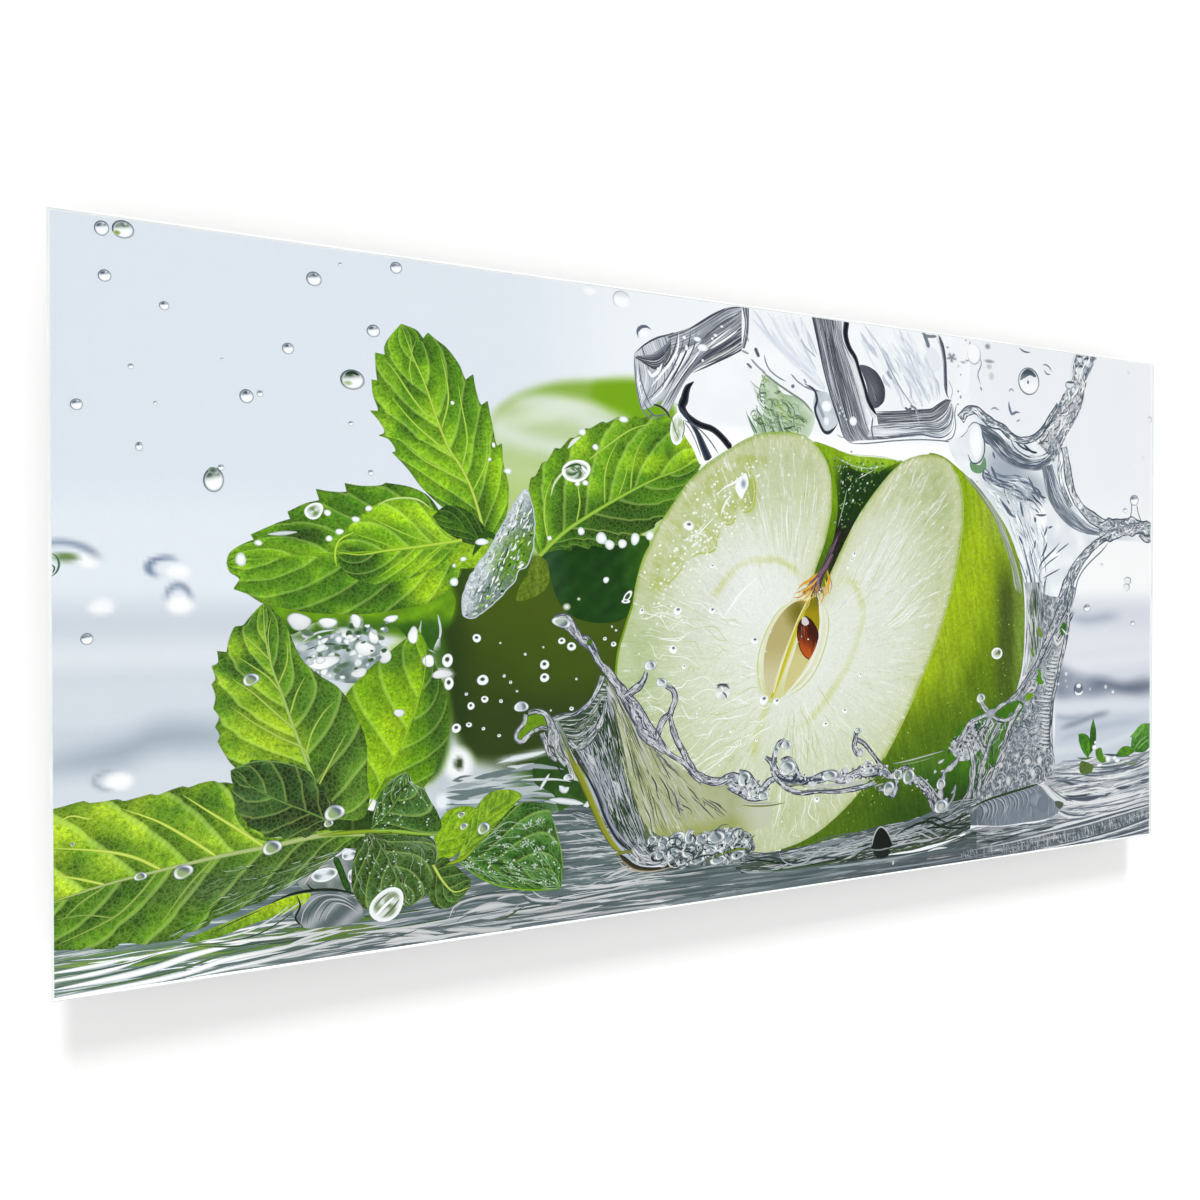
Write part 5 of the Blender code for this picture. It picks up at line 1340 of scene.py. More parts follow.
def flesh_tone(x, y):
    d = -distance(coarse_face, x, y)
    r = np.hypot((x - 560) / 190, (y - 285) / 175)
    c = stops(r, (0, (232, 236, 231)), (0.35, (222, 228, 214)), (0.6, (207, 216, 188)), (0.85, (190, 201, 158)), (1.1, (174, 188, 132)))
    c = mix(c, (204, 209, 166), smoothstep(22, 5, d) * 0.6)
    c = mix(c, (186, 196, 130), smoothstep(7, 1, d) * 0.75)
    c = mix(c, (126, 160, 30), smoothstep(2.2, 0.4, d) * 0.8)
    c = mix(c, (172, 190, 136), puff(x, y, 402, 305, 26, 60, 0.8) * 0.7)
    c = mix(c, (238, 241, 241), puff(x, y, 500, 235, 44, 40, 0.9) * 0.8)
    c = mix(c, (232, 236, 234), puff(x, y, 655, 215, 34, 48, 0.9, 0.5) * 0.6)
    c = mix(c, (224, 230, 220), puff(x, y, 650, 290, 40, 50, 0.9, 0.4) * 0.5)
    c = mix(c, (188, 197, 156), smoothstep(405, 460, y) * 0.8)
    c = mix(c, (176, 188, 128), puff(x, y, 700, 150, 12, 50, 0.9, 0.2) * 0.15)
    # the wetter, greener patch on the left lobe
    wet = soft(x, y, WET, 2.5) * np.clip(0.55 + 0.75 * clouds(x, y, 9, 4) + 0.3 * clouds(x, y, 4, 6), 0.1, 1)
    c = mix(c, (170, 184, 84), np.clip(wet, 0, 1) * 0.8)
    c = mix(c, (158, 172, 62), wet * smoothstep(6, 0, np.abs(x - 511 + 0.1 * (y - 150))) * 0.5)
    c = mix(c, (206, 213, 200), puff(x, y, 470, 250, 16, 44, 0.8, 0.5) * 0.4)
    c = mix(c, (150, 168, 60), puff(x, y, 507, 160, 6, 14, 0.6, -0.2) * 0.5)
    # the core line, a fine yellow-green arc round the core
    for arc, w, k in ((CORE_LEFT, 3.0, 0.55), (CORE_RIGHT, 3.2, 0.5), (CORE_LOW, 3.2, 0.6), (CORE_INNER, 1.8, 0.6)):
        near = np.full(np.shape(x), 1e9)
        along = np.zeros(np.shape(x))
        for n, (px, py) in enumerate(arc):
            d = np.hypot(x - px, y - py)
            along = np.where(d < near, n / len(arc), along)
            near = np.minimum(near, d)
        k = k * (0.75 + 0.25 * np.sin(along * 9 + 1)) * smoothstep(0, 0.12, along) * smoothstep(1, 0.8, along)
        c = mix(c, (192, 200, 104), smoothstep(w * 1.6, w * 0.3, near) * k)
    return c


CORE_LEFT = curve([(470, 250), (486, 230), (500, 218), (516, 214.5), (535, 214), (550, 220), (558, 228), (563, 234)], 1.5)
CORE_RIGHT = curve([(596, 240), (606, 231), (616, 234), (622, 245), (626, 258), (624, 272), (617, 292), (606, 312), (592, 330), (578, 345), (562, 358), (545, 366)], 1.5)
CORE_LOW = curve([(528, 336), (521, 350), (515, 368), (511, 385)], 1.5)
CORE_INNER = curve([(517, 300), (517, 315), (521, 330)], 1.5)


def flesh_flow(x, y):
    a = np.arctan2(y - 300, x - 556)
    r = np.hypot(x - 556, y - 300)
    amp = smoothstep(20, 70, r) * 1.0 + 0.25
    return np.stack([a, r, amp], -1)


blob("print_flesh", face_line, 18, flesh_tone, 2.4, flow=flesh_flow)
strip("print_marks", curve([(734, 130), (739, 142), (741.5, 158), (741.5, 172), (739.5, 192), (736, 210), (731, 230), (724, 252), (715, 276), (705, 298), (693, 321), (680, 346), (665, 371), (650, 393)], 2.0), 1.0, 18.5, (186, 196, 96), side=((206, 212, 150), (134, 164, 24)))
strip("print_marks", curve([(400, 252), (402.8, 236), (405.6, 225), (410, 212.5), (415.4, 203), (419.8, 193.6), (428.4, 180), (436.4, 169), (448.9, 152), (457.4, 143.8), (466.4, 135.8), (476.4, 129), (489.4, 121.2), (500.4, 114.5), (514.4, 108.2), (532, 104.5), (550, 103.7), (565, 106)], 2.0), 0.8, 18.5, (150, 178, 70))
strip("print_marks", curve([(384, 325), (387, 291), (393, 271), (400, 251)], 2.0), 1.8, 18.5, (120, 158, 20), side=(90, 130, 20))
fan = loft([[(505, 132), (515, 160), (524, 190), (530, 210)], [(550, 128), (550, 160), (549, 190), (548, 212)], [(580, 140), (576, 168), (570, 195), (562, 218)]], 40, 24)
streaks("print_marks", fan, 18.6, 46, [(206, 214, 170), (240, 243, 240), (196, 206, 150)], 31, length=(0.2, 0.6), width=(0.3, 0.9), drift=0.02)
fan = loft([[(652, 140), (640, 170), (622, 205), (608, 236)], [(700, 128), (680, 165), (655, 205), (632, 240)], [(732, 170), (710, 200), (680, 232), (650, 262)], [(722, 235), (700, 255), (672, 276), (645, 290)]], 50, 34)
streaks("print_marks", fan, 18.6, 110, [(196, 208, 160), (240, 243, 240), (206, 216, 180), (236, 240, 236)], 32, length=(0.15, 0.5), width=(0.3, 1.0), drift=0.02)
fan = loft([[(545, 348), (505, 372), (465, 398), (432, 430)], [(526, 335), (486, 345), (444, 355), (404, 366)], [(516, 302), (476, 298), (436, 292), (400, 286)], [(522, 270), (482, 256), (444, 243), (414, 232)]], 50, 34)
streaks("print_marks", fan, 18.6, 150, [(240, 243, 240), (196, 206, 156), (206, 214, 178), (244, 246, 244), (226, 232, 216)], 33, length=(0.08, 0.4), width=(0.35, 1.1), drift=0.05)
fan = loft([[(540, 348), (528, 384), (518, 420), (508, 455)], [(556, 340), (562, 378), (568, 416), (572, 452)], [(578, 322), (604, 352), (630, 384), (650, 410)]], 40, 24)
streaks("print_marks", fan, 18.6, 90, [(226, 232, 216), (186, 196, 140), (196, 206, 160), (236, 240, 232)], 34, length=(0.1, 0.4), width=(0.35, 1.1), drift=0.04)

# the core
blob("print_flat", [(547, 250), (560, 244), (577, 248), (583, 258), (586, 272), (582, 290), (575, 305), (562, 320), (545, 330), (532, 336), (526, 336), (521, 322), (519, 305), (521, 288), (527, 272), (536, 258)], 19,
     lambda x, y: mix((224, 226, 196), (206, 210, 150), smoothstep(300, 335, y)), 3.0)
blob("print_flat", [(563, 249), (566, 253), (558, 266), (549, 280), (541, 298), (533, 318), (528, 331), (524, 322), (522, 305), (524, 290), (530, 274), (540, 260), (552, 251)], 19.4,
     lambda x, y: mix(mix((184, 172, 116), (204, 198, 158), smoothstep(285, 318, y)), (116, 110, 32), smoothstep(16, 0, np.hypot((x - 557) * 0.9, (y - 258) * 0.7)) ** 0.8), 2.0)
strip("print_flat", [(574, 246), (567, 253), (560, 264), (553, 279), (545, 298), (537, 318), (530, 333)], [(0, 5), (0.5, 6.5), (0.8, 4.5), (1, 3)], 19.6, (196, 186, 44), side=((222, 218, 140), (190, 188, 60)))
strip("print_marks", [(565, 251), (556, 267), (548, 285), (540, 305), (532, 328)], [(0, 1.0), (1, 1.4)], 19.9, (232, 230, 186))
blob("print_flat", [(570, 248), (577, 246), (578.5, 258), (579, 270), (576, 285), (571, 297), (563, 309), (552, 321), (543, 328), (546, 312), (554, 292), (560, 272), (565, 256)], 19.7,
     lambda x, y: mix(mix((158, 142, 14), (206, 198, 136), smoothstep(270, 300, y)), (120, 116, 10), smoothstep(262, 250, y)), 2.0)
strip("print_marks", [(579, 250), (581, 268), (577, 288), (570, 304), (558, 318), (545, 330)], [(0, 1.4), (0.5, 2.4), (1, 1.2)], 19.95, (234, 236, 226))
strip("print_marks", [(582, 252), (588, 262), (588.5, 275), (583, 295), (574, 312), (562, 324), (545, 333)], 1.4, 19.8, (196, 202, 110), side=(222, 226, 190), taper=(0.2, 0.2))
strip("print_marks", [(545, 252), (535, 260), (525, 275), (518, 292), (516, 310), (521, 330)], 1.5, 19.8, (200, 206, 120), side=(226, 230, 200), taper=(0.2, 0.2))
blob("print_flat", [(564.2, 262.4, 1), (569.3, 265.1), (574.9, 271.4), (578.3, 278.9), (576, 288.4), (571.5, 296.9), (568.1, 300.9, 1), (561.4, 294.8), (557.4, 287.3), (555.7, 276.7), (558, 267.2)], 20.2,
     lambda x, y: mix((66, 24, 12), (186, 82, 26), smoothstep(274, 296, y - (x - 566) * 0.5)), 1.0)
seed_body = loft([[(560.2, 267.2), (559.1, 279.9), (563.6, 292.6), (568.1, 299)], [(565.9, 265.1), (570.4, 277.8), (571.5, 288.4), (569.3, 297.9)], [(571.5, 269.3), (576, 279.9), (573.8, 290.5), (570.4, 296.9)]], 24, 10)
streaks("print_marks", seed_body, 20.4, 24, [(214, 110, 44), (40, 12, 8), (150, 60, 24), (80, 30, 16)], 8, length=(0.25, 0.6), width=(0.3, 0.8))
strip("print_marks", [(556.4, 271.4), (556.2, 279.9), (558.5, 289.4), (562.5, 296.3), (568.1, 300.6)], 0.9, 20.5, (34, 10, 8))
strip("print_marks", [(564.7, 262.7), (571.5, 267.2), (577.2, 276.2), (577.7, 283.1)], 0.9, 20.5, (34, 12, 8))
blob("print_marks", [(561.4, 263.5), (565.3, 264), (568.1, 268.8), (564.7, 270.9), (560.8, 268.8)], 20.6, (214, 206, 206), 1.5, step=0.8)
strip("print_marks", [(560.2, 270.4), (560.8, 277.8), (559.7, 283.1)], 1.0, 20.6, (120, 96, 92), taper=(0.3, 0.5))

# the stem and the torn fibres at its foot
stem = loft([[(603, 188), (596, 203), (589, 217), (583, 230), (578, 243)], [(598, 187), (590, 202), (583, 216), (575, 228), (566, 240)]], 40, 8)
patch("print_flat", stem, 20.8, mix((44, 34, 36), (96, 78, 92), np.linspace(0, 1, 40)[:, None] * np.ones(8)))
streaks("print_marks", stem, 21.0, 46, [(26, 20, 22), (120, 104, 124), (86, 66, 70), (60, 44, 40)], 9, length=(0.1, 0.4), width=(0.3, 0.8))
for k, (ex, ey, bend) in enumerate([(552, 246, 3), (555, 251, 2), (560, 254, 1), (566, 257, 1), (572, 256, 0), (577, 255, -1), (582, 252, -2), (586, 247, -3), (588, 241, -3), (558, 243, 4), (563, 247, 3), (570, 250, 1), (579, 247, -1), (584, 236, -2), (560, 238, 3)]):
    line = [(579 - k % 3, 226 + k % 4), (575 + bend * -0.6, 237), (ex + bend, ey - 4), (ex, ey)]
    strip("print_marks", line, [(0, 1.6), (0.6, 1.3), (1, 0.3)], 21.2 + 0.05 * (k % 5), ((150, 92, 30), (104, 74, 92), (196, 150, 40), (80, 54, 50))[k % 4], side=((214, 176, 70), (140, 120, 60))[k % 2], taper=(0.05, 0.4))
for k in range(26):
    r1, r2 = hash01(k, 1.0), hash01(k, 2.0)
    x0, y0 = 557 + 30 * float(r1), 234 + 18 * float(r2)
    strip("print_marks", [(x0, y0), (x0 + 1.5, y0 - 2), (x0 + 4, y0 - 2.4)], 1.0, 21.4, ((214, 168, 50), (236, 206, 90), (120, 84, 40))[k % 3], taper=(0.4, 0.4), step=0.8)

# the wet patch's rim, its streaks and its bright drop
for line, w in (([(508, 139), (513, 148), (513.5, 160), (510, 171), (503, 174), (499, 170)], 2.6), ([(495, 176), (492, 183), (486, 185), (481, 183)], 1.8), ([(480, 190), (476.5, 198), (474.5, 206), (468, 209), (460, 209.5), (452, 214)], 1.8), ([(446, 220), (438, 229), (428, 238)], 1.4)):
    strip("print_marks", line, w, 18.6, (172, 186, 72), side=((206, 213, 160), (214, 222, 184)), taper=(0.2, 0.2))
for line, w in (([(476, 161), (484, 154), (494, 149), (504, 141)], [(0, 0.6), (0.6, 2.2), (1, 3)]), ([(480, 178), (484, 168), (490, 160)], 1.6), ([(456, 196), (466, 187), (474, 179)], 1.2), ([(448, 202), (458, 192), (468, 182)], 0.8), ([(481, 266), (490, 254), (498, 244), (508, 235), (519, 227)], [(0, 0.6), (0.45, 3.6), (0.7, 2.4), (1, 0.6)])):
    strip("print_marks", line, w, 21.7, (246, 249, 248), side=(226, 232, 222), taper=(0.3, 0.3))
blob("print_drops", [(504, 141), (507, 150), (503, 158), (500, 163), (494, 154), (497, 147)], 21.8, lambda x, y: mix((250, 252, 253), (130, 150, 170), puff(x, y, 502, 150, 2.2, 3.4, 0.6) * 0.9), 1.5)
for k in range(14):
    a = k / 13
    strip("print_marks", [(594 - 3 * (1 - a), 208), (588 - 5 * (1 - a), 220), (578 - 8 * (1 - a) + 2 * a, 232), (562 + 22 * a, 243 + 3 * math.sin(k * 2.1))], [(0, 0.7), (0.5, 1.1), (1, 0.7)], 21.5 + 0.02 * k, ((120, 88, 108), (58, 38, 44), (156, 134, 150), (84, 60, 74))[k % 4], taper=(0.1, 0.3))
for line, w, tone in (([(577, 225), (569, 231), (561, 235), (556, 240)], 2.4, (226, 160, 30)), ([(578, 229), (570, 236), (560, 241), (553, 243)], 1.6, (240, 190, 60)), ([(574, 234), (566, 241), (558, 246), (551, 246)], 1.4, (206, 140, 40)), ([(572, 240), (565, 247), (556, 249)], 1.0, (234, 200, 110)), ([(587, 222), (589, 231), (588, 238), (590, 244)], 2.2, (226, 160, 30)), ([(585, 230), (586, 240), (583, 247)], 1.6, (240, 186, 56)), ([(582, 236), (583, 246), (579, 254)], 1.2, (206, 150, 50)), ([(590, 228), (592, 236), (590, 241)], 1.0, (196, 120, 30)), ([(570, 243), (568, 252), (564, 258)], 1.0, (234, 206, 130))):
    strip("print_marks", line, w, 21.9, tone, side=mix(tone, (140, 100, 30), 0.4), taper=(0.2, 0.5), step=0.9)

# wet specks over the face and the skin
rng = np.random.default_rng(17)
for _ in range(300):
    u, w = rng.normal(0, 1), rng.normal(0, 1)
    x, y = 468 + u * 26 + w * 12, 190 - u * 32 + w * 10
    if distance(coarse_face, np.array([x]), np.array([y]))[0] > -3 or y > 330:
        continue
    s = rng.uniform(0.3, 1.25) ** 1.4
    disc("print_marks", x, y, s * rng.uniform(0.9, 1.6), s, 21.6, lambda R, A: mix((250, 252, 250), (220, 226, 208), R**2), angle=-0.5, rings=2, n=8)
for _ in range(150):
    x, y = rng.uniform(405, 735), rng.uniform(120, 460)
    if distance(coarse_face, np.array([x]), np.array([y]))[0] > -5:
        continue
    s = rng.uniform(0.3, 0.9)
    disc("print_marks", x, y, s * 1.2, s, 21.6, lambda R, A: mix((248, 250, 248), (222, 226, 210), R**2), angle=-0.5, rings=2, n=8)
for _ in range(420):
    x, y = rng.uniform(600, 820), rng.uniform(135, 465)
    if distance(coarse_face, np.array([x]), np.array([y]))[0] < 4 or x > 800 + 20 * math.sin((y - 130) / 100) or y > 400 + (760 - x) * 0.4:
        continue
    s = rng.uniform(0.25, 0.8)
    disc("print_marks", x, y, s * 1.2, s, 21.6, lambda R, A: mix((196, 210, 120), (130, 156, 50), R**2), rings=2, n=7)


# ---------------------------------------------------------------- the print: the splash round the foot of the apple


def bead(x, y, rx, ry, level, tone=(186, 196, 206), seed=0.0, angle=0.0):
    """A curl of clear water: a bright rim, a shaded middle and a dark crescent."""
    def colour(R, A):
        c = mix(tone, (96, 110, 122), smoothstep(0.1, 0.75, np.sin(A + seed) * R + 0.25))
        c = mix(c, (246, 249, 251), smoothstep(0.58, 0.74, R) * (0.65 + 0.35 * np.sin(A * 2 + seed)))
        return mix(c, (66, 80, 88), smoothstep(0.90, 1.0, R) * 0.8)

    disc("print_drops", x, y, rx, ry, level, colour, angle=angle, rings=6, n=22, wobble=0.09, seed=seed)


def speckle(points, level, count, seed, tones=((250, 252, 253), (60, 74, 88), (206, 213, 222), (120, 134, 148)), size=(0.4, 1.3)):
    """Short glints and shadows scattered along a line of (x, y, half width) points."""
    rng = np.random.default_rng(seed)
    P = np.array(points, float)
    s = lengths(P[:, :2])
    for _ in range(count):
        a = rng.uniform(0, s[-1])
        x, y, w = (np.interp(a, s, P[:, k]) for k in range(3))
        x, y = x + rng.uniform(-1, 1) * w, y + rng.uniform(-1, 1) * w
        r = rng.uniform(*size)
        tone = tones[rng.integers(len(tones))]
        disc("print_marks", x, y, r * rng.uniform(1.0, 2.4), r, level, lambda R, A: np.broadcast_to(rgb(tone), R.shape + (3,)), angle=rng.uniform(-1.4, 1.4), rings=1, n=7)


# far green shapes and wet ground between the lower sprig and the splash
blob("print_far_leaves", [(318, 372), (334, 368), (345, 372), (352, 385), (362, 400), (372, 418), (360, 422), (345, 410), (330, 396), (318, 388)], 8.2, (42, 76, 26), 4)
blob("print_far_leaves", [(335, 396), (352, 402), (364, 410), (362, 420), (350, 423), (338, 412)], 8.3, (54, 92, 34), 3)
for line, w in (([(288, 371), (300, 368.5), (312, 367), (322, 365.5), (330, 364)], [(0, 1), (0.3, 5), (0.8, 4), (1, 2)]), ([(330, 382), (326, 388), (322, 394)], 2.6), ([(338, 392), (342, 396), (346, 394)], 5.0), ([(330, 402), (345, 405), (358, 408)], 5.0), ([(357, 412), (362, 408), (364, 404)], 4.4), ([(348, 384), (354, 388)], 3.0)):
    strip("print_flat", line, w, 8.6, (226, 231, 235), side=(160, 172, 172), taper=(0.3, 0.3))
far_water = loft([[(250, 376), (290, 374), (330, 372), (345, 376)], [(250, 396), (290, 396), (330, 398), (352, 402)], [(250, 410), (290, 414), (330, 418), (372, 424)]], 50, 20)
streaks("print_flat", far_water, 8.1, 60, [(176, 186, 190), (150, 162, 166), (104, 122, 122), (206, 213, 217)], 50, length=(0.15, 0.5), width=(1.5, 5), drift=0.03)

# the water the sprig and the apple stand in
blob("print_ripples", [(-2, 470), (60, 470), (150, 440), (182, 430), (250, 425), (338, 412), (350, 408), (372, 418), (390, 452), (404, 463), (430, 466), (470, 464), (505, 470), (505, 500), (-2, 500)], 22,
     lambda x, y: mix(mix((120, 140, 142), (104, 132, 104), smoothstep(240, 60, x) * smoothstep(470, 478, y)), (140, 152, 160), smoothstep(485, 499, y) * 0.6) * (1 + 0.12 * clouds(x * 0.3, y * 2, 14, 3))[..., None], 4.0,
     flow=lambda x, y: np.stack([x, y + 2 * np.sin(x / 38), x * 0 + 0.9], -1))
front = loft([[(-2, 474), (60, 475), (130, 470), (200, 474), (270, 473), (340, 474), (420, 472), (500, 474)], [(-2, 486), (90, 486), (200, 487), (300, 486), (400, 485), (500, 486)], [(-2, 498), (200, 498), (400, 498), (500, 498)]], 120, 24)
streaks("print_marks", front, 22.4, 34, [(120, 150, 70), (104, 142, 60), (70, 104, 54), (90, 116, 100)], 52, length=(0.08, 0.3), width=(1.0, 3.0), drift=0.05, u=(0, 0.5), v=(0.0, 0.45))
streaks("print_marks", front, 22.6, 70, [(240, 243, 246), (250, 252, 253), (96, 114, 118), (78, 98, 96), (196, 205, 212), (160, 174, 182), (246, 248, 250)], 51, length=(0.05, 0.24), width=(0.5, 2.6), drift=0.05)
mid = loft([[(345, 410), (356, 414), (366, 418), (374, 422)], [(342, 440), (356, 441), (370, 442), (384, 446)], [(338, 470), (360, 471), (385, 470), (420, 468)]], 40, 30)
streaks("print_marks", mid, 22.5, 70, [(206, 214, 220), (160, 174, 180), (84, 104, 104), (236, 240, 243), (74, 94, 90)], 53, length=(0.2, 0.8), width=(0.4, 1.2), drift=0.03)
for line, w in (([(342, 431), (360, 430), (376, 431)], 1.2), ([(345, 450), (362, 449.5), (386, 450)], 1.6), ([(345, 458), (360, 458), (376, 458)], 1.4), ([(342, 438), (356, 438.5), (374, 438)], 0.9), ([(372, 467), (384, 464), (398, 461)], 1.6), ([(376, 472), (390, 469), (402, 466)], 1.2), ([(345, 482), (375, 480), (400, 476), (430, 477)], 2.0), ([(345, 470), (360, 473), (372, 470)], 1.2)):
    strip("print_marks", line, w, 22.7, (240, 243, 246), side=(170, 182, 188), taper=(0.4, 0.4))
# long bright and dark bands that run along the front
for line, w, tone in (
    ([(-2, 482.5), (14, 482), (30, 481), (46, 479)], 2.6, 252), ([(-2, 487.6), (16, 487), (34, 485), (52, 480.5), (66, 478)], 3.2, 252), ([(0, 493), (30, 491.5), (56, 489), (78, 484), (96, 481.5), (116, 480)], 4.4, 253),
    ([(0, 498.5), (40, 497.5), (76, 495), (100, 490), (134, 487.5), (160, 484), (180, 481)], 3.6, 250), ([(76, 498), (110, 495.5), (142, 492.5), (172, 488.5), (196, 486)], 3.0, 246), ([(140, 486), (156, 482), (176, 479)], 2.4, 250),
    ([(74, 474), (90, 476), (112, 479), (146, 479), (170, 476)], 2.8, 250), ([(110, 473.5), (126, 474.5), (142, 471.5), (150, 468)], 2.0, 246), ([(192, 485), (212, 486), (232, 490), (248, 494)], 3.6, 251), ([(206, 494), (222, 492.5), (242, 495)], 5.0, 252), ([(174, 493), (196, 491), (214, 489)], 2.0, 236),
    ([(252, 483), (256, 475), (266, 471.5), (280, 470.5), (300, 471)], 2.0, 240), ([(262, 482), (272, 479.5), (290, 478.5), (304, 480)], [(0, 2), (0.5, 7), (1, 1)], 252), ([(272, 486), (284, 487.5), (300, 484), (306, 480)], 1.6, 240), ([(288, 474), (298, 472), (310, 473)], 2.6, 250), ([(310, 474), (317, 478), (326, 480), (340, 482)], 2.4, 250), ([(316, 471), (322, 476), (330, 479)], 1.2, 240),
    ([(250, 492), (262, 493), (280, 496), (300, 497)], 4.6, 246), ([(306, 492), (330, 492), (356, 492), (374, 490)], 3.2, 246), ([(296, 486), (320, 487.5), (350, 486), (380, 483)], 2.2, 222), ([(326, 484), (346, 485), (364, 485)], 1.6, 206), ([(376, 470), (384, 466.5), (394, 464), (404, 464)], 2.4, 244), ([(398, 473), (408, 475), (418, 477)], 1.4, 236),
    ([(340, 480), (370, 480), (400, 477), (430, 478), (470, 480)], 1.8, 232), ([(380, 487), (410, 486), (450, 487), (480, 487)], 2.6, 206), ([(400, 492), (430, 491), (470, 493), (500, 494)], 3.0, 196), ([(350, 497), (390, 496), (430, 497)], 2.4, 206), ([(470, 497), (486, 493), (500, 491)], 2.2, 214), ([(426, 474), (446, 475), (470, 476)], 1.4, 206),
):
    strip("print_marks", line, w, 22.8, (tone, tone + 1, tone + 1), side=mix((tone, tone + 1, tone + 2), (140, 156, 160), 0.55), taper=(0.35, 0.35))
for line, w, tone in (
    ([(-2, 485), (20, 484.5), (44, 482.5), (60, 479)], 1.2, (60, 88, 62)), ([(-2, 490), (26, 489), (54, 486), (76, 481)], 1.6, (70, 96, 78)), ([(-2, 496), (34, 495), (70, 492.5), (98, 486.5), (130, 484)], 1.8, (74, 104, 60)), ([(30, 499), (70, 498), (108, 493), (150, 489.5), (186, 484)], 1.5, (92, 112, 112)),
    ([(120, 482.5), (140, 483.5), (160, 480.5)], 1.6, (64, 84, 74)), ([(84, 478.5), (106, 481.5), (126, 482)], 1.3, (44, 72, 40)), ([(122, 476.5), (136, 478), (152, 475)], 1.4, (90, 128, 30)), ([(180, 487), (204, 489.5), (230, 493)], 1.2, (92, 108, 110)), ([(196, 497), (216, 498), (240, 498.5)], 1.2, (84, 100, 104)), ([(200, 491), (214, 491), (230, 488)], 1.0, (84, 100, 104)),
    ([(250, 480), (256, 472.5), (268, 469.5), (290, 468.5), (312, 470)], 1.1, (64, 80, 80)), ([(254, 484), (259, 476), (270, 473), (288, 473)], 1.0, (84, 100, 100)), ([(256, 487), (264, 483.5), (278, 483), (294, 482.5)], 1.2, (74, 92, 92)), ([(282, 490), (296, 488.5), (304, 484.5), (310, 482)], 1.6, (80, 104, 64)), ([(306, 472), (312, 478), (322, 482), (340, 484)], 1.2, (70, 88, 90)), ([(262, 490), (280, 493), (300, 493.5), (330, 495)], 1.2, (96, 112, 116)),
    ([(320, 482), (350, 482.5), (384, 480), (412, 480)], 1.6, (92, 108, 112)), ([(330, 489.5), (370, 488.5), (410, 489), (450, 490)], 1.4, (96, 112, 116)), ([(360, 493.5), (400, 494.5), (450, 496)], 1.6, (92, 108, 114)), ([(416, 472), (440, 473), (470, 472.5), (500, 473)], 1.8, (64, 80, 84)), ([(430, 483), (460, 484), (500, 484)], 1.6, (92, 108, 112)), ([(410, 465), (430, 468), (460, 470)], 1.4, (60, 76, 78)),
):
    strip("print_marks", line, w, 23.0, tone, side=mix(tone, (150, 164, 168), 0.5), taper=(0.4, 0.4))
# the submerged leaf and the foam gap on its right
blob("print_leaves", [(76, 473), (90, 468), (110, 462), (128, 456), (143, 452), (155, 452), (150, 459), (136, 464), (118, 468), (100, 473), (84, 476)], 23.2, lambda x, y: mix((166, 196, 30), (96, 140, 30), smoothstep(455, 474, y)), 2.5, flow=lambda x, y: np.stack([x * 0.06, x * 0, x * 0 + 0.35], -1))
blob("print_ripples", [(146, 440), (156, 434), (168, 430), (184, 424), (190, 428), (187, 444), (188, 456), (170, 452), (152, 450)], 23.3, lambda x, y: mix((206, 213, 216), (120, 140, 130), np.clip(0.5 + 0.8 * clouds(x, y, 7, 3), 0, 1)), 2.0)
strip("print_leaves", [(171, 428), (175, 438), (178, 447), (182, 456)], 4.4, 23.6, (44, 84, 26), side=(30, 60, 22), taper=(0.1, 0.2))
for x, y, a, b in ((164, 440, 8.5, 5), (181, 428, 5.5, 3.4), (183, 443, 3, 5)):
    disc("print_drops", x, y, a, b, 23.7, lambda R, A: mix(mix((226, 231, 235), (110, 126, 130), smoothstep(-0.2, 0.8, np.sin(A * 2 + 1) * R)), (246, 248, 250), smoothstep(0.75, 0.9, R)), rings=6, n=28, wobble=0.06, seed=x)
blob("print_ripples", [(143, 462), (150, 456), (160, 453), (174, 454), (184, 459), (190, 468), (188, 476), (170, 477), (150, 475)], 23.4, lambda x, y: mix((112, 128, 132), (206, 213, 217), np.clip(0.4 + 0.5 * np.sin((x - 140) / 4.2 + (y - 460) / 3.0) + 0.3 * clouds(x, y, 9, 3), 0, 1)), 2.0)
for k in range(5):
    strip("print_marks", [(148 + 4 * k, 475 - 0.6 * k), (151 + 4 * k, 463 + k), (160 + 3 * k, 455 + 1.6 * k), (174 + 1.4 * k, 456 + 2 * k), (184 + k, 463 + 2 * k)], 1.0, 23.7, (64, 80, 80) if k % 2 else (232, 236, 239), side=(130, 144, 148), taper=(0.3, 0.4))
for line, w in (([(128, 456), (140, 451.5), (152, 450), (168, 451), (182, 455), (188, 459)], 2.2), ([(146, 452), (148, 460), (145, 468), (150, 475)], 1.4), ([(152, 444), (156, 449), (166, 451)], 1.2)):
    strip("print_marks", line, w, 23.8, (20, 34, 24), side=(50, 66, 50), taper=(0.35, 0.35))
for line, w in (([(84, 475), (100, 474.5), (116, 472), (130, 466), (142, 458)], 1.3), ([(134, 466), (144, 460), (152, 455)], 1.0), ([(150, 446), (158, 436), (168, 433)], 1.2)):
    strip("print_marks", line, w, 23.8, (238, 241, 243), side=(150, 166, 150), taper=(0.3, 0.3))
for line, w in (([(80, 477), (104, 477.5), (122, 475), (138, 467), (150, 458)], 1.0), ([(90, 471), (108, 464), (126, 458)], 0.9)):
    strip("print_marks", line, w, 23.8, (50, 74, 40), side=(90, 110, 70), taper=(0.3, 0.3))

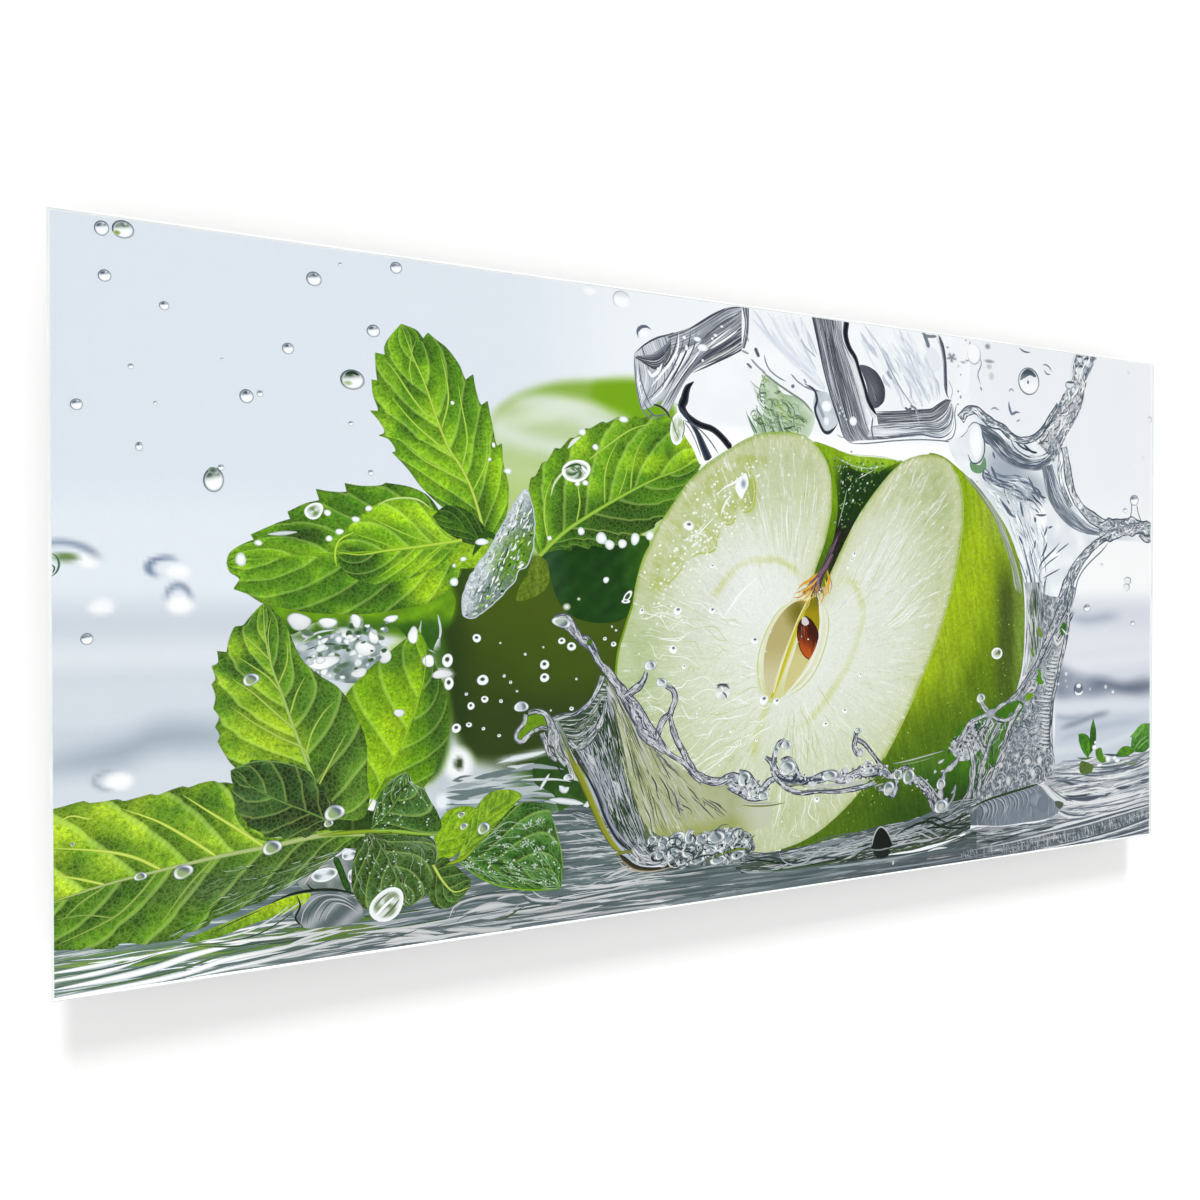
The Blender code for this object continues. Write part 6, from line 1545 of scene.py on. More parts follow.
# water at the right of the splash
blob("print_ripples", [(846, 426), (856, 418), (866, 414), (880, 412), (920, 412), (960, 416), (1000, 410), (1000, 500), (748, 500), (748, 470), (800, 470), (858, 466)], 22,
     lambda x, y: mix(mix((206, 212, 220), (222, 227, 233), 0.5 + 0.5 * clouds(x * 0.3, y, 10, 5)), (120, 132, 142), smoothstep(470, 482, y + (x - 870) * 0.07)), 4.0,
     flow=lambda x, y: np.stack([x, y + 0.10 * (x - 860), x * 0 + 1.3], -1))
right_water = loft([[(858, 414), (890, 418), (930, 420), (965, 420), (1000, 410)], [(862, 440), (900, 440), (940, 442), (1000, 436)], [(872, 468), (910, 470), (950, 468), (1000, 460)]], 70, 30)
streaks("print_marks", right_water, 22.5, 90, [(250, 252, 253), (250, 252, 253), (150, 160, 174), (96, 108, 124), (196, 203, 213)], 54, length=(0.12, 0.55), width=(0.5, 2.2), drift=0.04)
for line, w, tone in (
    ([(858, 431), (875, 433), (890, 438), (905, 441), (925, 441)], [(0, 1.5), (0.4, 4), (0.7, 4.5), (1, 1)], (84, 96, 110)), ([(872, 446), (890, 450), (915, 450), (935, 452), (945, 448)], [(0, 2), (0.3, 6), (0.7, 6), (1, 1)], (66, 78, 90)), ([(945, 445.5), (960, 446), (974, 445)], [(0, 1), (0.5, 4), (1, 1)], (62, 74, 88)),
    ([(984, 444), (992, 443), (999, 442)], 2.4, (84, 96, 110)), ([(895, 462), (915, 467), (940, 469), (970, 466), (998, 462)], 1.6, (104, 116, 128)), ([(862, 456), (872, 463), (886, 468), (904, 469)], 2.0, (84, 96, 108)), ([(890, 415), (910, 421), (935, 424), (960, 423), (985, 416), (1000, 410)], 2.6, (110, 122, 136)),
    ([(895, 427), (930, 430), (960, 428), (1000, 421)], 1.4, (130, 142, 156)), ([(860, 424), (880, 425), (905, 429)], 1.6, (120, 132, 146)), ([(940, 424), (965, 427), (985, 425), (1000, 419)], 2.4, (96, 108, 122)), ([(950, 436), (975, 436), (1000, 431)], 1.2, (140, 150, 164)), ([(880, 460), (905, 462), (940, 460), (975, 455), (1000, 452)], 1.4, (140, 150, 162)), ([(930, 409), (950, 412), (970, 414)], 3, (70, 84, 90)),
    ([(850, 470), (880, 472), (920, 474), (960, 470), (1000, 467)], 1.6, (90, 102, 116)), ([(862, 480), (900, 477), (940, 473), (970, 470), (1000, 468.5)], 2.0, (72, 84, 98)),
):
    strip("print_marks", line, w, 22.8, tone, side=mix(tone, (214, 220, 228), 0.45), taper=(0.35, 0.35))
for line, w in (([(905, 447), (925, 449), (945, 448.5)], 1.3), ([(868, 456), (885, 455), (920, 457), (960, 455), (1000, 452)], 4.0), ([(845, 432), (856, 440), (866, 448), (880, 455), (886, 456)], [(0, 2), (0.4, 6), (0.8, 5), (1, 1)]), ([(858, 449), (862, 458), (872, 466), (886, 470), (905, 471)], 2.6), ([(846, 480), (870, 477), (900, 474)], 3.0), ([(858, 444), (880, 446), (910, 444)], 2.2), ([(835, 479), (850, 480), (880, 477), (930, 472), (1000, 466)], 2.2)):
    strip("print_marks", line, w, 23.0, (253, 254, 255), side=(214, 220, 227), taper=(0.3, 0.4))
for line, w, tone in (([(862, 437), (880, 446), (900, 447), (930, 446), (960, 444)], 2.0, (246, 248, 250)), ([(868, 452), (884, 456), (910, 458), (950, 457), (1000, 452)], 2.6, (250, 251, 252)), ([(872, 448), (884, 451), (906, 453), (926, 452), (944, 449)], [(0, 2), (0.5, 6), (1, 1)], (84, 94, 110)), ([(946, 445), (958, 446.5), (970, 445)], 3.4, (74, 84, 100)), ([(906, 449.5), (920, 450), (934, 451)], 1.4, (232, 236, 240)), ([(862, 431), (880, 432), (896, 434), (912, 438)], 1.8, (104, 116, 132)),
                      ([(864, 460), (884, 464), (904, 466), (940, 466), (1000, 459)], 2.2, (240, 243, 246)), ([(870, 459), (890, 461.5), (920, 463), (960, 462), (1000, 457)], 1.2, (96, 108, 122)), ([(900, 426), (920, 428), (950, 427), (975, 424), (1000, 417)], 2.0, (84, 96, 112)), ([(880, 422), (910, 423), (940, 424)], 1.6, (236, 240, 244)), ([(930, 432), (960, 431), (1000, 424)], 2.0, (246, 248, 250)), ([(940, 438), (970, 437), (1000, 432)], 1.4, (104, 116, 132)), ([(984, 441), (994, 440.5), (1002, 440)], 2.4, (84, 94, 110)), ([(870, 412), (890, 413), (910, 412)], 1.8, (150, 162, 176)), ([(868, 404), (886, 402), (900, 401)], 1.6, (246, 248, 250)), ([(880, 418), (900, 418), (930, 420)], 1.4, (120, 132, 148))):
    strip("print_marks", line, w, 23.3, tone, side=mix(tone, (186, 195, 206), 0.5), taper=(0.35, 0.35))
# the textured band along the lower right
BAND = sheet("print_ripples", [[(700, 489), (750, 488.5), (800, 486), (850, 481), (900, 479), (950, 474), (1000, 468)], [(700, 496), (750, 497), (800, 498.5), (850, 498.5), (900, 496), (950, 492), (1000, 483)]], 23.4,
             ((0, (128, 138, 146)), (0.5, (108, 118, 126)), (1, (132, 142, 152))), amp=0.8, nu=110, nv=10)
rng = np.random.default_rng(61)
for _ in range(330):
    x = rng.uniform(740, 1000)
    f = (x - 700) / 300
    y0 = np.interp(x, [700, 850, 900, 950, 1000], [489, 482, 480, 475, 469])
    y1 = np.interp(x, [700, 800, 850, 900, 950, 1000], [496, 498, 498, 496, 491, 482])
    a, b = sorted(rng.uniform(0, 1, 2))
    if b - a < 0.2:
        b = min(1.0, a + 0.3)
    strip("print_marks", [(x, y0 + (y1 - y0) * a), (x + rng.uniform(0.5, 2.5), y0 + (y1 - y0) * (a + b) / 2), (x + rng.uniform(0, 3), y0 + (y1 - y0) * b)], rng.uniform(0.5, 1.3), 23.7, [(176, 186, 194), (72, 84, 94), (150, 160, 168), (206, 213, 220)][rng.integers(4)], taper=(0.4, 0.4))
for line, w, tone in (
    ([(748, 489), (800, 487), (850, 483), (900, 480), (950, 474.5), (1000, 468.5)], 1.3, (240, 243, 246)), ([(700, 497), (740, 496), (800, 493), (830, 492)], 1.0, (150, 162, 170)), ([(800, 499), (850, 498), (900, 495.5), (950, 491), (1000, 483)], 1.5, (246, 248, 250)),
    ([(850, 496), (900, 494), (950, 489), (1000, 481)], 1.3, (70, 82, 94)), ([(870, 499), (930, 496), (1000, 489)], 1.5, (84, 96, 110)), ([(900, 499.5), (950, 497), (1000, 492)], 1.6, (246, 248, 250)), ([(930, 499), (1000, 495)], 1.6, (96, 108, 122)), ([(858, 481), (900, 478), (950, 472.5), (1000, 467)], 1.4, (84, 96, 108)),
):
    strip("print_marks", line, w, 23.9, tone, side=mix(tone, (150, 160, 168), 0.4), taper=(0.3, 0.02))

# still water along the middle of the foreground
sheet("print_ripples", [[(495, 474), (560, 480), (640, 482), (700, 482), (760, 470)], [(495, 484), (560, 487), (640, 488), (760, 482)], [(495, 499), (640, 499), (760, 499)]], 23.2,
      ((0, (58, 74, 66)), (0.3, (98, 114, 116)), (0.6, (110, 124, 130)), (1, (104, 116, 122))), amp=0.55, nu=80, nv=22, grain=30)
for line, w, tone in (([(500, 482), (540, 484), (600, 486), (660, 486), (700, 484)], 2.4, (150, 166, 170)), ([(500, 490), (560, 492), (620, 492)], 3.6, (140, 156, 162)), ([(520, 486), (580, 489), (640, 490)], 1.6, (78, 92, 92)), ([(620, 494), (700, 495), (760, 493)], 1.4, (138, 150, 158)), ([(500, 496), (560, 497), (600, 497)], 2.4, (86, 100, 106)), ([(700, 484), (712, 482.5), (724, 483)], 2.0, (226, 232, 237)), ([(660, 492), (661, 488)], 2.6, (206, 214, 220)), ([(680, 488), (720, 486), (750, 487)], 2.4, (84, 98, 100)), ([(655, 480), (680, 479), (710, 476), (740, 474)], 4.0, (26, 44, 22))):
    strip("print_flat", line, w, 23.5, tone, side=mix(tone, (116, 130, 134), 0.6), taper=(0.3, 0.3))

over = loft([[(430, 476), (480, 477), (530, 480), (580, 482)], [(420, 488), (480, 488), (540, 489), (600, 489)], [(430, 499), (500, 498.5), (560, 498), (600, 498)]], 60, 20)
streaks("print_marks", over, 24.0, 80, [(110, 126, 130), (128, 142, 147), (150, 162, 168), (92, 108, 112), (120, 134, 138)], 71, length=(0.2, 0.6), width=(1.0, 3.4), drift=0.04)
# the base: interlaced ripples under the apple
sheet("print_water", [[(500, 462), (530, 465), (560, 464), (600, 460), (640, 455), (680, 452), (720, 445), (752, 436)], [(500, 472), (560, 474), (640, 468), (700, 464), (752, 452)], [(500, 482), (560, 483), (640, 482), (700, 479), (752, 470)]], 24,
      ((0, (80, 96, 92)), (0.3, (104, 120, 124)), (0.6, (80, 100, 86)), (1, (60, 76, 62))), amp=1.1, nu=90, nv=20)
base = loft([[(500, 463), (540, 467), (600, 462), (640, 458), (680, 454), (720, 448), (752, 438)], [(500, 480), (540, 482), (600, 482), (640, 481), (700, 478), (752, 468)]], 100, 20)


def base_point(u, v):
    i = np.clip(np.asarray(u) * (base.shape[0] - 1), 0, base.shape[0] - 1.001)
    j = np.clip(np.asarray(v) * (base.shape[1] - 1), 0, base.shape[1] - 1.001)
    a, b = i.astype(int), j.astype(int)
    f, g = (i - a)[..., None], (j - b)[..., None]
    return (base[a, b] * (1 - f) + base[a + 1, b] * f) * (1 - g) + (base[a, b + 1] * (1 - f) + base[a + 1, b + 1] * f) * g


rng = np.random.default_rng(71)
for k in range(64):
    u0, span = rng.uniform(-0.05, 0.9), rng.uniform(0.12, 0.4)
    u = np.clip(np.linspace(u0, u0 + span, 50), 0, 1)
    v = rng.uniform(0.05, 0.95) + rng.uniform(0.08, 0.3) * np.sin(np.linspace(0, rng.uniform(2, 5), 50) + rng.uniform(0, 6.28))
    line = base_point(u, v)
    line = line[np.concatenate([[True], np.hypot(*np.diff(line, axis=0).T) > 0.2])]
    if len(line) < 6:
        continue
    tone = [(24, 38, 26), (186, 197, 206), (30, 46, 34), (150, 164, 174), (228, 233, 238), (70, 100, 40), (206, 213, 220)][k % 7]
    strip("print_marks", line, rng.uniform(0.6, 2.2), 24.4 + 0.01 * k, tone, side=mix(tone, (110, 126, 128), 0.4), taper=(0.3, 0.3))
for line, w, tone in (
    ([(500, 462), (512, 468), (530, 470), (545, 475), (560, 478), (580, 476), (600, 478), (622, 477)], 2.2, (60, 76, 78)), ([(538, 466), (542, 474), (552, 479), (566, 478), (574, 472), (588, 468), (606, 472), (620, 478)], 1.6, (206, 213, 220)), ([(672, 470), (676, 464), (690, 461), (704, 466), (716, 473)], 2.4, (200, 208, 216)), ([(676, 468), (688, 465), (700, 470), (706, 473), (690, 474), (678, 471)], 1.5, (230, 235, 239)),
    ([(660, 458), (680, 456), (700, 450), (720, 446), (745, 444)], 3.4, (120, 134, 142)), ([(662, 466), (676, 460), (700, 456), (716, 462), (736, 466), (752, 464)], 2.6, (34, 50, 36)), ([(505, 452), (500, 462), (504, 472)], 1.4, (160, 172, 180)), ([(500, 470), (506, 462), (509, 458)], 3.0, (240, 243, 246)), ([(575, 466), (600, 463), (620, 462), (634, 462)], 1.6, (150, 164, 172)), ([(574, 461), (600, 458), (625, 458)], 1.2, (100, 116, 112)),
):
    strip("print_marks", line, w, 25.2, tone, side=mix(tone, (90, 106, 104), 0.4), taper=(0.3, 0.3))
# the egg-shaped dark drop and its reflection
blob("print_drops", [(636, 474), (637, 467), (640, 460), (645, 455.5), (651, 457), (655, 463), (658, 470), (659, 474), (650, 475.5), (642, 475)], 25.8, (20, 26, 22), 3)
strip("print_marks", [(636.5, 472), (638, 465), (641, 459), (645.5, 455.5), (650, 457), (654.5, 462), (657.5, 468)], 1.4, 26.0, (236, 240, 243), side=(150, 160, 160), taper=(0.2, 0.3))
blob("print_drops", [(638, 477), (646, 476), (655, 477), (657, 480), (652, 484), (644, 484), (640, 481)], 25.6, (28, 36, 32), 3)
strip("print_marks", [(636, 475.5), (646, 476.5), (658, 475.5)], 1.0, 26.0, (170, 180, 180), taper=(0.2, 0.2))

# the right sheet
SHEET_R = sheet("print_foam", [[(834, 240), (838, 262), (836, 290), (828, 315), (818, 330), (810, 345), (800, 358), (790, 372), (776, 395), (758, 430)], [(858, 246), (860, 270), (854, 300), (846, 325), (838, 350), (828, 375), (816, 400), (800, 440)], [(886, 246), (880, 270), (876, 292), (868, 315), (862, 336), (857, 356), (856, 378), (857, 402), (858, 425)]], 22.2,
                ((0, (172, 182, 192)), (0.3, (156, 166, 177)), (0.6, (176, 186, 196)), (0.85, (226, 231, 236)), (1, (150, 160, 172))), amp=1.25, nu=120, nv=30)
sheet("print_water", [[(820, 232), (822, 250), (822, 270), (821, 290), (820, 310), (817, 325)], [(828, 232), (832, 252), (834, 272), (834, 292), (832, 308), (826, 322)], [(842, 232), (845, 252), (846, 272), (844, 290), (840, 306), (834, 320)]], 22.5,
      ((0, (226, 231, 236)), (0.4, (206, 213, 216)), (1, (150, 162, 168))), amp=1.5, nu=60, nv=16)
streaks("print_marks", loft([[(822, 240), (824, 262), (828, 284), (832, 306)], [(836, 236), (838, 262), (840, 284), (840, 304)]], 50, 12), 22.8, 56, [(252, 253, 254), (84, 98, 110), (96, 130, 60), (150, 162, 172), (60, 80, 60)], 56, length=(0.15, 0.5), width=(0.5, 1.8), drift=0.05)
cross = loft([[(884, 250), (872, 262), (858, 278), (844, 296), (830, 314), (814, 334), (800, 350)], [(888, 262), (876, 280), (862, 296), (848, 312), (836, 330), (822, 346), (806, 362)]], 80, 20)
streaks("print_marks", cross, 22.8, 130, [(76, 90, 104), (104, 118, 130), (246, 248, 250), (196, 204, 212), (52, 66, 80)], 57, length=(0.06, 0.26), width=(0.4, 1.3), drift=0.08)
body = loft([[(842, 300), (830, 330), (812, 356), (800, 380), (792, 405)], [(856, 312), (848, 345), (836, 375), (826, 400), (816, 420)], [(868, 318), (861, 345), (857, 372), (856, 395), (856, 415)]], 60, 30)
streaks("print_marks", body, 22.8, 260, [(96, 108, 120), (70, 82, 94), (226, 231, 236), (196, 203, 211), (120, 132, 142)], 58, length=(0.02, 0.10), width=(0.4, 1.1), drift=0.16, nudge=0.6)
for k in range(26):
    y = 305 + 3.8 * k
    edge = np.interp(y, [300, 336, 356, 400], [869, 861, 856, 856])
    long = 10 + 12 * float(hash01(k, 5))
    strip("print_marks", [(edge - 2, y), (edge - 2 - long * 0.5, y - 1 + 2 * float(hash01(k, 2))), (edge - 3 - long, y - 3 * float(hash01(k, 3)))], [(0, 1.5), (0.4, 3.2 - 1.5 * float(hash01(k, 4))), (1, 0.6)], 23.0, (250, 252, 253), side=(216, 222, 228), taper=(0.2, 0.3))
    strip("print_marks", [(edge - 1, y + 1.9), (edge - 8, y + 1.4), (edge - 2 - long, y - 1)], 0.9, 23.1, (84, 98, 108), taper=(0.2, 0.5))
rope([(886, 236), (881, 252), (879, 272), (875, 292), (869, 312), (863, 334), (858, 354), (856, 378), (857, 400), (859, 412), (856, 424)], [(0, 5), (0.3, 4), (0.7, 3), (1, 3.5)], 23.3, seed=14, tone=(150, 160, 172), edge=1.0)
rope([(876, 246), (868, 262), (857, 280), (846, 298), (836, 316)], [(0, 12), (0.5, 8), (1, 5)], 23.2, seed=15, tone=(140, 152, 164), edge=1.0, dots=1.4)
for pts, tone in (([(872, 272), (876, 274), (875, 282), (870, 285), (868, 280)], (52, 112, 30)), ([(838, 318), (842, 320), (843, 327), (846, 332), (838, 333), (836, 328), (839, 324)], (80, 140, 20)), ([(822, 344), (827, 341), (833, 343), (829, 347), (823, 349)], (110, 160, 20)), ([(838, 276), (842, 279), (844, 286), (840, 286)], (110, 150, 40)), ([(782, 360), (790, 354), (800, 352), (802, 358), (794, 364), (786, 365)], (124, 168, 20)), ([(828, 296), (832, 300), (834, 306), (830, 304)], (96, 140, 50))):
    blob("print_skin", pts, 23.6, tone, 2.0, step=0.8)
for line, w in (([(836, 338), (830, 336), (824, 340)], 2.6), ([(870, 278), (878, 284), (882, 280)], 1.8), ([(866, 290), (860, 286), (864, 294), (872, 288)], 3.0), ([(838, 330), (834, 338), (828, 342)], 1.2)):
    strip("print_marks", line, w, 23.8, (252, 253, 254), side=(220, 226, 230), taper=(0.3, 0.3))

# the green reach below it, crossed by strands
blob("print_skin", [(735, 372), (748, 366), (760, 356), (780, 352), (800, 350), (812, 348), (820, 352), (812, 364), (802, 378), (794, 396), (786, 415), (776, 436), (760, 444), (740, 448), (722, 446), (715, 430), (718, 405)], 24.0,
     lambda x, y: mix(mix((76, 128, 16), (48, 96, 18), 0.5 + 0.5 * clouds(x, y, 12, 6)), (36, 66, 22), smoothstep(400, 445, y)), 3.0, flow=lambda x, y: np.stack([y, x, x * 0 + 0.2], -1))
down = loft([[(756, 362), (752, 384), (752, 405), (748, 430), (744, 446)], [(782, 366), (774, 388), (768, 408), (762, 430), (756, 446)], [(814, 356), (800, 378), (790, 400), (780, 424), (770, 444)]], 50, 34)
streaks("print_marks", down, 24.5, 150, [(206, 214, 218), (246, 248, 250), (60, 84, 60), (130, 150, 140), (170, 182, 186)], 59, length=(0.06, 0.3), width=(0.5, 1.9), drift=0.08, nudge=1.0)
for seed, path, w in ((21, [(816, 352), (804, 368), (796, 386), (788, 404), (780, 424)], 5), (22, [(790, 366), (778, 384), (770, 402), (764, 420), (762, 438)], 5), (23, [(754, 370), (762, 384), (768, 394), (772, 402)], 6), (24, [(744, 380), (752, 392), (756, 408), (754, 426), (748, 442)], 6), (25, [(796, 398), (788, 408), (776, 416), (768, 430)], 4), (26, [(806, 372), (798, 388), (792, 402)], 3)):
    rope(path, w, 24.6, seed=seed, tone=(176, 186, 190), edge=0.8)
# the star of water on the skin and its arm
for seed, path, w in ((31, [(764, 343), (767, 350), (772, 356), (778, 360)], 4.5), (32, [(778, 360), (790, 352), (806, 346), (818, 334)], 4), (33, [(778, 360), (772, 370), (764, 378), (758, 388)], 4.5), (34, [(776, 358), (764, 362), (752, 366), (742, 378), (732, 390)], 4), (35, [(778, 360), (788, 366), (800, 366), (810, 360)], 3.5), (36, [(818, 334), (806, 344), (796, 350)], 3)):
    rope(path, w, 24.9, seed=seed, tone=(206, 213, 217), edge=0.7)
bead(764.5, 343.5, 5, 5, 25.6, tone=(200, 212, 190), seed=1.0)
disc("print_marks", 777, 359, 6, 4.5, 25.6, lambda R, A: mix((214, 220, 226), (176, 186, 196), R), rings=3, n=16, wobble=0.15)
sheet("print_foam", [[(728, 384), (738, 378), (748, 370), (756, 366)], [(728, 392), (740, 396), (752, 390), (762, 380)], [(738, 402), (750, 402), (762, 394), (768, 386)]], 24.8, ((0, (196, 204, 210)), (1, (216, 222, 227))), amp=1.4, nu=30, nv=14)
speckle([(730, 388, 5), (742, 386, 9), (752, 380, 10), (762, 372, 8), (778, 360, 5)], 25.2, 120, 81)
rope([(735, 402), (728, 406), (722, 410), (716, 410)], [(0, 5), (1, 2.5)], 25.4, seed=37, tone=(236, 240, 243), edge=0.6)
# curls at the foot of the sheet
blob("print_foam", [(758, 432), (772, 424), (790, 412), (802, 398), (830, 396), (852, 398), (858, 404), (859, 414), (856, 424), (848, 430), (830, 432), (800, 438), (775, 442), (760, 444)], 24.7,
     lambda x, y: mix((128, 140, 150), (160, 170, 180), 0.5 + 0.5 * clouds(x, y, 9, 4)), 2.5, flow=lambda x, y: np.stack([y, x, x * 0 + 1.3], -1))
for cx, cy, r in ((842, 409, 9), (824, 409, 8), (790, 425, 8), (805, 422, 9), (818, 426, 7), (838, 421, 8), (776, 432, 7), (852, 411, 6)):
    for k in range(4):
        q = r * (1 - 0.2 * k)
        strip("print_marks", [(cx - q, cy + q * 0.3), (cx - q * 0.7, cy - q * 0.7), (cx + q * 0.2, cy - q), (cx + q * 0.9, cy - q * 0.3), (cx + q * 0.8, cy + q * 0.7)], 0.9, 25.0, ((206, 213, 220), (84, 98, 108), (176, 186, 195), (100, 114, 124))[k], taper=(0.3, 0.3))
for x, y, a, b in ((841, 409, 3.5, 4.5), (825, 409, 3.8, 3.6), (832, 421, 3, 4.5), (790, 410, 3.5, 3), (800, 426, 3, 5), (789, 426, 2, 3)):
    disc("print_marks", x, y, a, b, 25.3, lambda R, A: mix((254, 255, 255), (200, 208, 216), R**3), rings=3, n=16, wobble=0.08, seed=x)
# the ribbed swell under them
blob("print_water", [(736, 458), (750, 450), (764, 444), (784, 440), (805, 437), (828, 434), (846, 433), (858, 440), (866, 452), (868, 462), (852, 468), (820, 469), (790, 469), (764, 466), (748, 464)], 24.2,
     lambda x, y: mix(mix((96, 112, 122), (140, 154, 168), smoothstep(750, 800, x)), (150, 162, 176), 0.3 + 0.4 * clouds(x, y, 14, 2)), 3.0, flow=lambda x, y: np.stack([y + x, x, x * 0 + 0.5], -1))
rng = np.random.default_rng(171)
for k in range(13):
    a = 757 + 5.6 * k + rng.uniform(-1.2, 1.2)
    top, bend, fade = 442 - 0.7 * k + rng.uniform(-1, 1), rng.uniform(9, 14), 1 - 0.055 * k
    for off, tone, w in ((0, (70, 84, 96), 1.3), (1.9, (212, 219, 226), rng.uniform(1.0, 2.2))):
        strip("print_marks", [(a + off, top), (a + off + bend * 0.75, top + 5), (a + off + bend, top + 12), (a + off + bend * 0.7, top + 21)], w * fade, 25.0, tone, side=mix(tone, (134, 147, 160), 0.5), taper=(0.25, 0.45))
for x, y, a, b, tone in ((771, 451, 6, 5, (190, 200, 212)), (838, 448, 13, 9, (164, 176, 190)), (846, 453, 8, 8, (140, 152, 168))):
    disc("print_water", x, y, a, b, 24.9, lambda R, A, tone=tone: mix(tone, (132, 145, 158), smoothstep(0.4, 1.0, R)), rings=4, n=24, wobble=0.05, seed=x)
strip("print_marks", [(750, 448), (775, 442), (800, 438), (828, 434), (846, 431)], 2.2, 25.2, (44, 70, 30), taper=(0.3, 0.2))
streaks("print_marks", loft([[(745, 468), (790, 471), (840, 470), (872, 470)], [(745, 484), (790, 484), (830, 480), (860, 478)]], 60, 14), 25.1, 60, [(70, 84, 90), (196, 204, 211), (96, 110, 116), (150, 162, 170), (54, 70, 60)], 62, length=(0.1, 0.5), width=(0.5, 1.6), drift=0.05)
strip("print_marks", [(838, 432), (848, 436), (858, 445), (868, 452), (884, 458)], [(0, 3), (0.3, 7), (0.7, 6), (1, 2)], 25.4, (253, 254, 255), side=(206, 213, 220), taper=(0.2, 0.3))
strip("print_marks", [(852, 434), (862, 442), (874, 449), (888, 455)], 1.1, 25.5, (84, 96, 108), taper=(0.2, 0.3))
blob("print_marks", [(862, 452), (868, 452), (874, 455), (870, 460), (865, 458)], 25.4, (90, 104, 84), 2)
streaks("print_marks", loft([[(716, 446), (730, 440), (745, 438), (760, 440)], [(716, 460), (735, 456), (752, 452), (770, 446)]], 30, 12), 25.1, 40, [(120, 134, 142), (206, 214, 219), (40, 60, 40), (84, 100, 104)], 63, length=(0.2, 0.6), width=(0.5, 1.6), drift=0.06)
# a thin film over the skin's far edge
film = loft([[(742, 130), (760, 146), (778, 166), (792, 190), (802, 215), (808, 240)], [(752, 134), (770, 150), (788, 172), (802, 198), (812, 222), (818, 245)]], 60, 10)
streaks("print_marks", film, 22.0, 120, [(176, 192, 160), (206, 216, 200), (150, 172, 110), (160, 176, 150), (222, 230, 222), (196, 206, 196)], 64, length=(0.1, 0.5), width=(0.5, 2.0), drift=0.05)


# ---------------------------------------------------------------- the print: the splash in front


# the torn sheet at the left
LEFT_SHEET = sheet("print_water", [[(374, 308), (380, 325), (385, 345), (390, 368), (396, 392), (402, 415), (408, 436), (416, 452)], [(384, 314), (393, 335), (402, 358), (412, 384), (424, 410), (436, 434), (444, 450)], [(392, 322), (402, 342), (418, 364), (440, 384), (458, 396), (480, 420), (490, 446)]], 26,
             ((0, (96, 116, 72)), (0.25, (140, 152, 104)), (0.6, (176, 186, 120)), (1, (206, 213, 156))), amp=1.05, nu=100, nv=36)
blob("print_water", [(392, 326), (400, 345), (412, 362), (430, 376), (446, 388), (458, 397), (474, 402), (492, 400), (508, 412), (530, 424), (528, 440), (500, 446), (470, 446), (430, 442), (412, 430), (400, 400), (392, 365), (386, 335)], 26.2,
     lambda x, y: mix(mix(mix((186, 196, 136), (222, 228, 190), 0.5 + 0.5 * clouds(x, y, 14, 3)), (176, 188, 84), smoothstep(425, 446, y) * 0.8), (238, 244, 220), smoothstep(488, 520, x) * 0.9), 3.0,
     flow=lambda x, y: np.stack([x * 0.5 + y * 0.9, x * 0.9 - y * 0.5, x * 0 + 0.75 * smoothstep(500, 420, x)], -1))
fan = loft([[(378, 312), (388, 340), (398, 375), (408, 410), (416, 440)], [(382, 316), (396, 344), (412, 378), (428, 410), (440, 436)], [(386, 320), (402, 348), (426, 378), (454, 408), (476, 432)], [(390, 324), (408, 356), (440, 388), (474, 412), (505, 426)]], 80, 40)
streaks("print_marks", fan, 26.6, 120, [(96, 108, 92), (74, 88, 84), (206, 213, 196), (226, 231, 222), (150, 160, 110), (120, 132, 90), (214, 220, 206)], 91, length=(0.06, 0.32), width=(0.4, 1.5), drift=0.03)
for line, w in (([(424, 378), (430, 388), (434, 396)], 1.6), ([(420, 372), (426, 380)], 1.2), ([(437, 404), (440, 416), (443, 426)], [(0, 1), (0.7, 3.2), (1, 1.5)]), ([(434, 402), (438, 410)], 1.3), ([(414, 366), (420, 378), (426, 390)], 1.0), ([(464, 415), (466, 420)], 1.6), ([(440, 418), (446, 422)], 1.6)):
    strip("print_marks", line, w, 26.9, (96, 106, 104), side=(196, 203, 190), taper=(0.3, 0.3))
# the dark green hollow behind its rim
HOLLOW = sheet("print_water", [[(346, 348), (352, 368), (366, 392), (374, 414), (384, 436), (396, 452)], [(364, 340), (370, 365), (382, 392), (392, 418), (402, 440), (410, 452)], [(376, 312), (383, 335), (389, 365), (395, 395), (404, 425), (416, 452)]], 26.4,
               ((0, (56, 78, 62)), (0.4, (44, 78, 38)), (0.7, (40, 74, 30)), (1, (96, 116, 78))), amp=1.35, nu=90, nv=26)
lines = loft([[(352, 356), (364, 384), (374, 412), (388, 440), (400, 454)], [(378, 320), (386, 350), (394, 385), (404, 420), (416, 452)]], 70, 24)
streaks("print_marks", lines, 26.9, 190, [(176, 184, 200), (226, 230, 238), (26, 48, 24), (110, 126, 120), (206, 212, 222), (40, 70, 30), (84, 100, 96)], 92, length=(0.06, 0.34), width=(0.4, 1.5), drift=0.05, nudge=0.5)
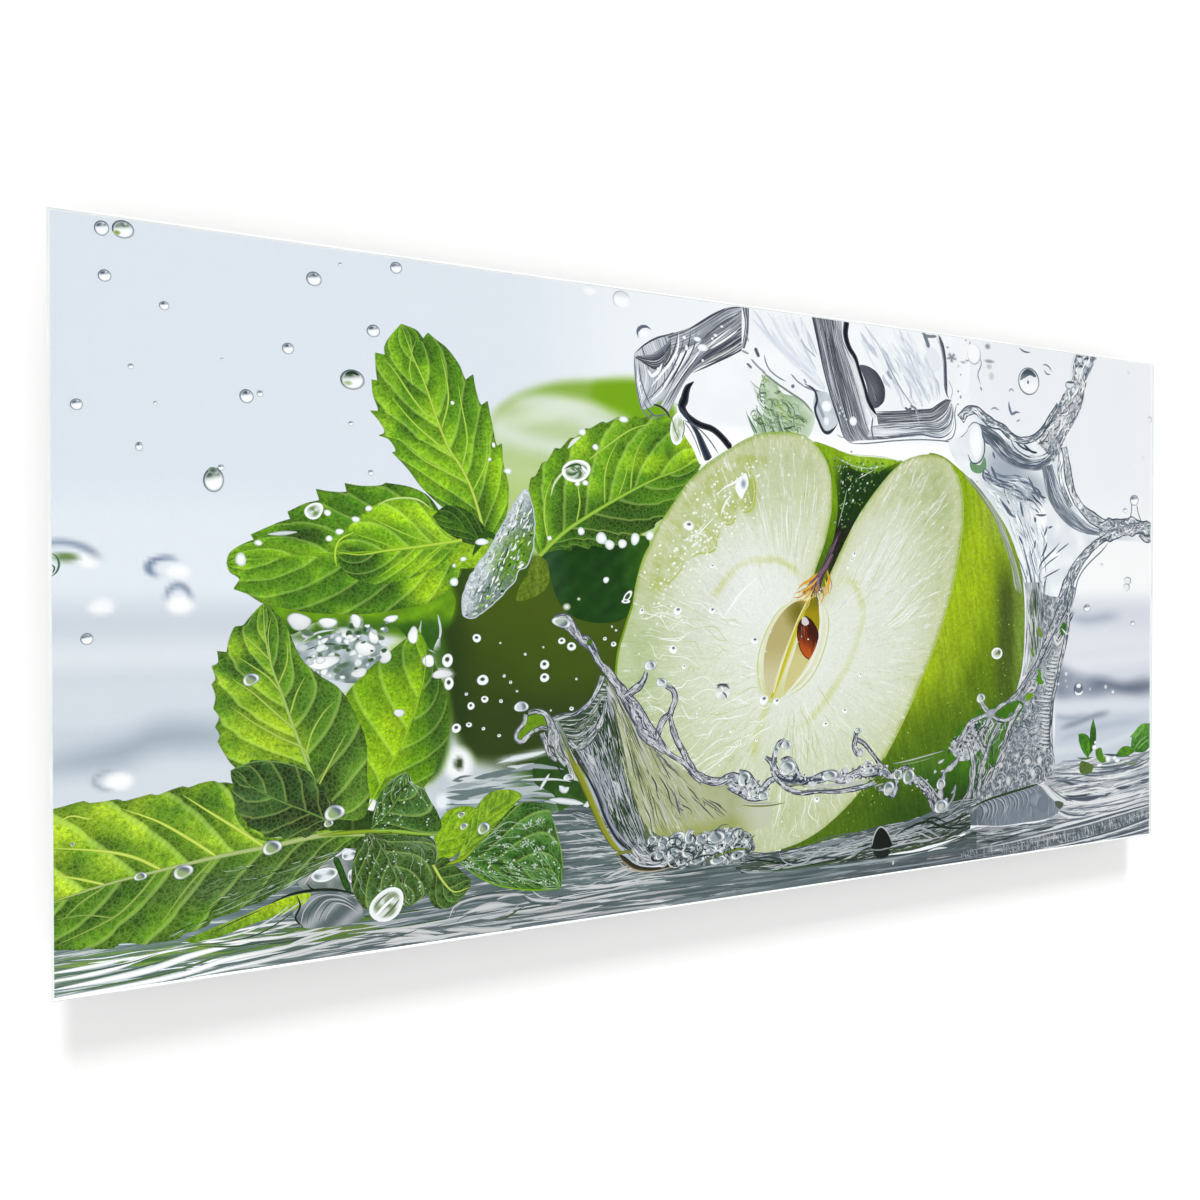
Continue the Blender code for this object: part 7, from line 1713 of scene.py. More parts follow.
for line, w in (([(361, 368), (365, 374), (369, 380)], [(0, 2), (0.5, 6), (1, 1)]), ([(383, 392), (387, 396), (388, 402), (392, 408)], [(0, 5), (0.6, 4), (1, 1)]), ([(392, 400), (398, 412), (402, 424)], 1.4), ([(356, 366), (364, 380), (372, 396), (378, 408)], 1.4), ([(378, 316), (381, 322), (384, 326)], 3.5), ([(378, 345), (380, 355), (379, 362)], 2.0)):
    strip("print_marks", line, w, 27.1, (240, 243, 248), side=(176, 186, 196), taper=(0.3, 0.4))
# the upper bowl
blob("print_water", [(334, 340), (345, 337), (356, 334), (366, 324), (372, 314), (376, 312), (378, 330), (374, 345), (364, 358), (352, 360), (342, 352)], 26.6,
     lambda x, y: mix((44, 84, 36), (72, 100, 74), 0.5 + 0.5 * clouds(x, y, 8, 4)), 2.5, flow=lambda x, y: np.stack([x, y, x * 0 + 1.3], -1))
streaks("print_marks", loft([[(336, 343), (350, 343), (364, 336), (374, 322)], [(344, 356), (356, 358), (368, 350), (377, 332)]], 40, 14), 26.9, 60, [(206, 213, 220), (150, 164, 150), (30, 52, 28), (240, 243, 246), (96, 116, 90)], 93, length=(0.1, 0.4), width=(0.4, 1.3), drift=0.06)
# rims and strands
rope([(332, 340), (340, 338), (350, 337), (358, 333), (366, 325), (371, 316), (374, 308)], [(0, 3.5), (0.5, 3.2), (1, 4)], 27.4, seed=41, tone=(190, 200, 206), edge=0.8)
rope([(346, 358), (352, 363), (360, 360), (368, 352), (374, 342), (377, 328)], [(0, 4), (0.4, 6), (1, 2.5)], 27.3, seed=42, tone=(170, 180, 176), edge=0.8)
for seed, path, w in ((43, [(350, 272), (356, 279), (362, 284), (367, 290), (371, 297), (378, 304), (384, 312), (390, 320), (395, 328)], [(0, 8), (0.25, 4.5), (0.5, 5), (0.75, 7), (1, 9)]), (44, [(334, 263), (341, 263), (347, 268), (352, 275)], [(0, 6), (0.4, 11), (0.8, 7), (1, 6)]), (45, [(357, 277), (362, 278), (366, 284), (369, 290)], 3.5),
                      (46, [(394, 326), (400, 321), (406, 317), (410, 312), (412, 306)], [(0, 6), (0.5, 6), (1, 3)]), (47, [(430, 318), (436, 322), (438, 330), (435, 337), (433, 344)], [(0, 4), (0.4, 5), (1, 4)]), (48, [(434, 340), (428, 345), (424, 352), (421, 362)], [(0, 3), (0.5, 6), (1, 2.5)]),
                      (49, [(433, 342), (436, 354), (440, 364), (446, 374), (451, 384), (456, 392), (464, 398)], [(0, 4), (0.5, 5), (1, 8)]), (50, [(394, 324), (402, 336), (407, 344), (412, 354), (420, 362), (428, 370), (436, 376), (446, 382), (454, 390), (464, 396)], [(0, 8), (0.3, 14), (0.45, 12), (0.6, 3.5), (0.9, 4), (1, 6)]),
                      (51, [(462, 396), (474, 400), (484, 400), (494, 404), (502, 410)], [(0, 7), (0.5, 5), (1, 7)])):
    rope(path, w, 27.6, seed=seed, tone=(166, 174, 186), dark=(62, 68, 92), edge=0.9, dots=1.6)
streaks("print_marks", loft([[(396, 330), (400, 345), (408, 358), (418, 366)], [(404, 334), (412, 346), (418, 356), (424, 364)]], 30, 12), 28.3, 60, [(226, 230, 238), (70, 76, 100), (150, 158, 176), (250, 251, 253)], 94, length=(0.1, 0.4), width=(0.4, 1.3), drift=0.1, nudge=1.2)
bead(340, 265, 7.5, 4.6, 28.6, tone=(176, 190, 176), seed=2.1, angle=0.15)
bead(415.5, 301, 5, 4.5, 28.6, tone=(216, 222, 226), seed=1.2)
bead(425.5, 315, 4.6, 3.8, 28.6, tone=(216, 222, 226), seed=0.4, angle=0.3)
for x, y, a, b in ((363, 281, 2.2, 3.0),):
    disc("print_marks", x, y, a, b, 28.7, lambda R, A: np.broadcast_to(rgb((84, 128, 40)), R.shape + (3,)), angle=0.5, rings=1, n=12)
# the curl at the far left
blob("print_skin", [(310, 338), (316, 336), (324, 336), (328, 344), (322, 348), (316, 349), (310, 354), (305, 354), (306, 346)], 27.2, (104, 146, 20), 2.5)
for seed, path, w in ((61, [(311, 335), (309, 342), (304, 348), (303, 353), (307, 356), (312, 352), (317, 348)], 3.0), (62, [(313, 334), (320, 333), (327, 336), (331, 344), (333, 352), (334, 360), (338, 368), (344, 376)], [(0, 3), (0.3, 4), (0.6, 9), (1, 6)]), (63, [(324, 350), (327, 358), (330, 366), (336, 372)], 4), (64, [(318, 348), (324, 346), (330, 348)], 3.0)):
    rope(path, w, 27.8, seed=seed, tone=(196, 204, 206), dark=(60, 74, 72), edge=0.8)
bead(307.5, 329, 5.4, 4.4, 28.6, tone=(196, 204, 210), seed=1.4)
sheet("print_water", [[(330, 342), (336, 356), (342, 370), (348, 388)], [(338, 342), (345, 356), (352, 372), (360, 392)]], 27.5, ((0, (160, 172, 150)), (0.5, (206, 213, 220)), (1, (110, 130, 110))), amp=1.3, nu=30, nv=10)
strip("print_marks", [(327, 366), (334, 374), (342, 384), (347, 388)], 1.2, 28.0, (52, 66, 70), taper=(0.3, 0.2))
bead(345.5, 386, 4.2, 3.0, 28.6, tone=(206, 213, 216), seed=1.0)
# the yellow-green edge
strip("print_marks", [(342, 362), (350, 376), (358, 392), (366, 410), (374, 428), (384, 444), (392, 451)], [(0, 2), (0.2, 6), (0.6, 5.5), (0.9, 4.5), (1, 5)], 27.6, (166, 174, 50), side=((206, 208, 110), (96, 112, 24)), taper=(0.2, 0.1))
strip("print_marks", [(344, 358), (352, 372), (362, 388), (370, 404), (376, 420), (386, 438), (398, 450)], [(0, 1.5), (0.5, 2.4), (1, 3)], 27.9, (40, 44, 56), side=(120, 126, 140), taper=(0.2, 0.1))
strip("print_marks", [(346, 356), (358, 374), (368, 392), (376, 410), (380, 424), (392, 440), (400, 448)], [(0, 1.5), (0.5, 3.4), (1, 2)], 27.8, (186, 190, 206), side=(110, 118, 134), taper=(0.2, 0.1))
strip("print_marks", [(338, 348), (342, 358), (348, 370), (352, 378)], 1.6, 27.9, (120, 140, 50), taper=(0.3, 0.3))
# the brown-edged foot
strip("print_marks", [(388, 451), (394, 457), (402, 463), (412, 466), (426, 467), (440, 464), (452, 458)], [(0, 5), (0.3, 4), (0.7, 3), (1, 1.5)], 27.6, (60, 58, 40), side=((34, 34, 30), (200, 180, 140)), taper=(0.1, 0.3))
strip("print_marks", [(386, 451), (392, 450), (400, 450)], 2.6, 27.9, (150, 156, 50), side=(90, 90, 40))
strip("print_marks", [(386, 454), (392, 461), (402, 466), (416, 468.5), (434, 467)], 1.0, 28.0, (214, 206, 190), taper=(0.2, 0.3))
toe = loft([[(396, 452), (402, 459), (412, 463), (424, 464), (438, 461)], [(404, 440), (410, 448), (416, 452), (426, 454), (440, 452)]], 40, 14)
patch("print_foam", toe, 27.4, np.broadcast_to(rgb((130, 140, 146)), toe.shape[:2] + (3,)), flow_of(toe, 1.4))
streaks("print_marks", toe, 27.9, 60, [(226, 230, 238), (60, 70, 76), (176, 186, 194), (250, 252, 253)], 95, length=(0.1, 0.4), width=(0.5, 1.5), drift=0.1)
# the row of curls along the foot
strip("print_marks", [(412, 456), (440, 458), (470, 456), (500, 452), (512, 462)], [(0, 10), (0.5, 18), (1, 16)], 27.2, (74, 90, 84), side=(60, 78, 66), taper=(0.2, 0.1))
blob("print_foam", [(410, 446), (418, 440), (430, 442), (442, 440), (455, 444), (470, 441), (490, 440), (505, 446), (514, 460), (500, 470), (470, 470), (440, 466), (418, 462)], 27.3,
     lambda x, y: mix((96, 108, 108), (150, 162, 168), 0.5 + 0.5 * clouds(x, y, 7, 9)), 2.5, flow=lambda x, y: np.stack([y, x, x * 0 + 1.3], -1))
for x, y, a, b, s in ((417, 443, 4, 4, 0.5), (427.5, 446, 5, 6, 1.0), (440, 444, 7, 6, 0.2), (451, 444, 4, 7, 1.4), (462, 447, 6, 5.5, 0.7), (476, 447, 8, 6, 1.1), (487, 449, 6, 6, 0.3), (470, 457, 7, 5, 0.9), (450, 456, 6, 5, 0.4), (436, 456, 5, 4, 1.2), (424, 456, 4, 4, 0.6), (486, 458, 7, 4, 1.5), (458, 464, 7, 3.6, 0.8), (478, 466, 8, 4, 0.5), (445, 467, 5, 2.6, 0.2), (500, 455, 7, 6, 1.0), (497, 464, 7, 4, 0.4)):
    bead(x, y, a, b, 28.2 + s * 0.1, tone=(150, 162, 166), seed=s)
speckle([(412, 452, 8), (440, 453, 12), (470, 454, 12), (505, 456, 10)], 28.6, 60, 96, tones=((250, 252, 253), (40, 54, 50), (196, 204, 210), (84, 98, 98)))
rng = np.random.default_rng(77)
for _ in range(64):
    cx, cy, r, a = rng.uniform(414, 508), 452 + rng.uniform(-10, 13), rng.uniform(2.5, 6.5), rng.uniform(0, 6.283)
    span = rng.uniform(1.5, 3.6)
    arc = [(cx + r * 1.25 * math.cos(a + span * t), cy + r * math.sin(a + span * t)) for t in np.linspace(0, 1, 7)]
    strip("print_marks", arc, rng.uniform(0.7, 1.9), 28.8, ((44, 58, 56), (246, 248, 250), (70, 86, 86), (206, 213, 218), (96, 112, 116))[rng.integers(5)], taper=(0.35, 0.35))
strip("print_marks", [(466, 466), (480, 462), (496, 459), (508, 460)], 2.4, 28.7, (128, 150, 40), side=(60, 80, 30), taper=(0.3, 0.3))
strip("print_marks", [(440, 468), (458, 462), (470, 461), (480, 466)], 1.3, 28.7, (34, 50, 34), taper=(0.3, 0.3))

# the front rim
rim_dark = (48, 60, 78)
for seed, path, w in ((71, [(478, 402), (490, 398), (500, 400)], [(0, 5), (1, 9)]), (72, [(488, 404), (500, 410), (512, 416), (526, 418)], [(0, 7), (0.6, 8), (1, 3)]), (73, [(498, 394), (506, 396), (512, 404), (520, 410), (528, 404), (534, 402)], [(0, 4), (0.5, 5), (1, 4)]),
                      (74, [(532, 392), (536, 400), (544, 405), (556, 406), (572, 407), (590, 404), (606, 408), (622, 404), (636, 404), (648, 404)], [(0, 7), (0.2, 9), (0.35, 5), (0.55, 11), (0.7, 7), (0.85, 9), (1, 8)]),
                      (75, [(536, 404), (546, 412), (560, 417), (580, 417), (600, 419), (620, 418), (640, 415)], [(0, 3), (0.4, 3.5), (1, 4)]), (76, [(620, 374), (627, 378), (634, 385), (641, 393), (648, 402)], [(0, 4), (0.5, 3), (1, 4)]), (77, [(618, 372), (617, 380), (620, 386), (625, 388)], [(0, 4), (0.6, 5), (1, 4)]),
                      (78, [(621, 365), (618, 370), (618, 376)], 4), (79, [(648, 404), (656, 409), (666, 411), (678, 411), (690, 418), (700, 427), (708, 436)], [(0, 9), (0.3, 5), (0.6, 7), (1, 8)]), (80, [(666, 405), (676, 404), (682, 410), (680, 420)], 3.5), (81, [(644, 421), (652, 421), (656, 426), (660, 428), (664, 420), (664, 414)], 4.0),
                      (82, [(684, 414), (692, 422), (702, 434), (712, 440)], 3.0), (83, [(716, 438), (717, 430), (715, 424), (718, 418), (720, 412)], [(0, 5), (0.4, 4), (0.6, 7), (1, 4)]), (84, [(724, 409), (730, 406), (735, 402), (737, 398)], [(0, 4), (0.4, 6), (1, 3)]), (85, [(706, 444), (716, 448), (724, 444), (722, 436)], 4.0),
                      (86, [(706, 444), (704, 436), (708, 430), (714, 434)], 4.0), (87, [(524, 383), (530, 388), (534, 396)], [(0, 3), (1, 6)]), (88, [(532, 390), (534, 380), (538, 372), (544, 370)], [(0, 5), (0.5, 4), (1, 3)]), (89, [(540, 388), (546, 386), (552, 390), (556, 398), (560, 404)], [(0, 4), (0.5, 5), (1, 3)])):
    rope(path, w, 30, seed=seed, tone=(188, 196, 208), dark=rim_dark, edge=1.0, dots=1.5)
strip("print_marks", [(532, 394), (538, 402), (550, 406), (566, 406), (580, 407), (600, 406)], [(0, 2), (0.4, 5), (1, 1.5)], 30.8, (60, 74, 94), side=(150, 160, 176), taper=(0.2, 0.3))
strip("print_marks", [(540, 408), (552, 416), (575, 416.5), (600, 417.5), (625, 415), (640, 414)], [(0, 1), (0.5, 2.4), (1, 1)], 30.8, (70, 84, 100), side=(206, 213, 216), taper=(0.2, 0.3))
strip("print_marks", [(560, 412), (590, 413), (620, 413), (640, 410)], 3.0, 29.8, (226, 231, 226), side=(196, 204, 190), taper=(0.3, 0.3))
for x, y, a, b, s in ((503, 400, 6, 7, 0.6), (546, 394, 8, 7, 0.9), (545, 374, 5, 4.2, 1.3), (535, 379, 3, 5, 0.2), (573, 408, 5, 3.5, 0.5), (590, 404, 8, 5, 1.0), (606, 402, 4, 3.5, 0.3), (612, 409, 5, 4.5, 0.8), (632, 398, 6, 4, 0.2), (633, 403, 6, 4, 1.4), (655, 421, 6, 7, 0.6), (678, 412, 6.5, 8, 1.0), (624, 386, 4, 4, 0.4), (720, 368, 0.1, 0.1, 0), (716, 443, 8, 7, 0.7), (716, 422, 5, 6, 1.1), (522, 416, 5, 4, 0.9), (512, 412, 6, 5, 0.3), (621, 366, 3.4, 2.6, 1.2), (665, 409, 5, 5, 0.5)):
    if a > 0.5:
        bead(x, y, a, b, 30.9 + 0.1 * s, tone=(190, 200, 196) if x < 640 else (130, 150, 130), seed=s)
speckle([(490, 402, 6), (510, 410, 8), (528, 408, 4)], 31.2, 70, 97)
speckle([(528, 388, 5), (540, 398, 6), (560, 405, 4), (590, 405, 6), (620, 404, 6), (645, 405, 6), (680, 408, 6), (700, 426, 5), (714, 440, 7)], 31.2, 210, 98, tones=((252, 253, 254), (60, 72, 90), (206, 213, 222), (120, 132, 150), (252, 253, 254)))
for x, y, a, b in ((577, 425, 3, 2.4), (607, 401, 3, 2.4), (612, 410, 3, 3), (573, 411, 4, 2), (623, 387, 3, 3), (629, 396, 2, 2), (655, 423, 4, 3), (508, 407, 3.4, 2.6), (716, 424, 3, 4), (715, 432, 3, 4), (716, 444, 4, 4), (727, 408, 5, 2.6), (709, 410, 2, 1.4), (716, 401, 4, 1.4)):
    disc("print_marks", x, y, a, b, 31.4, lambda R, A: mix((254, 255, 255), (206, 213, 218), R**3), angle=-0.3, rings=3, n=14, wobble=0.12, seed=x)
for line, w, tone in (([(500, 422), (512, 424), (528, 425), (545, 424)], 1.4, (140, 150, 70)), ([(500, 419), (515, 422), (535, 423)], 1.2, (190, 197, 196)), ([(660, 399), (680, 397), (700, 394), (720, 391)], 1.2, (226, 232, 220)), ([(668, 401), (690, 399), (708, 396)], 0.9, (170, 190, 130)), ([(545, 409), (560, 410), (566, 413)], 1.4, (150, 160, 120)), ([(690, 412), (700, 420), (712, 432)], 1.4, (214, 220, 226)), ([(641, 421), (640, 418), (650, 416)], 1.4, (196, 204, 200))):
    strip("print_marks", line, w, 31.0, tone, taper=(0.3, 0.3))
blob("print_skin", [(655, 398), (680, 396), (705, 393), (722, 391), (724, 400), (714, 406), (716, 416), (710, 430), (700, 424), (690, 414), (684, 404), (668, 402)], 29.5, lambda x, y: mix((72, 112, 30), (46, 84, 26), smoothstep(400, 425, y)), 2.5, flow=lambda x, y: np.stack([y, x, x * 0 + 0.3], -1))
for line, w in (([(722, 447), (728, 440), (732, 434), (733, 428)], 2.6), ([(724, 450), (738, 444), (748, 434), (756, 428)], 2.0), ([(728, 432), (732, 430), (734, 424)], 3.4)):
    strip("print_marks", line, w, 30.4, (196, 204, 210), side=(96, 110, 110), taper=(0.3, 0.3))


# ---------------------------------------------------------------- the print: the small mint leaves at the right

small = dict(teeth=None, relief=0.35, rib=None, piece="print_leaves")
leaf([(908, 412), (900, 404), (895, 394), (894, 386)], [(908, 412), (906, 402), (901, 393), (894, 386)], [(908, 412), (912, 402), (909, 390), (902, 386), (894, 386)], 44, ((20, 64, 14), (52, 122, 20), (110, 176, 24)), nu=30, nv=12, veins=3, **small)
leaf([(911, 408), (910, 394), (911, 382), (915, 371)], [(911, 408), (914, 394), (915, 382), (915, 371)], [(911, 408), (918, 398), (919, 384), (915, 371)], 44.2, ((20, 60, 12), (40, 96, 16), (90, 150, 20)), nu=30, nv=12, veins=3, **small)
leaf([(908, 408), (906, 400), (908, 394), (914, 392)], [(908, 408), (910, 402), (912, 397), (914, 392)], [(908, 408), (916, 402), (917, 396), (914, 392)], 44.4, ((40, 104, 14), (90, 156, 16), (140, 194, 20)), nu=20, nv=10, veins=3, **small)
leaf([(918, 404), (926, 402), (930, 410), (936, 416)], [(918, 404), (924, 409), (930, 414), (936, 416)], [(918, 404), (920, 412), (928, 418), (936, 416)], 44.3, ((44, 96, 24), (86, 140, 20), (140, 180, 40)), nu=20, nv=10, veins=3, **small)
blob("print_far_leaves", [(898, 414), (910, 417), (916, 420), (912, 427), (902, 428), (896, 424)], 24.4, (84, 110, 50), 2.5)
strip("print_flat", [(892, 410), (905, 412), (915, 411)], 2.4, 43.8, (70, 100, 40), side=(120, 140, 110), taper=(0.4, 0.4))
leaf([(970, 408), (972, 394), (982, 386), (994, 380)], [(970, 408), (978, 398), (986, 389), (994, 380)], [(970, 408), (988, 406), (997, 394), (994, 380)], 44, ((20, 56, 26), (50, 110, 40), (96, 160, 60)), nu=30, nv=12, veins=4, **small)
leaf([(976, 410), (980, 396), (990, 384), (999, 380)], [(976, 410), (988, 400), (999, 392)], [(976, 410), (990, 411), (999, 406)], 44.2, ((22, 66, 30), (44, 110, 30), (120, 180, 60)), nu=30, nv=12, veins=4, **small)
leaf([(948, 411), (956, 404), (966, 403), (978, 408)], [(948, 411), (958, 408), (968, 408), (978, 408)], [(948, 411), (958, 414), (970, 412), (978, 408)], 44.1, ((20, 60, 20), (60, 120, 24), (100, 160, 30)), nu=24, nv=10, veins=3, **small)
leaf([(968, 394), (976, 388), (984, 382), (992, 380)], [(968, 394), (980, 389), (992, 380)], [(968, 394), (980, 394), (988, 390), (992, 380)], 44.3, ((50, 120, 40), (84, 150, 50), (140, 190, 90)), nu=24, nv=10, veins=3, **small)
for line, w in (([(976, 406), (984, 399), (995, 394)], 1.0), ([(980, 408), (990, 401), (999, 398)], 1.0), ([(973, 398), (981, 391), (990, 384)], 0.8)):
    strip("print_marks", line, w, 44.8, (150, 190, 120), taper=(0.3, 0.3))
for x, y, a, b in ((936.5, 414.5, 3.4, 3.4), (917, 401, 3.5, 2.6), (924, 420, 4, 1.6), (946, 414, 3, 2), (950, 417, 4, 2), (918, 396, 1.6, 1.6)):
    disc("print_marks", x, y, a, b, 45, lambda R, A: mix((252, 254, 254), (206, 213, 220), R**3), rings=3, n=16)
strip("print_flat", [(916, 421), (935, 423), (960, 422), (975, 418)], 3.0, 24.6, (84, 98, 100), side=(150, 162, 168), taper=(0.3, 0.3))
strip("print_flat", [(960, 420), (972, 422), (982, 420)], 4.0, 24.7, (110, 130, 100), side=(150, 162, 160), taper=(0.3, 0.3))


# ---------------------------------------------------------------- the print: drops in the air and on the surfaces


def air_drop(x, y, rx, ry, cap=(52, 66, 82), low=(253, 254, 255), mid=(206, 214, 224), ring=(74, 90, 106), angle=0.0, level=50, seed=0.0, ring_low=0.55):
    """A drop in front of pale sky: a dark cap, a thin outline heavier at the top left, and a bright lower body."""
    def colour(R, A):
        px, py = R * np.cos(A), R * np.sin(A)
        up = py - 0.22 * px
        shade = smoothstep(0.12, 0.5, up) * smoothstep(0.98, 0.80, R) * (0.75 + 0.25 * np.sin(A * 3 + seed))
        c = mix(mix(low, mid, smoothstep(-0.15, 0.35, up) * 0.7), cap, shade * 0.95)
        c = mix(c, low, smoothstep(0.24, 0.05, np.hypot(px - 0.22, py - 0.62)) * 0.7)
        heavy = ring_low + (1 - ring_low) * smoothstep(-0.6, 0.7, np.sin(A - 0.75))
        return mix(mix(c, (232, 236, 242), smoothstep(0.66, 0.78, R) * 0.6), ring, smoothstep(0.80, 0.90, R) * heavy)

    disc("print_drops", x, y, rx, ry, level, colour, angle=angle, rings=11, n=38, wobble=0.015, seed=seed)


for k, (x, y, rx, ry) in enumerate([(30, 9, 4.3, 4.9), (31.5, 39, 3.8, 4), (65.5, 54, 3, 3), (7, 69, 0.5, 0.5), (158.5, 24, 5.2, 5), (176, 11.5, 1.3, 1.3), (214.5, 8.5, 4.3, 4.2), (198.5, 55.5, 4.6, 4.5), (141.5, 74, 3.9, 4), (115, 109, 4.5, 4.8), (123.5, 106.5, 2.2, 2.2), (46, 95.5, 1.8, 1.8), (60, 118, 1.3, 1.3), (15.5, 122.5, 3.6, 3.7), (183, 122.5, 1.8, 1.8), (50.5, 147, 2.2, 3), (100, 85.5, 1, 1), (196.5, 156.5, 2, 2), (20.5, 271.5, 3.7, 3.7)]):
    air_drop(x, y, rx, ry, seed=k)
for x, y, rx, ry in ((42, 8, 6.5, 5.8), (184, 91.5, 8.3, 7.3), (94.5, 166.5, 6.4, 8.4)):
    air_drop(x, y, rx, ry, cap=(58, 78, 66), mid=(176, 188, 180), ring=(70, 84, 90), seed=x)
disc("print_drops", 38.5, 10.5, 2.2, 1.6, 50.6, lambda R, A: mix((120, 150, 60), (190, 204, 160), R), rings=2, n=12)
strip("print_marks", [(179, 88), (184, 86.4), (189, 88)], 2.2, 50.6, (34, 60, 30), taper=(0.3, 0.3))
disc("print_drops", 181, 94, 3.4, 1.8, 50.6, lambda R, A: mix((150, 176, 110), (220, 228, 214), R), rings=2, n=14)
air_drop(99, 158, 2, 2)
disc("print_drops", 94, 160, 3.0, 2.2, 50.6, lambda R, A: mix((60, 80, 60), (150, 166, 160), R), rings=2, n=14)
# clipped and blurred ones
for line, w, tone in (([(1, 217), (4, 219), (5.5, 224), (4, 229), (1, 232)], 1.3, (70, 110, 80)), ([(1, 224), (3, 226), (2, 230)], 1.0, (60, 90, 60)), ([(405, 38), (404, 33), (407, 29), (412, 28), (416, 30)], [(0, 1), (0.4, 3.2), (1, 2)], (92, 104, 122)), ([(775, 66), (780, 64), (786, 66)], 2.0, (150, 162, 176)), ([(798, 47), (801, 44), (805, 46)], 1.8, (150, 162, 176)), ([(798, 56), (799, 62), (802, 68), (808, 66), (813, 66)], 3.0, (110, 124, 142)),
                      ([(811, 3), (818, 6), (826, 6)], 1.8, (96, 108, 124)), ([(842, 17), (846, 16), (851, 18), (855, 22)], 1.6, (110, 122, 136)), ([(844, 21), (848, 25), (853, 25)], 1.6, (110, 122, 136)), ([(808, 75), (813, 73)], 1.6, (140, 152, 166)), ([(761, 16), (763, 24), (759, 34), (763, 44)], 1.6, (150, 160, 174)), ([(762, 45), (764, 49)], 1.8, (120, 132, 146))):
    outline(line, w, 50.2, tone, taper=(0.3, 0.3))
for x, y, a, b, tone in ((771, 6, 5, 4, 150), (773, 20, 9, 2.6, 150), (776, 34, 5, 6, 206), (773, 25, 5, 4, 196), (410, 34, 5, 4, 252), (363, 6, 6, 3, 250), (963, 13, 3, 2.4, 220), (986, 100, 3, 2, 222), (966, 110, 1.4, 1.4, 206), (926, 213, 2.6, 1.8, 206), (932, 281, 2.4, 1.8, 218), (959, 288, 2.4, 1.6, 206)):
    disc("print_marks", x, y, a, b, 50.1, lambda R, A, tone=tone: mix((tone, tone + 2, tone + 3), (242, 244, 248), smoothstep(0.2, 1.0, R)), rings=4, n=20)
disc("print_drops", 390, 9, 7.5, 7, 50.2, lambda R, A: mix(mix((250, 252, 253), (222, 228, 234), smoothstep(0.0, 0.7, np.sin(A) * R)), (120, 132, 140), smoothstep(0.84, 1.0, R) * (0.45 + 0.4 * np.cos(A - 2.4))), rings=7, n=30)
ringed = ((824, 34.5, 14, 13.5), (755, 17, 10, 9))
disc("print_drops", 824, 34.5, 14, 13.5, 50.2, lambda R, A: mix(mix((250, 251, 253), (236, 239, 244), smoothstep(-0.3, 0.3, R * np.sin(A))), (46, 60, 74), smoothstep(0.86, 0.97, R) * (0.55 + 0.45 * np.sin(A * 1.0 + 0.6) ** 2)), rings=12, n=44)
blob("print_drops", [(813, 34.5), (814, 29), (818, 24.5), (823, 22.5), (829, 24), (834, 28.5), (832, 30), (826, 28.5), (819, 31.5)], 50.7, lambda x, y: mix((66, 78, 92), (130, 140, 152), smoothstep(24, 34, y)), 2.0)
disc("print_marks", 823, 35.5, 1.4, 2.0, 50.9, lambda R, A: mix((52, 60, 80), (150, 160, 172), R), rings=2, n=10)
disc("print_drops", 754, 15, 8.5, 10, 50.2, lambda R, A: mix((250, 251, 253), (110, 122, 138), smoothstep(0.84, 0.97, R) * (0.5 + 0.5 * np.cos(A + 1.0))), rings=7, n=30)
air_drop(973, 145.5, 6.5, 5.6)
air_drop(959.5, 156.5, 3.2, 2.6, cap=(130, 142, 156), ring=(130, 142, 156))
for x, y, a, b in ((995.5, 59.5, 3.4, 3.4), (963.5, 230, 5.5, 4.5), (962, 236.5, 5, 4), (895.5, 154, 4, 4)):
    disc("print_drops", x, y, a, b, 50.4, lambda R, A: mix((238, 241, 245), (96, 108, 124), smoothstep(0.66, 0.95, R) * (0.5 + 0.5 * np.sin(A + 0.9))), rings=5, n=24)
air_drop(905, 258, 4.8, 3.8)
air_drop(971.5, 274.5, 3.2, 2.8, cap=(110, 122, 136))
disc("print_drops", 893.5, 340, 6.2, 6.2, 50.4, lambda R, A: mix((110, 120, 136), (60, 70, 86), smoothstep(0.7, 1.0, R)), rings=4, n=26)
disc("print_marks", 894, 336.8, 3.4, 2.4, 50.8, lambda R, A: mix((255, 255, 255), (214, 220, 228), R**3), rings=3, n=16)
strip("print_marks", [(888.5, 342), (891, 344.6), (894, 345.4), (898, 344.2), (899.4, 341.6)], 2.2, 50.9, (252, 253, 254), taper=(0.3, 0.3))
for x, y, r, tone in ((876.5, 324, 3.0, 226), (932.5, 339.5, 2.6, 222), (943, 345.5, 3, 236), (910, 341, 2, 196), (876, 331, 2, 190), (878, 337, 2, 190), (866, 334, 2, 222)):
    disc("print_marks", x, y, r, r, 50.3, lambda R, A, tone=tone: mix((tone, tone + 2, tone + 4), (150, 160, 174), smoothstep(0.3, 1.0, R)), rings=3, n=16)


def round_drop(x, y, rx, ry, level=52, base=(60, 84, 30), rim=(246, 248, 250)):
    """A drop against a dark surface: a white ring round a dark, off-centre middle."""
    def colour(R, A):
        px, py = R * np.cos(A) + 0.05, R * np.sin(A) - 0.16
        c = mix(mix(base, (40, 50, 50), 0.35), rim, smoothstep(0.26, 0.52, np.hypot(px, py * 1.15)))
        return mix(c, (186, 198, 204), smoothstep(0.82, 1.0, R) * 0.7)

    disc("print_drops", x, y, rx, ry, level, colour, rings=7, n=26, wobble=0.03, seed=x)


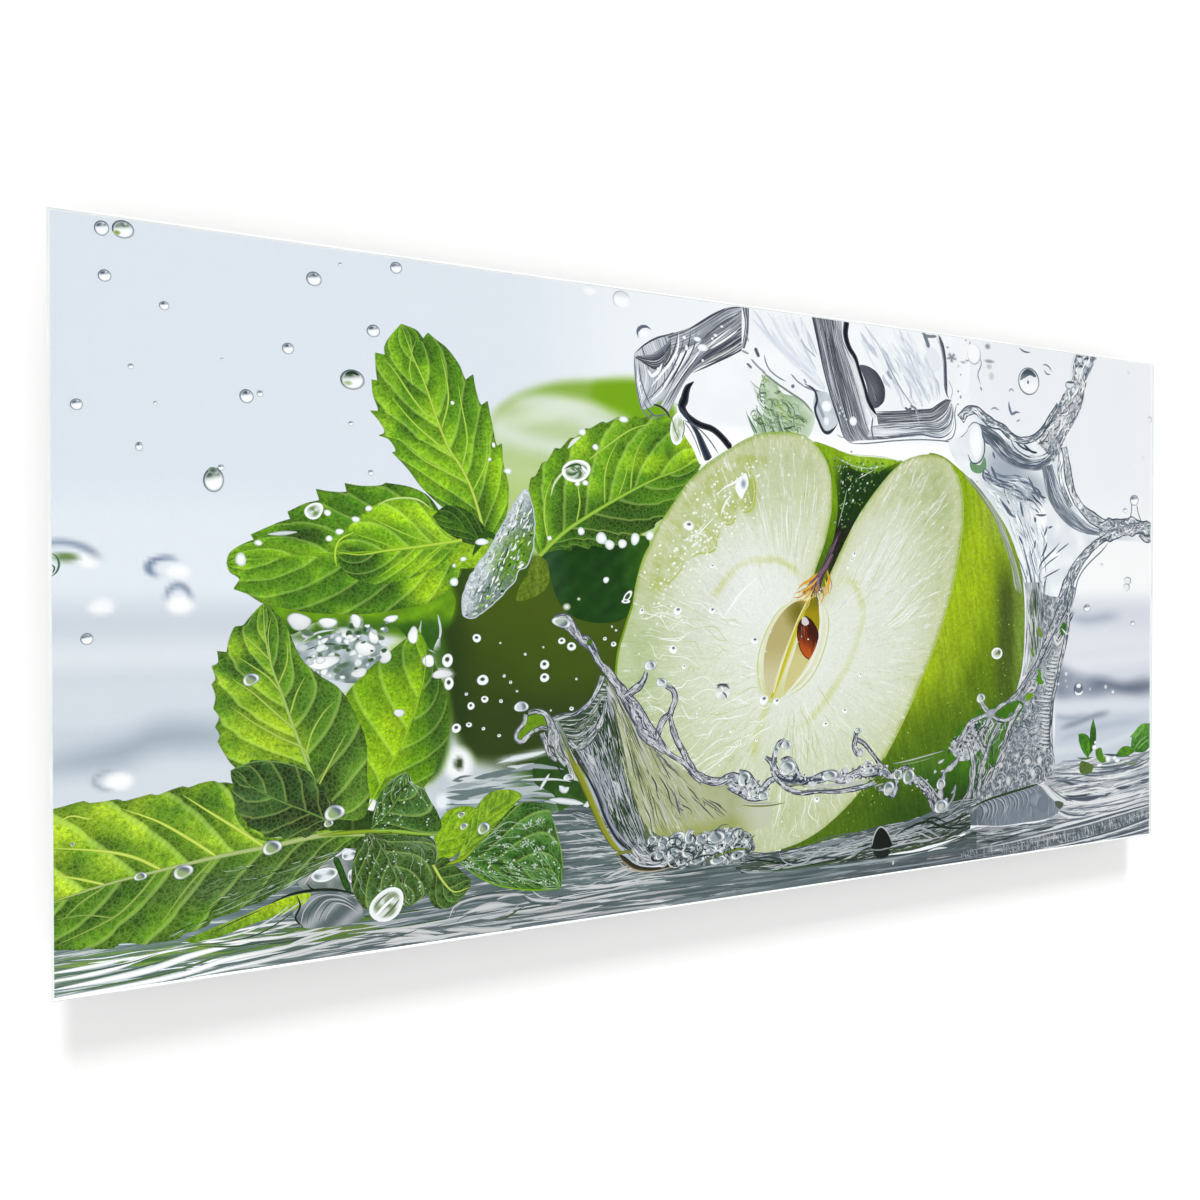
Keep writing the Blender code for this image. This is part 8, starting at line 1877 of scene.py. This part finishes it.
for x, y, rx, ry in ((273, 276, 3.2, 3.2), (277.5, 307.5, 4.3, 4.0), (279, 322, 2.8, 2.6), (268.5, 326.5, 2.8, 2.8), (257.5, 342.5, 3.5, 3.5), (267, 340.5, 2.3, 1.8), (326, 297.5, 3.8, 3.6), (326, 307.5, 3.8, 3.4), (340, 279.5, 3, 2.6), (348, 284, 3.7, 3.4), (291.5, 324, 1.4, 1.4), (299, 310, 1.2, 1.2), (310.5, 289, 1.1, 1.1), (278, 344, 1.3, 1.3), (376, 278.5, 1.6, 1.4), (383.5, 283, 2.3, 2.0), (348, 332.5, 1.8, 1.6), (290, 350, 1.4, 1.2), (291, 280, 0.8, 0.8), (325, 284, 0.8, 0.8), (352, 309.5, 1, 1), (265, 317.5, 1.2, 1.2), (294, 305, 1.2, 1.2), (331, 333, 0.8, 0.8), (382, 269, 0.9, 0.9), (385.5, 272, 1, 1), (304, 317, 0.9, 0.9), (251, 292, 4, 5), (252, 309, 3.4, 5), (394, 249, 4, 1.6)):
    round_drop(x, y, rx, ry, base=(54, 74, 24))
for x, y, r in ((344, 253, 3.5), (354, 247, 1.6)):
    disc("print_drops", x, y, r, r * 0.9, 52, lambda R, A: mix((226, 230, 232), (96, 120, 60), smoothstep(0.3, 1.0, R)), rings=4, n=18)


def face_drop(x, y, rx, ry, level=52, dark=(96, 106, 112)):
    """A drop on the pale flesh: a dark fleck toward the top and bright edges."""
    def colour(R, A):
        px, py = R * np.cos(A) - 0.12, R * np.sin(A) - 0.30
        c = mix(dark, (250, 252, 252), smoothstep(0.22, 0.50, np.hypot(px, py * 1.3)))
        return mix(c, (206, 212, 192), smoothstep(0.74, 1.0, R) * 0.9)

    disc("print_drops", x, y, rx, ry, level, colour, rings=7, n=24, wobble=0.08, seed=x)


for x, y, rx, ry in ((408, 257, 2.4, 2.6), (440, 257, 4, 4), (472, 257, 3.6, 3.4), (446, 266, 1.5, 1.5), (436, 288.5, 3.8, 4), (446, 303, 2, 2.2), (490, 358.5, 1.6, 2), (450, 187, 5.4, 4), (513, 283, 4.6, 3.6), (522, 334, 4.6, 4.8), (535, 336, 3.6, 3.4), (606, 347.5, 3.2, 2.8), (585.5, 358.5, 3.2, 2.6), (623, 316, 2.2, 2.2), (458.5, 345, 1.2, 1.2), (458, 342, 1, 1), (472, 220, 2.6, 2), (684, 288, 1.2, 1.0), (550, 356, 1, 1), (455, 330, 1, 1), (515, 368, 1.6, 1.6), (576.5, 424.5, 3.4, 2.4), (616, 208, 2.4, 3.0), (613, 213, 1.6, 1.6), (609, 219, 1.6, 2)):
    face_drop(x, y, rx, ry)
disc("print_drops", 482.5, 325, 7, 7, 52, lambda R, A: mix(mix((240, 244, 242), (206, 214, 206), 0.5 + 0.5 * np.sin(A * 3)), (60, 70, 76), smoothstep(0.45, 0.8, R * np.sin(A) + 0.12 * np.cos(A * 5)) * 0.9), rings=7, n=30, wobble=0.06)
strip("print_marks", [(476, 320), (480, 319), (485, 320), (489, 323)], 1.8, 52.5, (40, 50, 54), side=(130, 142, 146), taper=(0.3, 0.3))
strip("print_marks", [(482, 325), (485, 328), (486, 331)], 1.6, 52.5, (84, 96, 100), taper=(0.3, 0.3))
# glints on the leaves
for x, y, a, b in ((167, 186, 2.5, 2.2), (111, 219.5, 3.5, 4.4), (122, 208, 2.5, 2), (186, 190, 3, 2), (195, 182, 2.5, 2), (175, 199, 3, 2), (168, 204, 2.5, 2), (357, 116.5, 3.4, 2.6), (368, 127.5, 2.6, 2.4), (353, 157, 2.2, 2), (359.5, 156, 2.4, 2.2), (297, 150, 3, 2.4), (392, 104, 4, 2.6), (356, 194, 3, 3), (373, 199, 4.4, 5), (380, 204, 4, 4), (391, 203, 3.6, 3.8), (402, 199, 3.8, 5), (415, 196, 3.6, 3.8), (377, 232, 2.5, 2.5), (330, 200, 2, 1.8), (277, 204, 5, 2.6), (256, 234, 3.4, 3), (255, 102, 1.5, 1.5), (286, 131, 1.4, 2), (283, 142, 1.4, 1.4), (263, 217, 2.6, 1.6), (256, 222, 1.4, 1.4)):
    disc("print_marks", x, y, a, b, 51, lambda R, A: mix((250, 252, 253), (196, 210, 206), smoothstep(0.45, 1.0, R)), rings=4, n=18, wobble=0.06, seed=x)
disc("print_drops", 352, 147, 12, 8.6, 51.5, lambda R, A: mix(mix((86, 120, 70), (206, 216, 206), 0.5 + 0.5 * np.sin(A * 4 + R * 6)), (252, 253, 253), smoothstep(0.66, 0.80, R)), angle=-0.15, rings=9, n=40, wobble=0.03)
for line, w, tone in (([(342, 146), (348, 143), (354, 142), (359, 145)], 1.6, (52, 84, 40)), ([(344, 150), (350, 150), (354, 147)], 1.4, (70, 100, 60)), ([(350, 144), (356, 148), (354, 152)], 1.2, (60, 88, 60)), ([(356, 143), (361, 148)], 2.2, (250, 252, 253))):
    strip("print_marks", line, w, 52.2, tone, taper=(0.3, 0.3))
disc("print_drops", 158, 185, 6.5, 5.5, 51.2, lambda R, A: mix(mix((110, 140, 80), (214, 222, 222), 0.5 + 0.5 * np.sin(A * 2 + 1)), (246, 249, 250), smoothstep(0.55, 0.8, R)), angle=-0.3, rings=6, n=26, wobble=0.08)
disc("print_drops", 395.5, 245, 5.6, 2.6, 51.5, lambda R, A: mix((60, 84, 40), (246, 248, 248), smoothstep(0.45, 0.7, R)), angle=-0.9, rings=5, n=26)
# beads on the lower sprig
for x, y, rx, ry, s in ((130, 417, 6, 5.4, 0.8), (75, 427, 5.8, 5, 0.5), (50, 427, 3.6, 3, 1.2), (171, 397, 6.6, 6, 0.9), (117, 301, 5, 4.6, 0.6), (278, 419, 4.4, 5, 0.9), (263, 416, 3, 2.6, 0.4), (261, 407, 2.8, 2.2, 0.4), (167, 404, 3, 3, 1.0), (12, 402, 1.2, 1.2, 0.3)):
    bead(x, y, rx, ry, 53, tone=(150, 172, 120), seed=s)
disc("print_drops", 207, 467, 13, 11, 53, lambda R, A: mix(mix(mix((130, 146, 110), (222, 228, 224), 0.5 + 0.5 * np.sin(A * 3 + R * 5)), (84, 100, 70), smoothstep(0.3, 0.0, R)), (240, 244, 245), smoothstep(0.66, 0.84, R)), angle=-0.5, rings=9, n=44, wobble=0.06)
for line, w, tone in (([(199, 474), (205, 468), (212, 462)], 2.2, (250, 252, 253)), ([(204, 476), (210, 471), (216, 464)], 1.4, (90, 108, 80)), ([(198, 468), (203, 462), (209, 458)], 1.2, (100, 118, 90))):
    strip("print_marks", line, w, 53.6, tone, taper=(0.3, 0.3))
# drops on the skin
disc("print_drops", 784.5, 301, 7, 5.6, 52, lambda R, A: mix(mix((130, 150, 70), (206, 214, 200), smoothstep(0.1, 0.5, R)), (248, 250, 248), smoothstep(0.6, 0.84, R)), rings=7, n=30)
disc("print_drops", 787, 300, 2.4, 2.8, 52.5, lambda R, A: mix((60, 74, 60), (150, 164, 130), R), rings=2, n=12)


# ---------------------------------------------------------------- pieces, glass and backing

for name in list(art.pieces):
    art.make(name, INKS["print_marks" if name.startswith("print_marks") else name])

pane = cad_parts["glass_pane"]
pane.data.materials.clear()
for material in (pane_glass(), ground_edge_painted_light()):
    pane.data.materials.append(material)
for face in pane.data.polygons:
    face.material_index = 0 if abs(face.normal.y) > 0.99 else 1
    face.use_smooth = False

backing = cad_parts["print_backing"]
backing.data.materials.clear()
backing.data.materials.append(back_lacquer())


# ---------------------------------------------------------------- stage, light and camera

WALL_GAP = 0.021
WALL_Y = PANE_HIGH.y + 0.0008 + WALL_GAP


def stage_plane(name, points, faces, colour):
    mesh = bpy.data.meshes.new(name)
    mesh.from_pydata(points, [], faces)
    m = Shader(name)
    s = m.node("ShaderNodeBsdfPrincipled")
    s.inputs["Base Color"].default_value = (*colour, 1.0)
    s.inputs["Roughness"].default_value = 0.9
    s.inputs["Specular IOR Level"].default_value = 0.0
    clear = m.node("ShaderNodeBsdfTransparent")
    side = m.node("ShaderNodeNewGeometry")
    both = m.node("ShaderNodeMixShader")
    m.set(both.inputs[0], side.outputs["Backfacing"])
    m.set(both.inputs[1], s.outputs[0])
    m.set(both.inputs[2], clear.outputs[0])
    m.tree.links.new(both.outputs[0], m.out.inputs["Surface"])
    mesh.materials.append(m.material)
    thing = bpy.data.objects.new(name, mesh)
    bpy.context.scene.collection.objects.link(thing)
    thing.visible_glossy = False
    return thing


SIDE = 6.0
FLOOR = -0.9
wall = stage_plane(
    "stage_wall",
    [(-SIDE, WALL_Y, FLOOR), (SIDE, WALL_Y, FLOOR), (SIDE, WALL_Y, SIDE), (-SIDE, WALL_Y, SIDE)],
    [(0, 1, 2, 3)],
    (0.915, 0.912, 0.908),
)
floor = stage_plane(
    "stage_floor",
    [(-SIDE, -SIDE, FLOOR), (SIDE, -SIDE, FLOOR), (SIDE, SIDE, FLOOR), (-SIDE, SIDE, FLOOR)],
    [(0, 1, 2, 3)],
    (0.70, 0.70, 0.70),
)

floor.visible_transmission = False

scene = bpy.context.scene
world = bpy.data.worlds.new("studio")
world.use_nodes = True
scene.world = world
tree = world.node_tree
tree.nodes.clear()
path = tree.nodes.new("ShaderNodeLightPath")
grey = tree.nodes.new("ShaderNodeBackground")
grey.inputs["Color"].default_value = (1.0, 1.0, 1.0, 1.0)
grey.inputs["Strength"].default_value = 0.70
dim = tree.nodes.new("ShaderNodeBackground")
dim.inputs["Color"].default_value = (0.10, 0.10, 0.10, 1.0)
shown = tree.nodes.new("ShaderNodeBackground")
shown.inputs["Color"].default_value = (1.0, 1.0, 1.0, 1.0)
first = tree.nodes.new("ShaderNodeMixShader")
second = tree.nodes.new("ShaderNodeMixShader")
tree.links.new(path.outputs["Is Glossy Ray"], first.inputs[0])
tree.links.new(grey.outputs[0], first.inputs[1])
tree.links.new(dim.outputs[0], first.inputs[2])
tree.links.new(path.outputs["Is Camera Ray"], second.inputs[0])
tree.links.new(first.outputs[0], second.inputs[1])
tree.links.new(shown.outputs[0], second.inputs[2])
out = tree.nodes.new("ShaderNodeOutputWorld")
tree.links.new(second.outputs[0], out.inputs["Surface"])

sun_data = bpy.data.lights.new("key", "SUN")
sun_data.energy = 2.75
sun_data.angle = math.radians(13)
sun = bpy.data.objects.new("key", sun_data)
sun.rotation_euler = (math.radians(20.5), 0.0, math.radians(0))
scene.collection.objects.link(sun)

CAMERA_YAW = math.radians(21.341)
CAMERA_PITCH = math.radians(-0.555)
data = bpy.data.cameras.new("camera")
data.sensor_width = 36.0
data.lens = 25.18
data.clip_start = 0.01
camera = bpy.data.objects.new("camera", data)
camera.location = (-0.3694, -0.6147 + PANE_LOW.y, 0.0086)
ahead = Vector(
    (
        math.sin(CAMERA_YAW) * math.cos(CAMERA_PITCH),
        math.cos(CAMERA_YAW) * math.cos(CAMERA_PITCH),
        math.sin(CAMERA_PITCH),
    )
)
camera.rotation_euler = ahead.to_track_quat("-Z", "Y").to_euler()
scene.collection.objects.link(camera)
scene.camera = camera
scene.view_settings.view_transform = "Standard"
scene.view_settings.look = "None"
scene.cycles.transparent_max_bounces = 16
